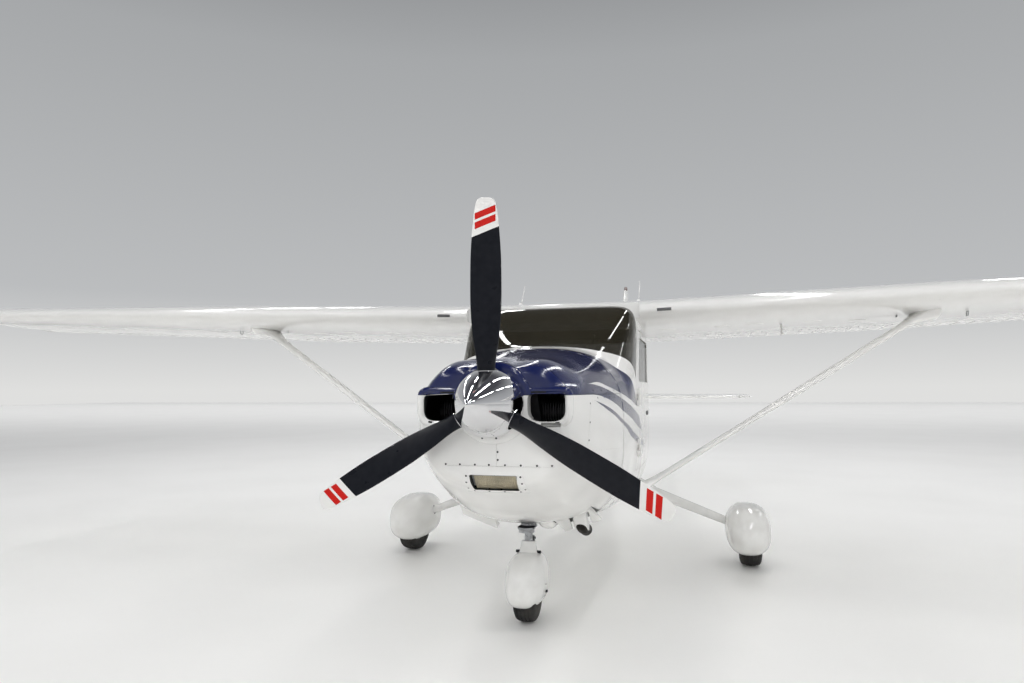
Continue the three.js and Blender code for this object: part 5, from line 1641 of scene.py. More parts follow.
def leg_bar(extra=0.0):
    """A main leg: a tapered bar in a thin fairing, longer fore and aft than it is thick."""
    start, end = np.array([0.480, MAIN_Y, 0.603]), np.array([1.262, MAIN_Y, 0.308])
    along = (end - start) / np.linalg.norm(end - start)
    up = np.cross((0, 1, 0), along) * -1
    turns = full_turn(40)
    rings = []
    for t in np.linspace(0, 1, 7):
        radius = 0.046 + (0.031 - 0.046) * t + extra
        shape = np.outer(np.cos(turns) * radius, (0, 1, 0)) + np.outer(np.sin(turns) * (radius * 0.92), up)
        rings.append(start + (end - start) * t + shape)
    return loft("leg", rings)


def make_main_gear():
    wall = (MAIN_WHEEL[0] - 0.092, MAIN_WHEEL[0] + 0.092)
    fairing = move(pod("pod", MAIN_POD, 2.5), Matrix.Translation((FAIRING_X, MAIN_WHEEL[1], 0)))
    inner = move(pod("inner", MAIN_POD, 2.5), Matrix.Translation((0, 0, -0.29)))
    inner = move(inner, Matrix.Diagonal((0.955, 0.965, 0.955, 1)))
    inner = move(inner, Matrix.Translation((FAIRING_X, MAIN_WHEEL[1], 0.29)))
    room = block("room", *wall, MAIN_Y - 0.231, MAIN_Y + 0.231, 0, 0.26)
    well = turned("well", [(wall[0], 0.230), (wall[1], 0.230)], (0, MAIN_Y, MAIN_RADIUS), TO_PORT, 72)
    join(well, room)
    band = block("band", 1.1, 1.6, 2.5, 3.5, 0.0, 0.118)
    cut(inner, band)
    cut(fairing, inner, well, leg_bar(0.006), block("plate", 1.2455, 1.2685, 2.864, 2.950, 0.1, 0.346))
    leg = leg_bar()
    join(leg, plate("plate", 2.867, 2.947, 0.174, 0.344, 0.018, 1.2465, 1.2675, "x"))
    axle = [(1.26, 0.024), (1.275, 0.024), (1.278, 0.016), (1.445, 0.016)]
    join(leg, turned("axle", axle, (0, MAIN_Y, MAIN_RADIUS), TO_PORT, 32))
    root = loft(
        "root",
        [
            np.array([(x, MAIN_Y + a * math.cos(t), z + b * math.sin(t)) for t in full_turn(40)])
            for x, z, a, b in (
                (0.540, 0.580, 0.105, 0.070), (0.575, 0.567, 0.092, 0.064), (0.612, 0.553, 0.070, 0.054),
                (0.668, 0.532, 0.050, 0.046)
            )
        ]
    )
    tyre = wheel_ring("tyre", tyre_section(MAIN_RADIUS, 0.160, 0.092), MAIN_WHEEL)
    rim = wheel_ring("rim", rim_section(0.160, 0.092), MAIN_WHEEL)
    for name, side in SIDES:
        for piece, label, body, slot, finish, stands_for in (
            (
                fairing, f"main_fairing_{name}_shell", "airframe", "white_shell", [shell_white, inside_dark],
                [f"main_fairing_{name}"]
            ),
            (leg, f"main_leg_{name}_bar", "airframe", "leg_paint", leg_white, [f"main_leg_{name}"]),
            (root, f"main_leg_{name}_root_fairing", "airframe", "white_shell", shell_white, []),
            (
                tyre, f"main_tyre_{name}_rubber", f"main_wheel_{name}", "tyre_rubber", rubber,
                [f"main_tyre_{name}"]
            ),
            (rim, f"main_rim_{name}_alloy", f"main_wheel_{name}", "rim_metal", alloy, [f"main_rim_{name}"])
        ):
            each = side_copy(piece, side)
            choose = well_faces(side * FAIRING_X, MAIN_WHEEL[1]) if piece is fairing else None
            fit(each, label, body, slot, finish, stands_for, 35, choose=choose)
    for piece in (fairing, leg, root, tyre, rim):
        remove(piece)


def well_faces(x, aft):
    """Faces that look towards the middle of a fairing are its inside."""

    def choose(centres, normals):
        middle = np.array([x, aft + 0.05, 0.29])
        away = centres - middle
        return ((away * normals).sum(1) < -0.004).astype(int)

    return choose


def nose_place():
    return Matrix.Translation(NOSE_AXLE) @ Matrix.Rotation(NOSE_LEAN, 4, "X")


def upright_bar(profile, sides=40):
    """A body turned about a vertical line; the profile gives [z, radius]."""
    return turned("bar", profile, (0, 0, 0), UP, sides)


def bolt(start, along, radius, length):
    """A hexagon head on a short washer."""
    washer = turned("bolt", [(0, radius * 1.35), (length * 0.18, radius * 1.35)], start, along, 20)
    head = turned(
        "head", [(length * 0.1, radius), (length * 0.9, radius), (length, radius * 0.85)], start, along, 6
    )
    return join(washer, head)


FORK_OUTLINE = [(0.092, -0.024), (0.092, 0.140), (0.044, 0.208), (0.038, 0.228),
                (-0.038, 0.228), (-0.044, 0.208), (-0.092, 0.140), (-0.092, -0.024)]
FORK_ARCH = [
    (0.076, -0.034), (0.076, 0.140), (0.036, 0.200), (-0.036, 0.200), (-0.076, 0.140), (-0.076, -0.034)
]


def make_nose_gear():
    place = nose_place()
    barrel = upright_bar([
        (0.330, 0.031), (0.334, 0.034), (0.356, 0.034), (0.358, 0.036), (0.362, 0.044), (0.366, 0.046),
        (0.386, 0.046), (0.390, 0.044), (0.394, 0.034), (0.398, 0.0295), (0.424, 0.0295), (0.426, 0.033),
        (0.434, 0.033), (0.436, 0.0295), (0.700, 0.0295), (0.702, 0.034), (0.760, 0.034)
    ])
    lugs = [
        block("lug", -0.028, -0.014, 0.0, 0.050, 0.400, 0.424),
        block("lug", 0.014, 0.028, 0.0, 0.050, 0.400, 0.424),
        turned("pin", [(-0.034, 0.008), (0.034, 0.008)], (0, 0.042, 0.412), TO_PORT, 16),
        turned("clamp", [(0.0, 0.010), (0.052, 0.010)], (0.036, -0.022, 0.372), UP, 20),
        block("arm", 0.020, 0.050, -0.030, 0.012, 0.366, 0.376),
        turned("clamp bolt", [(0, 0.006), (0.012, 0.006)], (0.040, -0.022, 0.398), TO_PORT, 6),
    ]
    join(barrel, *lugs)
    move(barrel, place)
    bracket = block("bracket", -0.038, 0.038, 1.262, 1.3545, 0.620, 0.900)
    join(barrel, bracket)
    fit(barrel, "nose_leg_barrel_tube", "airframe", "bare_steel", steel, ["nose_leg_barrel"], 35)

    # The plate that closes the cowl round the leg, with its bolts
    cover = prism(
        "plate", rounded([(-0.050, 1.155), (0.050, 1.155), (0.045, 1.262), (-0.045, 1.262)], 0.02), 0.545,
        0.552, "z"
    )
    collar = turned(
        "collar", [(0.0, 0.046), (0.016, 0.046), (0.020, 0.052), (0.030, 0.052)], (0, 1.188, 0.520), UP, 40
    )
    for piece in (cover, collar):
        cut(piece, move(upright_bar([(0.2, 0.0345), (0.8, 0.0345)]), place))
    seats = ((-0.039, 1.167), (0.039, 1.167), (-0.037, 1.248), (0.037, 1.248))
    bolts = [bolt((x, y, 0.545), (0, 0, -1), 0.005, 0.010) for x, y in seats]
    fit(cover, "nose_leg_plate", "airframe", "bare_steel", dark_steel, [], 35)
    fit(collar, "nose_leg_collar", "airframe", "bare_steel", steel, [], 35)
    fit(merge("bolts", bolts), "nose_leg_plate_bolts", "airframe", "bare_steel", steel, [], 35)

    fork = upright_bar([(0.212, 0.024), (0.3297, 0.024)])
    fork_frame = prism("frame", rounded(FORK_OUTLINE, 0.008), -0.026, 0.026, "y")
    cut(fork_frame, prism("arch", rounded(FORK_ARCH, 0.012), -0.04, 0.04, "y"))
    axle = turned(
        "axle",
        [(-0.092, 0.010), (-0.077, 0.010), (-0.0765, 0.016), (0.0765, 0.016), (0.077, 0.010), (0.092, 0.010)],
        (0, 0, 0), TO_PORT, 32
    )
    link_outline = [
        (0.028, 0.216), (0.086, 0.280), (0.058, 0.312), (0.046, 0.302), (0.064, 0.280), (0.014, 0.224)
    ]
    arms = [prism("arm", rounded(link_outline, 0.006), *on_side(s, 0.010, 0.022), "x") for s in (1, -1)]
    web = prism("web", [(0.030, 0.221), (0.080, 0.277), (0.074, 0.282), (0.024, 0.226)], -0.011, 0.011, "x")
    pin = turned("pin", [(-0.028, 0.007), (0.028, 0.007)], (0, 0.070, 0.292), TO_PORT, 16)
    reach, radius, z = TOW_PIN["reach"], TOW_PIN["radius"], TOW_PIN["z"]
    tow = turned(
        "tow",
        [(-reach, radius - 0.002), (2e-3 - reach, radius), (reach - 2e-3, radius), (reach, radius - 0.002)],
        (0, 0, z), TO_PORT, 24
    )
    join(fork, fork_frame, axle, *arms, web, pin)
    fit(move(fork, place), "nose_fork_frame", "nose_steer", "bare_steel", steel, ["nose_fork"], 35)
    ends = cut(tow, block("middle", -0.0385, 0.0385, -1, 1, -1, 1))
    fit(move(ends, place), "tow_pins", "nose_steer", "bare_steel", dark_steel, [], 35)

    fairing = pod("pod", NOSE_POD, 2.8)
    neck = upright_bar(
        [
            (0.10, 0.075), (0.180, 0.066), (0.205, 0.058), (0.228, 0.052), (0.25, 0.047), (0.276, 0.044),
            (0.282, 0.042)
        ],
        sides=56
    )
    join(fairing, neck)
    room = 0.080
    well = turned(
        "well", [(-room, 0.172), (-0.070, 0.192), (0.070, 0.192), (room, 0.172)], (0, 0, 0), TO_PORT, 72
    )
    gaps = [
        prism("fork", grown(FORK_OUTLINE, 0.0008), -0.027, 0.027, "y"),
        upright_bar([(0.2, 0.0255), (0.32, 0.0255)]),
        block("link", -0.0225, 0.0225, 0.0, 0.11, 0.208, 0.4),
        turned("pin", [(-0.2, radius + 0.001), (0.2, radius + 0.001)], (0, 0, z), TO_PORT, 24),
    ]
    cut(fairing, well, *gaps)
    move(fairing, place)
    fit(fairing, "nose_fairing_shell", "nose_steer", "white_shell", [shell_white, inside_dark],
        ["nose_fairing"], 35, choose=well_faces(0.0, NOSE_AXLE[1]))
    on_pod = skin_finder(fairing)
    bolts = []
    for y, z, radius, length in (
        (0, 0, 0.008, 0.012), (-0.02, 0.045, 0.0035, 0.004), (0, -0.025, 0.003, 0.004)
    ):
        seat, out = on_pod((0.3, NOSE_AXLE[1] + y, NOSE_AXLE[2] + z), (-1, 0, 0))
        bolts.append(bolt(seat - 0.001 * out, out, radius, length))
    fit(merge("bolts", bolts), "nose_axle_bolts", "nose_steer", "bare_steel", dark_steel, [], 35)
    tyre = wheel_ring("tyre", tyre_section(0.178, 0.126, 0.066), NOSE_AXLE)
    rim = wheel_ring("rim", rim_section(0.126, 0.066), NOSE_AXLE)
    fit(tyre, "nose_tyre_rubber", "nose_wheel", "tyre_rubber", rubber, ["nose_tyre"], 35)
    fit(rim, "nose_rim_alloy", "nose_wheel", "rim_metal", alloy, ["nose_rim"], 35)


# Under the cowl
FLAP = {"half": 0.116, "length": 0.232, "thick": 0.006, "open": 29.5}
TAILPIPE_PATH = [(0.312, 1.150, 0.960), (0.312, 1.225, 0.640), (0.312, 1.290, 0.548), (0.312, 1.470, 0.495)]


def make_cowl_flaps():
    half, length, thick = FLAP["half"], FLAP["length"], FLAP["thick"]
    for name, side in SIDES:
        flap = plate("flap", -half, half, 0.0, length, 0.012, -thick / 2, thick / 2, "z")
        cheek = prism(
            "cheek", [(0.010, 0), (length - 0.008, 0), (length - 0.008, 0.026), (length - 0.014, 0.030)],
            -half, 0.002 - half, "x"
        )
        pin = turned("pin", [(-half - 0.0065, 0.004), (half + 0.0065, 0.004)], (0, 0, 0), TO_PORT, 16)
        stiffener = plate("stiffener", -0.085, 0.085, 0.04, 0.20, 0.02, 0.0, thick / 2 + 0.004, "z")
        join(flap, cheek, pin, stiffener)
        horn = prism("horn", [(0.06, 0), (0.085, 0), (0.080, 0.05), (0.066, 0.05)], -0.003, 0.003, "x")
        join(flap, move(horn, Matrix.Translation((-0.03, 0, 0))))
        move(flap, Matrix.Rotation(math.radians(-FLAP["open"]), 4, "X"))
        move(flap, cowl_flap_place(1))
        if side > 0:
            notch = block("notch", 0.254, 0.370, 1.167, 1.5, 0, 1)
            cut(flap, notch)
        else:
            move(flap, MIRROR)
        fit(flap, f"cowl_flap_{name}_plate", f"cowl_flap_{name}", "white_paint", plain_white,
            [f"cowl_flap_{name}"], 35)


def bent(points, reach):
    """A path along straight lines with rounded corners."""
    points = [np.asarray(p, float) for p in points]
    path = [points[0]]
    for before, at, after in zip(points, points[1:], points[2:]):
        into, out = before - at, after - at
        a = at + into / np.linalg.norm(into) * min(reach, 0.45 * np.linalg.norm(into))
        b = at + out / np.linalg.norm(out) * min(reach, 0.45 * np.linalg.norm(out))
        path += [(1 - t) ** 2 * a + 2 * t * (1 - t) * at + t * t * b for t in np.linspace(0, 1, 8)]
    return [*path, points[-1]]


def make_exhaust():
    path = bent(TAILPIPE_PATH, 0.05)
    pipe = tube("pipe", path, 0.038, 40)
    bore = tube("bore", [(0.312, 1.335, 0.5348), (0.312, 1.49, 0.4891)], 0.0345, 40)
    cut(pipe, bore, block("above", -1, 1, 1.0, 1.3, 0.949, 1.1))
    clamp = tube("clamp", [(0.312, 1.338, 0.5339), (0.312, 1.350, 0.5304)], 0.0385, 40)
    join(pipe, clamp)
    fit(pipe, "exhaust_tailpipe_tube", "airframe", "exhaust_steel", soot_steel, ["exhaust_tailpipe"], 40)
    # A white jacket round the pipe's bend, in the port flap's notch
    bend = [np.asarray(p) for p in path if 1.20 < p[1] < 1.33]
    turns = full_turn(48)
    s, c = (squared(f(turns), 0.3) for f in (np.sin, np.cos))
    rings = []
    for i, at in enumerate(bend):
        along = bend[min(i + 1, len(bend) - 1)] - bend[max(i - 1, 0)]
        square = np.array([0, -along[2], along[1]]) / np.linalg.norm(along)
        rings.append(at + 0.0410 * np.outer(c, [1, 0, 0]) + 0.0435 * np.outer(s, square))
    sleeve = loft("sleeve", rings)
    lean = math.radians(FLAP["open"])
    hinge, down = np.array([1.112, 0.646]), np.array([math.cos(lean), -math.sin(lean)])
    under = np.array([-math.sin(lean), -math.cos(lean)]) * 0.010
    corners = [hinge + under - 0.2 * down, hinge + under + 0.5 * down, (1.6, 0.2), (0.9, 0.2)]
    cut(sleeve, prism("below the flap", corners, 0.2, 0.5, "x"))
    cut(sleeve, tube("bore", path, 0.0388, 40))
    fit(sleeve, "exhaust_sleeve", "airframe", "white_paint", plain_white, [], 40)


# Glass
def glass_finish(name, tint, clear, edge_tint=None):
    """A clear pane: it lets most light through, with a smoky tint and a bright gloss."""
    finish = Finish(name, Coat_Weight=0.6, Coat_Roughness=0.02, IOR=1.45)
    finish.patchy(tint, shade_of(tint, 1.3), 2)
    finish.set("Roughness", finish.mottled(0.015, 0.045, 5))
    cover = clear
    if edge_tint:
        z = finish.place_of()[2]
        top = finish.add(
            "ShaderNodeMapRange", {"Value": z, "From Min": edge_tint[0], "From Max": edge_tint[1]}
        ).outputs[0]
        cover = finish.plus(clear, finish.times(top, edge_tint[2]))
    dust = finish.mottled(0.0, 0.06, 9)
    finish.set("Alpha", finish.math("MINIMUM", finish.plus(cover, dust), 1.0))
    return finish.material


smoked_glass = glass_finish("Smoked Windshield", colour(0.024, 0.021, 0.012), 0.62, (1.76, 1.96, 0.30))
side_glass = glass_finish("Tinted Side Window", colour(0.02, 0.024, 0.023), 0.50)


PANE_SEAT = 0.0006


def make_glass():
    pane(
        "windshield_pane", grown(WINDSHIELD, -PANE_SEAT), 0.02, "airframe", "tinted_glass", smoked_glass,
        ["windshield"], 0.003, 1.50, 2.12
    )
    pane(
        "rear_window_pane", grown(REAR_WINDOW, -PANE_SEAT), 0.04, "airframe", "clear_glass", side_glass,
        ["rear_window"], 0.003, 3.60, 4.36
    )
    for name, side in SIDES:
        reach = on_side(side, 0.2, WIDE)
        pane(
            f"door_{name}_pane", grown(DOOR_WINDOW, -PANE_SEAT), 0.05, f"cabin_door_{name}", "clear_glass",
            side_glass, [f"door_window_{name}"], 0.007, 2.0, 2.98, *reach
        )
        pane(
            f"rear_side_{name}_pane", grown(REAR_SIDE_WINDOW, -PANE_SEAT), 0.05, "airframe", "clear_glass",
            side_glass, [f"rear_side_window_{name}"], 0.007, 3.0, 3.86, *reach
        )


# Cabin
SEAT_X, SEAT_RAIL_X = 0.262, 0.16
PANEL_Y = 1.7416
panel_black = dark_inside("Panel Crackle Black", colour(0.022, 0.022, 0.024), 1500)
trim_grey = dark_inside("Trim Grey", colour(0.16, 0.155, 0.145), 700)
bezel_black = metal_finish("Bezel Black", colour(0.012, 0.012, 0.013), 0.3, 0.45, 40, 0.05, 0.0)


def dial_finish():
    """White marks on black, round each dial's own middle, with one needle."""
    finish = Finish("Dial Face", Coat_Weight=1.0, Coat_Roughness=0.03, Roughness=0.6)
    place = finish.add("ShaderNodeUVMap", uv_map="Dial").outputs[0]
    x, y, _ = finish.add("ShaderNodeSeparateXYZ", {0: place}).outputs
    turn = finish.math("ARCTAN2", x, y)
    radius = finish.math("SQRT", finish.plus(finish.times(x, x), finish.times(y, y)))
    ticks = finish.above(finish.math("COSINE", finish.times(turn, 36)), 0.72)
    ring = finish.between(radius, 0.74, 0.90)
    long_ticks = finish.above(finish.math("COSINE", finish.times(turn, 12)), 0.93)
    wide_ring = finish.between(radius, 0.60, 0.90)
    needle = finish.times(
        finish.below(finish.math("ABSOLUTE", finish.plus(x, finish.times(y, 0.7))), 0.045),
        finish.below(radius, 0.66)
    )
    needle = finish.times(needle, finish.above(y, -0.12))
    marks = finish.largest(finish.times(ticks, ring), finish.times(long_ticks, wide_ring))
    marks = finish.largest(marks, needle)
    finish.set("Base Color", finish.mix(marks, colour(0.008, 0.008, 0.009), colour(0.75, 0.74, 0.70)))
    return finish.material


# Instruments: [x, z, radius]; radios and switches: [x0, x1, z0, z1]
DIALS = [
    *[(0.34 - 0.098 * i, 1.405 - 0.098 * k, 0.040) for i in range(3) for k in range(2)],
    (0.44, 1.41, 0.026), (0.44, 1.345, 0.026), (0.44, 1.28, 0.026),
    (-0.22, 1.415, 0.032), (-0.31, 1.415, 0.032),
]
RADIOS = [(-0.125, 0.055, z, z + 0.045) for z in (1.20, 1.255, 1.31, 1.365, 1.42)]


def make_instrument_panel():
    room = skin_body("room", 1.5, 2.0, 0.03, 0.036)
    lower = rounded(
        [
            (-0.56, 1.16), (-0.56, 1.498), (0.56, 1.498), (0.56, 1.16), (0.16, 1.16), (0.12, 1.042),
            (-0.12, 1.042), (-0.16, 1.16)
        ],
        0.03
    )
    face = prism("face", lower, 1.709, 1.741, "y")
    shelf = block("shelf", -0.6, 0.6, 1.701, 1.811, 1.501, 1.519)
    lip = tube("lip", [(-0.6, 1.806, 1.509), (0.6, 1.806, 1.509)], 0.0095, 20)
    join(shelf, lip)
    join(face, shelf)
    keep(face, room)
    recesses = [block("slot", x0, x1, 1.737, 1.76, z0, z1) for x0, x1, z0, z1 in RADIOS]
    cut(face, *recesses)
    fit(face, "instrument_panel_face", "airframe", "panel_trim", panel_black, ["instrument_panel"], 35)
    bezels, faces, knobs = [], [], []
    for x, z, radius in DIALS:
        ring = [
            (0, radius + 0.004), (0.006, radius + 0.004), (0.008, radius + 0.001), (0.008, radius - 0.004),
            (0.003, radius - 0.006)
        ]
        bezels.append(turned("bezel", ring, (x, 1.7405, z), AFT, 40))
        disc = turned("disc", [(0.0, radius - 0.006), (0.0006, radius - 0.006)], (x, 1.7437, z), AFT, 40)
        map_corners(disc, "Dial", lambda point: (-(point.x - x) / radius, (point.z - z) / radius))
        faces.append(disc)
    for x0, x1, z0, z1 in RADIOS:
        radio = plate("radio", x0 + 0.001, x1 - 0.001, z0 + 0.001, z1 - 0.001, 0.003, 1.7375, 1.7435, "y")
        bezels.append(radio)
        for kx in (x0 + 0.018, x1 - 0.018):
            knobs.append(
                turned(
                    "knob", [(0, 0.008), (0.011, 0.0075), (0.012, 0.006)], (kx, 1.7436, (z0 + z1) / 2), AFT,
                    20
                )
            )
    for i in range(8):
        knobs.append(
            turned("switch", [(0, 0.005), (0.009, 0.004)], (0.40 - 0.032 * i, PANEL_Y, 1.205), AFT, 12)
        )
    for i, x in enumerate((0.075, 0.105, 0.135)):
        knobs.append(
            turned(
                "lever", [(0, 0.005), (0.045, 0.005), (0.047, 0.016), (0.062, 0.016)], (x, PANEL_Y, 1.18),
                AFT, 20
            )
        )
    fit(merge("bezels", bezels), "instrument_bezels", "airframe", "panel_trim", bezel_black, [], 35)
    fit(merge("dials", faces), "instrument_dials", "airframe", "panel_trim", dial_finish(), [], 35)
    fit(merge("knobs", knobs), "panel_knobs", "airframe", "panel_trim", trim_grey, [], 35)
    for name, side in SIDES:
        x = side * SEAT_X
        shaft = turned("shaft", [(0, 0.015), (0.30, 0.015)], (x, PANEL_Y, 1.235), AFT, 24)
        path = bent(
            [
                (x - 0.145, 2.030, 1.360), (x - 0.155, 2.045, 1.235), (x - 0.09, 2.045, 1.205),
                (x + 0.09, 2.045, 1.205), (x + 0.155, 2.045, 1.235), (x + 0.145, 2.030, 1.360)
            ],
            0.05
        )
        yoke = tube("yoke", path, 0.012, 16)
        hub = prism(
            "hub",
            rounded([(x - 0.05, 1.185), (x + 0.05, 1.185), (x + 0.04, 1.262), (x - 0.04, 1.262)], 0.018),
            2.028, 2.060, "y"
        )
        join(shaft, hub)
        grips = [
            tube("grip", [(x + s * 0.1455, 2.030, 1.365), (x + s * 0.1545, 2.044, 1.250)], 0.016, 16)
            for s in (1, -1)
        ]
        fit(
            merge("yoke", [join(yoke, shaft), *grips]), f"control_wheel_{name}", "airframe", "panel_trim",
            bezel_black, [], 40
        )


def leather_finish(name, base, scale=650):
    finish = Finish(name, Sheen_Weight=0.15)
    hide = finish.mix(finish.mottled(0, 1, 7), base, shade_of(base, 0.74))
    dirt = finish.shared(GRIME, Color=hide, Grime_Color=colour(0.08, 0.07, 0.06), Amount=0.3, High_Z=2.0)
    finish.set("Base Color", dirt["Color"])
    finish.set("Roughness", finish.mottled(0.42, 0.62, 18))
    finish.grained(scale, 0.35, 1.0)
    return finish.material


seat_tan = leather_finish("Tan Seat Leather", colour(0.30, 0.235, 0.165))
seat_grey = leather_finish("Grey Seat Leather", colour(0.16, 0.155, 0.15))
piping = leather_finish("Seat Piping", colour(0.055, 0.05, 0.045), 900)


def points_of(piece):
    points = np.empty(len(piece.data.vertices) * 3)
    piece.data.vertices.foreach_get("co", points)
    return points.reshape(-1, 3)


def put_points(piece, points):
    piece.data.vertices.foreach_set("co", points.ravel())
    piece.data.update()


STUFFING = {"pressure": 4.0, "frames": 20, "reach": 0.012}


def stuffed(pad):
    """Swells a pad as cloth under pressure. No point goes further than the reach."""
    before = points_of(pad)
    cloth = pad.modifiers.new("cloth", "CLOTH")
    cloth.settings.use_pressure = True
    cloth.settings.uniform_pressure_force = STUFFING["pressure"]
    cloth.settings.effector_weights.gravity = 0
    cloth.point_cache.frame_start, cloth.point_cache.frame_end = 1, STUFFING["frames"]
    for each in range(1, STUFFING["frames"] + 1):
        bpy.context.scene.frame_set(each)
    settle(pad)
    bpy.context.scene.frame_set(1)
    shift = points_of(pad) - before
    far = np.linalg.norm(shift, axis=1)[:, None]
    put_points(pad, before + shift * np.minimum(1, STUFFING["reach"] / np.maximum(far, 1e-9)))
    return pad


def cushion(name, width, deep, tall, channels, crown, voxel):
    """A stuffed cushion with its sewn channels, flat round the origin, and the piping round its edge."""
    tight = 0.7 * STUFFING["reach"]
    half_w, half_d, half_t = width / 2 - tight, deep / 2 - tight, tall / 2 - 0.6 * tight
    count = 64
    turns = full_turn(count)
    s, c = (squared(f(turns), 0.4) for f in (np.sin, np.cos))
    rings = []
    for share, level in (
        (0.90, -1.0), (0.97, -0.82), (1.0, -0.45), (1.0, 0.0), (1.0, 0.45), (0.97, 0.82), (0.90, 1.0)
    ):
        rings.append(
            np.column_stack([half_w * share * c, half_d * share * s, np.full(count, level * half_t)])
        )
    body = loft(name, rings)
    even = body.modifiers.new("even", "REMESH")
    even.mode, even.voxel_size = "VOXEL", voxel
    settle(body)
    stuffed(body)
    finer = body.modifiers.new("finer", "SUBSURF")
    finer.levels = finer.render_levels = 1
    settle(body)
    points = points_of(body)
    middle = 1 - np.abs(points[:, :2] / (width / 2, deep / 2)).clip(0, 1) ** 4
    inside = middle[:, 0] * middle[:, 1]
    side = np.sign(points[:, 2]) * (np.abs(points[:, 2]) / half_t).clip(0, 1) ** 2
    groove = sum(np.exp(-(((points[:, 0] / half_w - at) / 0.030) ** 2)) for at in channels)
    wrinkle = 0.0012 * np.sin(points[:, 0] * 61 + 3 * np.sin(points[:, 1] * 17)) * np.sin(points[:, 1] * 47)
    points[:, 2] += side * (crown * np.sqrt(inside) - groove * 0.014 * inside + wrinkle)
    put_points(body, points)
    onto = skin_finder(body, 0)
    rings = []
    for a, b in zip(c, s):
        out = np.array([a * half_w, b * half_d, 0])
        seat, _ = onto(1.5 * out + (0, 0, 0.55 * half_t), -out)
        out /= np.linalg.norm(out)
        rings.append(
            seat + 0.0045 * (np.outer(np.cos(turns[::6]), out) + np.outer(np.sin(turns[::6]), [0, 0, 1]))
        )
    return body, hoop("piping", rings)


def seat_back_place(x, foot, head):
    """Stands a cushion up between two points in the side view."""
    foot, head = np.array(foot), np.array(head)
    along = (head - foot) / np.linalg.norm(head - foot)
    middle = (foot + head) / 2
    axes = Matrix(((1, 0, 0), (0, along[0], -along[1]), (0, along[1], along[0]))).to_4x4()
    return Matrix.Translation((x, middle[0], middle[1])) @ axes


SEATS = {  # across, deep, thickness, channels, crown, voxel
    "front_cushion": (0.44, 0.46, 0.085, (-0.36, 0.36), 0.010, 0.0075),
    "front_back": (0.42, 0.53, 0.070, (-0.40, 0.40), 0.008, 0.0075),
    "bench_cushion": (0.98, 0.42, 0.10, (-0.5, 0.0, 0.5), 0.010, 0.010),
    "bench_back": (0.94, 0.49, 0.075, (-0.5, 0.0, 0.5), 0.008, 0.010),
}


def make_seats():
    made = {name: cushion(name, *sizes) for name, sizes in SEATS.items()}
    places = []
    for name, side in SIDES:
        x = side * SEAT_X
        stand = f"seat_front_{name}"
        places.append((
            "front_cushion", f"{stand}_cushion", stand, Matrix.Translation((x, 2.565, 0.990)), x, 0.15
        ))
        places.append((
            "front_back", f"{stand}_back", stand, seat_back_place(x, (2.765, 1.005), (2.897, 1.532)), x, 0.15
        ))
        seat_frame = plate("frame", x - 0.178, x + 0.178, 2.372, 2.768, 0.03, 0.905, 0.935, "z")
        rail_xs = [x + s * SEAT_RAIL_X for s in (1, -1)]
        legs = [
            prism(
                "leg", [(2.39 + d, 0.722), (2.42 + d, 0.722), (2.40 + d, 0.91), (2.37 + d, 0.91)], at - 0.012,
                at + 0.012, "x"
            )
            for at in rail_xs for d in (0.02, 0.32)
        ]
        rails = [block("rail", at - 0.014, at + 0.014, 2.36, 2.78, 0.7205, 0.732) for at in rail_xs]
        join(seat_frame, *legs, *rails)
        fit(seat_frame, f"seat_frame_{name}", "airframe", "seat_leather", trim_grey, [], 35)
    places.append((
        "bench_cushion", "seat_rear_cushion", "seat_rear", Matrix.Translation((0, 3.345, 0.965)), 0, 0.42
    ))
    places.append((
        "bench_back", "seat_rear_back", "seat_rear", seat_back_place(0, (3.547, 0.995), (3.643, 1.472)), 0,
        0.42
    ))
    plinth = plate("plinth", -0.438, 0.438, 3.202, 3.538, 0.03, 0.7205, 0.910, "z")
    fit(plinth, "rear_seat_plinth", "airframe", "seat_leather", carpet, [], 35)
    cords = []
    for kind, label, stand, place, x, middle in places:
        pad, cord = (move(copy_of(each), place) for each in made[kind])
        fit(
            pad, label, "airframe", "seat_leather", [seat_tan, seat_grey], [stand], 60,
            choose=middle_faces(x, middle)
        )
        cords.append(cord)
    for pad, cord in made.values():
        remove(pad)
        remove(cord)
    fit(merge("piping", cords), "seat_piping", "airframe", "seat_leather", piping, [], 60)


def middle_faces(x, half):
    """The stuffed middle of a seat is tan, and its sides are grey."""

    def choose(centres, normals):
        return (np.abs(centres[:, 0] - x) > half).astype(int)

    return choose


# Engine inside the cowl
CYLINDER_Z = 1.235


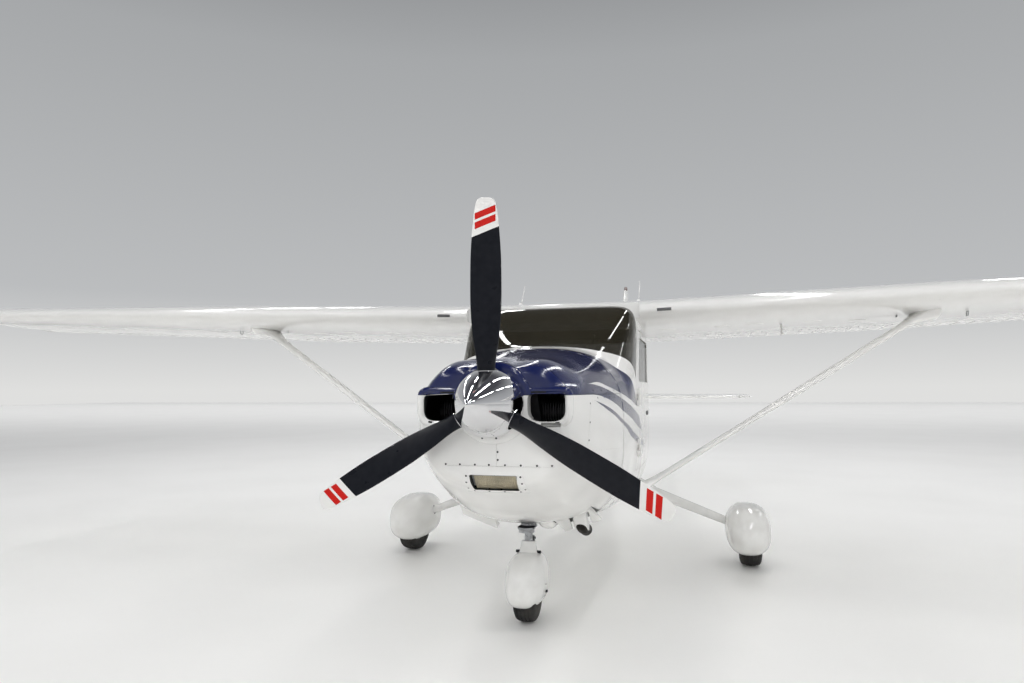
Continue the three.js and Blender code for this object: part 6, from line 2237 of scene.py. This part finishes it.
def make_engine():
    """The engine's crankcase with six finned cylinders, and the baffles beside it."""
    casting = metal_finish("Engine Casting", colour(0.10, 0.10, 0.105), 0.45, 0.7, 16, 0.35)
    fins_finish = metal_finish("Cylinder Fins", colour(0.16, 0.16, 0.165), 0.4, 0.6, 20, 0.1)
    case = prism(
        "case",
        rounded([(-0.17, 0.98), (0.17, 0.98), (0.20, 1.2), (0.17, 1.40), (-0.17, 1.40), (-0.20, 1.2)], 0.05),
        0.66, 1.25, "y"
    )
    shaft = turned("shaft", [(0, 0.045), (0.26, 0.045)], (0, 0.411, PROP_Z), AFT, 40)
    mounts = [
        tube("mount", [(x, 1.24, z - 0.03 * (z > 1.2)), (x * 1.15, 1.354, z)], 0.016, 16)
        for x in (-0.16, 0.16) for z in (1.04, 1.34)
    ]
    sump = prism(
        "sump", rounded([(-0.13, 0.951), (0.13, 0.951), (0.16, 1.0), (-0.16, 1.0)], 0.02), 0.72, 1.22, "y"
    )
    join(case, shaft, sump, *mounts)
    fit(case, "engine_crankcase", "airframe", "engine_casting", casting, ["engine_block"], 35)
    barrels, fins = [], []
    for side in (1, -1):
        plates = []
        for i in range(3):
            y = 0.755 + 0.165 * i + 0.03 * (side > 0)
            profile = [(0, 0.058), (0.19, 0.058), (0.192, 0.045), (0.21, 0.045)]
            barrels.append(turned("barrel", profile, (side * 0.16, y, CYLINDER_Z), (side, 0, 0), 32))
            size = 0.071
            low, high = CYLINDER_Z - size, CYLINDER_Z + size
            plate = [(y - size, low), (y + size, low), (y + size, high), (y - size, high)]
            plates.append(prism("fin", rounded(plate, 0.03, 4), *on_side(side, 0.172, 0.175), "x"))
        fins.append(
            grow(merge("fins", plates), ROW, Count=13, Step=(side * 0.0135, 0, 0), Finish=fins_finish)
        )
    fit(merge("cylinders", barrels), "engine_cylinders", "airframe", "engine_casting", casting, [], 35)
    fit(merge("fins", fins), "engine_cylinder_fins", "airframe", "engine_casting", fins_finish, [], 35)
    baffle = [
        prism(
            "baffle", rounded([(s * 0.12, 1.07), (s * 0.40, 1.10), (s * 0.40, 1.15), (s * 0.12, 1.12)], 0.01),
            0.69, 0.694, "y"
        )
        for s in (1, -1)
    ]
    fit(merge("baffles", baffle), "engine_baffles", "airframe", "engine_casting", fins_finish, [], 35)


def make_filter():
    """A pleated filter that leans with the scoop's mouth, in front of its case."""
    half, low, high = SCOOP["half"] - 0.0006, SCOOP["bottom"] + 0.0006, SCOOP["top"] - 0.0006
    lean, middle = 0.95, (SCOOP["bottom"] + SCOOP["top"]) / 2
    leaning = Matrix(((1, 0, 0, 0), (0, 1, -lean, lean * middle), (0, 0, 1, 0), (0, 0, 0, 1)))
    paper_finish = dark_inside("Filter Paper", colour(0.62, 0.56, 0.42), 900)
    pleats = 44
    ridges = [
        (-half + 0.006 + (2 * half - 0.012) * i / pleats, 0.503 if i % 2 else 0.511)
        for i in range(pleats + 1)
    ]
    paper = prism(
        "paper", ridges + [(half - 0.006, 0.530), (0.006 - half, 0.530)], low + 0.005, high - 0.005, "z"
    )
    case = plate("case", -half, half, low, high, 0.004, 0.585, 0.6895, "y")
    rim = plate("rim", -half, half, low, high, 0.004, 0.500, 0.534, "y")
    cut(rim, plate("inside", 0.007 - half, half - 0.007, low + 0.006, high - 0.006, 0.003, 0.48, 0.56, "y"))
    move(paper, leaning)
    move(rim, leaning)
    fit(paper, "filter_paper", "airframe", "air_filter", paper_finish, [], 20)
    fit(rim, "filter_rim", "airframe", "air_filter", steel, [], 30)
    fit(case, "filter_case", "airframe", "air_filter", paper_finish, ["induction_filter"], 30)


def make_scoop_plate():
    """The raised plate round the scoop's mouth."""
    layer = skin_body("plate", 0.441, 0.62, 0.01, -0.0022)
    cut(layer, skin_body("hollow", 0.43, 0.7, 0.012, 0.0005))
    outline = [(-0.165, 0.838), (0.165, 0.838), (0.150, 0.958), (-0.150, 0.958)]
    keep(layer, prism("outline", rounded(outline, 0.006), 0.40, 0.58, "y"))
    cut(layer, scoop_mouth())
    fit(layer, "scoop_plate", "airframe", "white_paint", plain_white, [], 30)


# Small pieces on the skin
def make_fin_beacon():
    glass = Finish("Beacon Lens", Coat_Weight=1.0, Coat_Roughness=0.02, Roughness=0.08)
    glass.patchy(colour(0.22, 0.16, 0.15), colour(0.14, 0.10, 0.10), 30)
    lens = turned(
        "lens",
        [(0.0, 0.026), (0.004, 0.027), (0.030, 0.0265), (0.048, 0.0235), (0.058, 0.016), (0.0629, 0.003)],
        (0, 8.3, 2.867), UP, 40
    )
    fit(lens, "beacon_lens", "airframe", "white_paint", glass.material, [], 35)


def lens_finish(name, base):
    finish = Finish(name, Coat_Weight=1.0, Coat_Roughness=0.02, Roughness=0.06)
    finish.patchy(base, shade_of(base, 0.7), 25)
    return finish.material


def make_lights_on_wings():
    red = lens_finish("Red Lens", colour(0.35, 0.01, 0.01))
    green = lens_finish("Green Lens", colour(0.01, 0.16, 0.06))
    for name, side in SIDES:
        x, y, z = wing_point(5.452, 0.16, 0.02)
        body = turned(
            "body", [(-0.08, 0.004), (-0.055, 0.015), (-0.01, 0.020), (0.03, 0.018), (0.05, 0.006)],
            (side * x, y, z), AFT, 24
        )
        move(body, Matrix.Translation((side * 0.004, 0, 0)))
        cut(body, block("outer", *on_side(side, 5.4835, 5.6), 0, 9, 0, 9))
        lens = turned(
            "lens", [(-0.048, 0.004), (-0.035, 0.0135), (-0.005, 0.0155), (0.012, 0.010)],
            (side * (x + 0.014), y, z + 0.001), AFT, 24
        )
        cut(lens, block("outer", *on_side(side, 5.4842, 5.6), 0, 9, 0, 9))
        fit(body, f"wing_light_{name}_housing", "airframe", "white_paint", plain_white, [], 40)
        fit(lens, f"wing_light_{name}_lens", "airframe", "white_paint", red if side > 0 else green, [], 40)


def make_aerials():
    for name, foot, top in (
        ("port", (0.550, 3.000, 2.062), (0.563, 3.010, 2.246)),
        ("starboard", (-0.423, 2.900, 2.055), (-0.387, 2.905, 2.227))
    ):
        whip = tube("whip", [foot, top], [0.0042, 0.0022], 12)
        x, y, z = foot
        base = prism(
            "base",
            rounded(
                [
                    (y - 0.045, z - 0.012), (y + 0.055, z - 0.012), (y + 0.02, z + 0.028),
                    (y - 0.01, z + 0.028)
                ],
                0.008
            ),
            x - 0.012, x + 0.012, "x"
        )
        fit(join(base, whip), f"aerial_{name}", "airframe", "white_paint", plain_white, [], 40)
    mid = prism(
        "blade", rounded([(3.86, 1.74), (4.02, 1.70), (4.02, 1.92), (3.98, 1.93)], 0.01), -0.006, 0.006, "x"
    )
    fit(mid, "roof_blade_aerial", "airframe", "white_paint", plain_white, [], 40)
    probe_shade = tube("shade", [(0.33, 1.80, 1.665), (0.335, 1.765, 1.715)], [0.008, 0.009], 16)
    fit(probe_shade, "outside_air_probe", "airframe", "bare_steel", steel, [], 40)
    # Pitot tube under the port wing, on its mast
    x, y, z = wing_point(1.612, 0.40, -0.034)
    mast = prism(
        "mast",
        rounded(
            [(y - 0.02, z + 0.012), (y + 0.035, z + 0.012), (y + 0.005, z - 0.085), (y - 0.03, z - 0.085)],
            0.008
        ),
        x - 0.006, x + 0.006, "x"
    )
    tip = turned(
        "tip", [(-0.13, 0.0045), (-0.125, 0.0065), (0.0, 0.0085), (0.012, 0.004)], (x, y, z - 0.080), AFT, 20
    )
    fit(join(mast, tip), "pitot_tube", "airframe", "white_paint", plain_white, [], 40)
    rings = []
    for name, side in SIDES:
        x, y, z = wing_point(2.79, 0.30, -0.036)
        rings.append(
            tube(
                "ring",
                [
                    (side * x, y + 0.018, z + 0.004),
                    *[
                        (side * x, y + 0.017 * math.cos(a), 1.852 - 0.0125 * math.sin(a))
                        for a in np.linspace(0, math.pi, 10)
                    ],
                    (side * x, y - 0.018, z + 0.004)
                ],
                0.0042, 10
            )
        )
    fit(merge("rings", rings), "wing_tie_down_rings", "airframe", "bare_steel", steel, [], 60)


def make_vents():
    """Cabin air vents in the wing roots' leading edge, with a bright rim, and a pin by each strut's top."""
    slots, rims, pins = [], [], []
    for _, side in SIDES:
        for kind, inner, outer, radius, share in (
            (slots, 0.742, 0.838, 0.0120, 0.0017), (rims, 0.735, 0.845, 0.0135, 0.0035)
        ):
            path = [wing_point(side * x, share, -0.006) for x in (inner, outer)]
            kind.append(tube("vent", path, radius, 16))
        x, y, z = wing_point(2.35, 0.30, -0.030)
        pins.append(
            turned(
                "pin", [(0, 0.009), (0.012, 0.009), (0.013, 0.006), (0.030, 0.005)], (side * x, y, z),
                (0, 0, -1), 16
            )
        )
    grille = dark_inside("Vent Grille", colour(0.13, 0.13, 0.13), 700)
    fit(merge("vents", slots), "wing_root_vents", "airframe", "white_paint", grille, [], 60)
    fit(merge("rims", rims), "wing_root_vent_rims", "airframe", "white_paint", plain_white, [], 60)
    fit(merge("pins", pins), "strut_top_pins", "airframe", "bare_steel", steel, [], 40)


def make_handles():
    for name, side in SIDES:
        x = side * 0.6125
        pocket = plate("handle", 2.76, 2.885, 1.150, 1.182, 0.012, *sorted((x, side * 0.6195)), "x")
        grip = plate("grip", 2.775, 2.872, 1.158, 1.174, 0.007, *on_side(side, 0.6195, 0.6245), "x")
        fit(pocket, f"door_{name}_handle_plate", f"cabin_door_{name}", "bare_steel", dark_steel, [], 40)
        fit(grip, f"door_{name}_handle", f"cabin_door_{name}", "bare_steel", steel, [], 40)
    latch = turned("latch", [(0, 0.014), (0.004, 0.013), (0.005, 0.010)], (0.552, 4.165, 1.15), TO_PORT, 24)
    fit(latch, "baggage_door_latch", "baggage_hatch", "bare_steel", steel, [], 40)


KNUCKLE = 0.040


def hinge_knuckles(x, y, low, moving):
    """The knuckles of one hinge: the middle one moves with its leaf."""
    pieces = []
    for k in (1,) if moving else (0, 2):
        z0, z1 = low + KNUCKLE * k + 0.0005, low + KNUCKLE * (k + 1) - 0.0005
        pieces.append(
            turned(
                "knuckle", [(0, 0.0075), (0.0012, 0.009), (z1 - z0 - 0.0012, 0.009), (z1 - z0, 0.0075)],
                (x, y, z0), UP, 24
            )
        )
        reach = (y, y + KNUCKLE) if moving else (y - KNUCKLE, y)
        pieces.append(
            block("arm", *sorted((x - math.copysign(0.030, x), x - math.copysign(0.0015, x))), *reach, z0, z1)
        )
    return join(pieces[0], *pieces[1:])


def make_hinges():
    for name, side in SIDES:
        for body, moving in (("airframe", False), (f"cabin_door_{name}", True)):
            pieces = [hinge_knuckles(side * 0.612, 1.997, low, moving) for low in (0.900, 1.240)]
            label = f"door_{name}_hinge_{'leaf' if moving else 'seat'}"
            fit(merge("hinge", pieces), label, body, "white_paint", plain_white, [], 35)
    for body, moving in (("airframe", False), ("baggage_hatch", True)):
        pieces = [hinge_knuckles(0.56295, 3.797, low, moving) for low in (0.960, 1.180)]
        label = f"baggage_hinge_{'leaf' if moving else 'seat'}"
        fit(merge("hinge", pieces), label, body, "white_paint", plain_white, [], 35)


firewall_sheet = metal_finish("Firewall Sheet", colour(0.44, 0.44, 0.43), 0.32, 0.5, 12)


def make_floor():
    """The cabin floor with the belly skin under it, and the finish of the CAD's own firewall."""
    belly = shell("belly", CABIN_START, CABIN_END, 0.03, 0.03)
    keep(belly, block("below", -WIDE, WIDE, CABIN_START, CABIN_END, 0, BELLY_TOP))
    deck = skin_body("deck", CABIN_START + 0.0005, 3.6395, 0.05, 0.004)
    keep(deck, block("below", -WIDE, WIDE, 1.3, 3.7, 0, 0.7195))
    join(belly, deck)
    cut(belly, strut_body("seat", 0.0006, -0.02, 0.3), mirrored_strut())
    fit(
        belly, "cabin_belly_skin", "airframe", "white_paint", [banded_white, carpet], ["cabin_floor"], 30,
        choose=floor_faces
    )
    frame["nodes"]["firewall"].material_slots[0].material = firewall_sheet


def mirrored_strut():
    strut = strut_body("seat", 0.0006, -0.02, 0.3)
    return move(strut, MIRROR)


def floor_faces(centres, normals):
    return ((normals[:, 2] > 0.5) & (centres[:, 2] > 0.7) & (centres[:, 2] < 0.74)).astype(int)


# Screws and rivets
RIVET = (0.0028, 0.0008)
screw_steel = metal_finish("Dark Screw Heads", colour(0.07, 0.07, 0.075), 0.3, 0.5, 60)
# Rivet heads: a grey darker than the skin's white and a heavy share of grime. This is painted shade round
# each head, so the rows show as faint dark dots.
shaded_rivet_paint = gloss_paint("Rivet Paint", colour(0.60, 0.595, 0.575), rough=(0.2, 0.3), grime_and_shade=0.4).material

NOSE_SCREWS = [(-0.050, 1.119), (0.022, 1.119), (0.0245, 1.051), (0.0255, 1.012),
               *[(x, 0.987) for x in (-0.244, -0.170, -0.092, -0.020, 0.062, 0.142, 0.223, 0.295)]]
SCOOP_SCREWS = [
    *[(side * x, z) for side in (1, -1) for x, z in ((0.139, 0.930), (0.143, 0.896), (0.148, 0.861))],
    *[(x, 0.8465) for x in (-0.12, -0.04, 0.04, 0.12)], *[(x, 0.9485) for x in (-0.10, -0.033, 0.033, 0.10)]
]
SIDE_SCREWS = [
    (0.668, 1.285), (0.640, 1.190), (0.634, 1.100), *[(a, 1.312) for a in (0.80, 0.92, 1.04, 1.16, 1.28)]
]
SIDE_RIVETS = [(a, 1.082 - 0.054 * a) for a in np.arange(0.66, 1.33, 0.042)]
DECK_SCREWS = [(a, 1.350) for a in (0.78, 0.92, 1.06, 1.20)]


def found(finder, starts, direction):
    places = [finder(start, direction) for start in starts]
    return [place for place in places if place is not None]


def make_cowl_screws():
    lower, upper, plate = (
        skin_finder(bpy.data.objects[n]) for n in ("cowl_lower_skin", "cowl_upper_skin", "scoop_plate")
    )
    ahead = (0, 1, 0)
    places = found(lower, [(x, 0.3, z) for x, z in NOSE_SCREWS], ahead)
    places += found(plate, [(x, 0.3, z) for x, z in SCOOP_SCREWS], ahead)
    rivets = []
    for side in (1, -1):
        inwards = (-side, 0, 0)
        places += found(lower, [(side * WIDE, a, z) for a, z in SIDE_SCREWS], inwards)
        places += found(upper, [(side * WIDE, a, z) for a, z in DECK_SCREWS], inwards)
        rivets += found(lower, [(side * WIDE, a, z) for a, z in SIDE_RIVETS], inwards)
    for turn in np.radians(np.arange(-70, 71, 14)):
        out = (math.sin(turn), 0, math.cos(turn))
        places += found(upper, [(out[0] * WIDE, 1.338, 1.15 + out[2] * WIDE)], (-out[0], 0, -out[2]))
    heads("cowl_screws", "airframe", "bare_steel", screw_steel, places, 0.0055, 0.0014, 10, 0.8)
    heads("cowl_rivets", "airframe", "white_paint", shaded_rivet_paint, rivets, *RIVET, 8)


def fuselage_place(aft, turn):
    def at(a, t):
        bottom, middle, top, half, below, above, _ = section_at(a)
        s, c = math.sin(t), math.cos(t)
        power = 2 / (above if c >= 0 else below)
        height = top - middle if c >= 0 else middle - bottom
        return np.array([half * squared(s, power), a, middle + height * squared(c, power)])

    return surface_place(at, aft, turn)


def make_fuselage_rivets():
    """Rows round the frames, and along the stringers."""
    places = []
    for aft, count, high in (
        (1.398, 66, 9), (3.024, 66, 1.70), (4.368, 56, 9), (4.425, 56, 9), (5.52, 44, 9), (6.64, 34, 9),
        (7.76, 24, 9)
    ):
        for turn in np.linspace(0.03, 2 * math.pi - 0.03, count):
            place = fuselage_place(aft, turn)
            if place[0][2] < high and (aft < 7 or place[0][2] < 1.3):
                places.append(place)
    for turn in (50, 88, 128):
        for aft in np.arange(4.48, 7.72, 0.055):
            places += [fuselage_place(aft, side * math.radians(turn)) for side in (1, -1)]
    for aft in np.arange(1.45, 4.33, 0.05):
        places += [fuselage_place(aft, side * math.radians(137)) for side in (1, -1)]
    heads("fuselage_rivets", "airframe", "white_paint", shaded_rivet_paint, places, *RIVET, 8)


def wing_place(x, share, upper):
    def at(a, s):
        heights = airfoil(s, 0.12)
        return np.array(wing_point(a, s, float(heights[0 if upper else 1])))

    point, normal = surface_place(at, x, share)
    return point, normal if (normal[2] > 0) == upper else -normal


WING_RIBS = (0.95, 1.35, 1.75, 2.15, 2.50, 2.95, 3.35, 3.75, 4.15, 4.55, 4.95, 5.24)
COVERS = [
    (0.80, 0.36), (1.19, 0.35), (1.42, 0.34), (1.82, 0.35), (2.13, 0.40), (3.15, 0.40), (3.95, 0.42),
    (4.75, 0.42)
]


def make_wing_rivets():
    """Rows along the ribs and the spars of both wings, and round covers under them."""
    places, marks, covers = [], [], []
    for upper in (True, False):
        for x in WING_RIBS:
            places += [wing_place(x, s, upper) for s in np.arange(0.04, 0.69, 0.036)]
        for share in (0.24, 0.66):
            places += [wing_place(x, share, upper) for x in np.arange(0.66, 5.27, 0.062)]
    marks += [wing_place(x, 0.698, False) for x in np.arange(0.68, 2.5, 0.060)]
    covers += [wing_place(x, share, False) for x, share in COVERS]
    flip = np.array([-1, 1, 1])
    for name, body, slot, finish, which, radius, height, sides, top in (
        ("wing_rivets", "airframe", "white_paint", shaded_rivet_paint, places, *RIVET, 6, 0.7),
        ("wing_flap_bay_screws", "airframe", "bare_steel", screw_steel, marks, 0.0065, 0.0012, 8, 0.7),
        ("wing_inspection_covers", "airframe", "white_paint", plain_white, covers, 0.060, 0.0014, 40, 0.985),
    ):
        both = which + [(p * flip, n * flip) for p, n in which]
        heads(name, body, slot, finish, both, radius, height, sides, top)


def make_tail_rivets():
    finders = [skin_finder(bpy.data.objects[n]) for n in ("stabilizer_skin", "fin_skin")]
    places = []
    for x in (-1.5, -1.1, -0.7, -0.35, 0.35, 0.7, 1.1, 1.5):
        for aft in np.arange(7.45 + 0.16 * abs(x), 7.97, 0.045):
            for direction in ((0, 0, -1), (0, 0, 1)):
                places += found(finders[0], [(x, aft, TAIL_Z - 0.3 * direction[2])], direction)
    for z in (1.65, 1.95, 2.25, 2.55):
        for aft in np.arange(7.25 + 0.69 * (z - 1.56), rudder_line(z) - 0.05, 0.045):
            for side in (1, -1):
                places += found(finders[1], [(side * 0.3, aft, z)], (-side, 0, 0))
    heads("tail_rivets", "airframe", "white_paint", shaded_rivet_paint, places, *RIVET, 6)


# Floor, light and camera
def make_stage():
    size = 60
    floor = link(
        "floor", [(-size, -size, 0), (size, -size, 0), (size, size, 0), (-size, size, 0)], [(0, 1, 2, 3)]
    )
    finish = Finish("Pale Floor", Roughness=0.32, IOR=1.4)
    finish.patchy(colour(0.95, 0.945, 0.925), colour(0.90, 0.895, 0.875), 0.6)
    coat(floor, finish.material)

    world = bpy.data.worlds.new("studio")
    world.use_nodes = True
    bpy.context.scene.world = world
    bpy.context.scene.view_settings.view_transform = "Standard"
    net = Net(world.node_tree)
    up = net.add("ShaderNodeSeparateXYZ", {0: net.add("ShaderNodeTexCoord").outputs["Generated"]}).outputs[2]
    ramp = net.add("ShaderNodeValToRGB", {0: up})
    stops = ramp.color_ramp.elements
    stops[0].position, stops[0].color = 0.0, colour(0.74, 0.74, 0.73)
    stops[1].position, stops[1].color = 0.72, colour(0.08, 0.08, 0.09)
    stops.new(0.12).color = colour(0.50, 0.51, 0.52)
    stops.new(0.42).color = colour(0.38, 0.39, 0.40)
    backdrop = world.node_tree.nodes["Background"]
    net.tree.links.new(ramp.outputs[0], backdrop.inputs[0])
    backdrop.inputs[1].default_value = 1.0


LAMP_ROWS = (-12.5, -9.0, -5.5, -2.0, 1.5, 5.0, 8.5)
LAMP_COLUMNS = (-7.5, -2.5, 2.5, 7.5)
LAMP_HEIGHT, LAMP_WIDTH, LAMP_LENGTH, LAMP_POWER = 8.0, 0.3, 2.6, 52
# Washes of light on the far floor: place, width, depth, power and turn
FLOOR_WASHES = [
    ((0, 40, 14), 150, 50, 22000, 0),
    ((0, -46, 14), 80, 50, 5000, 0),
    ((46, 0, 14), 80, 50, 5000, math.pi / 2),
    ((-46, 0, 14), 80, 50, 5000, math.pi / 2),
]


def add_lamp(name, place, width, depth, power, turn=(0, 0, 0)):
    data = bpy.data.lights.new(name, "AREA")
    data.shape = "RECTANGLE"
    data.size, data.size_y = width, depth
    data.energy = power
    lamp = new_object(name, data)
    lamp.location = place
    lamp.rotation_euler = turn
    return lamp


def make_lights():
    """Rows of long lamps under the roof, a broad fill in front and the washes, which nothing mirrors."""
    for i, y in enumerate(LAMP_ROWS):
        for j, x in enumerate(LAMP_COLUMNS):
            add_lamp(f"roof_lamp_{i}_{j}", (x, y, LAMP_HEIGHT), LAMP_WIDTH, LAMP_LENGTH, LAMP_POWER)
    fill = add_lamp("front_fill", (3.0, -16.0, 4.0), 10, 6, 260, (1.25, 0, 0.2))
    washes = [add_lamp(f"floor_wash_{i}", *row, (0, 0, turn)) for i, (*row, turn) in enumerate(FLOOR_WASHES)]
    for lamp in (fill, *washes):
        lamp.visible_glossy = lamp.visible_camera = False


# The photograph's view: place, turn, tilt and roll in degrees, focal length and width in pixels
VIEW_PLACE, VIEW_ANGLES = (0.9587, -7.4746, 1.3643), (-13.7894, 3.6747, -0.2879)
FOCAL_PIXELS, PHOTO_PIXELS, SENSOR = 727.97, 1024, 36


def make_camera():
    """The photograph's view."""
    turn, tilt, roll = (math.radians(a) for a in VIEW_ANGLES)
    ahead = Vector((math.sin(turn) * math.cos(tilt), math.cos(turn) * math.cos(tilt), math.sin(tilt)))
    right = Vector((math.cos(turn), -math.sin(turn), 0))
    up = right.cross(ahead)
    leant_right = right * math.cos(roll) + up * math.sin(roll)
    leant_up = up * math.cos(roll) - right * math.sin(roll)
    data = bpy.data.cameras.new("photograph")
    data.sensor_width = SENSOR
    data.lens = FOCAL_PIXELS * SENSOR / PHOTO_PIXELS
    data.clip_end = 300
    camera = new_object("photograph", data)
    axes = Matrix((leant_right, leant_up, -ahead)).transposed().to_4x4()
    camera.matrix_world = Matrix.Translation(VIEW_PLACE) @ axes
    bpy.context.scene.camera = camera


make_stage()
make_lights()
make_camera()
make_cowl()
make_cabin()
make_propeller()
make_wings()
make_tail()
make_main_gear()
make_nose_gear()
make_cowl_flaps()
make_exhaust()
make_glass()
make_instrument_panel()
make_seats()
make_engine()
make_filter()
make_scoop_plate()
make_fin_beacon()
make_lights_on_wings()
make_aerials()
make_vents()
make_handles()
make_hinges()
make_floor()
make_cowl_screws()
make_fuselage_rivets()
make_wing_rivets()
make_tail_rivets()
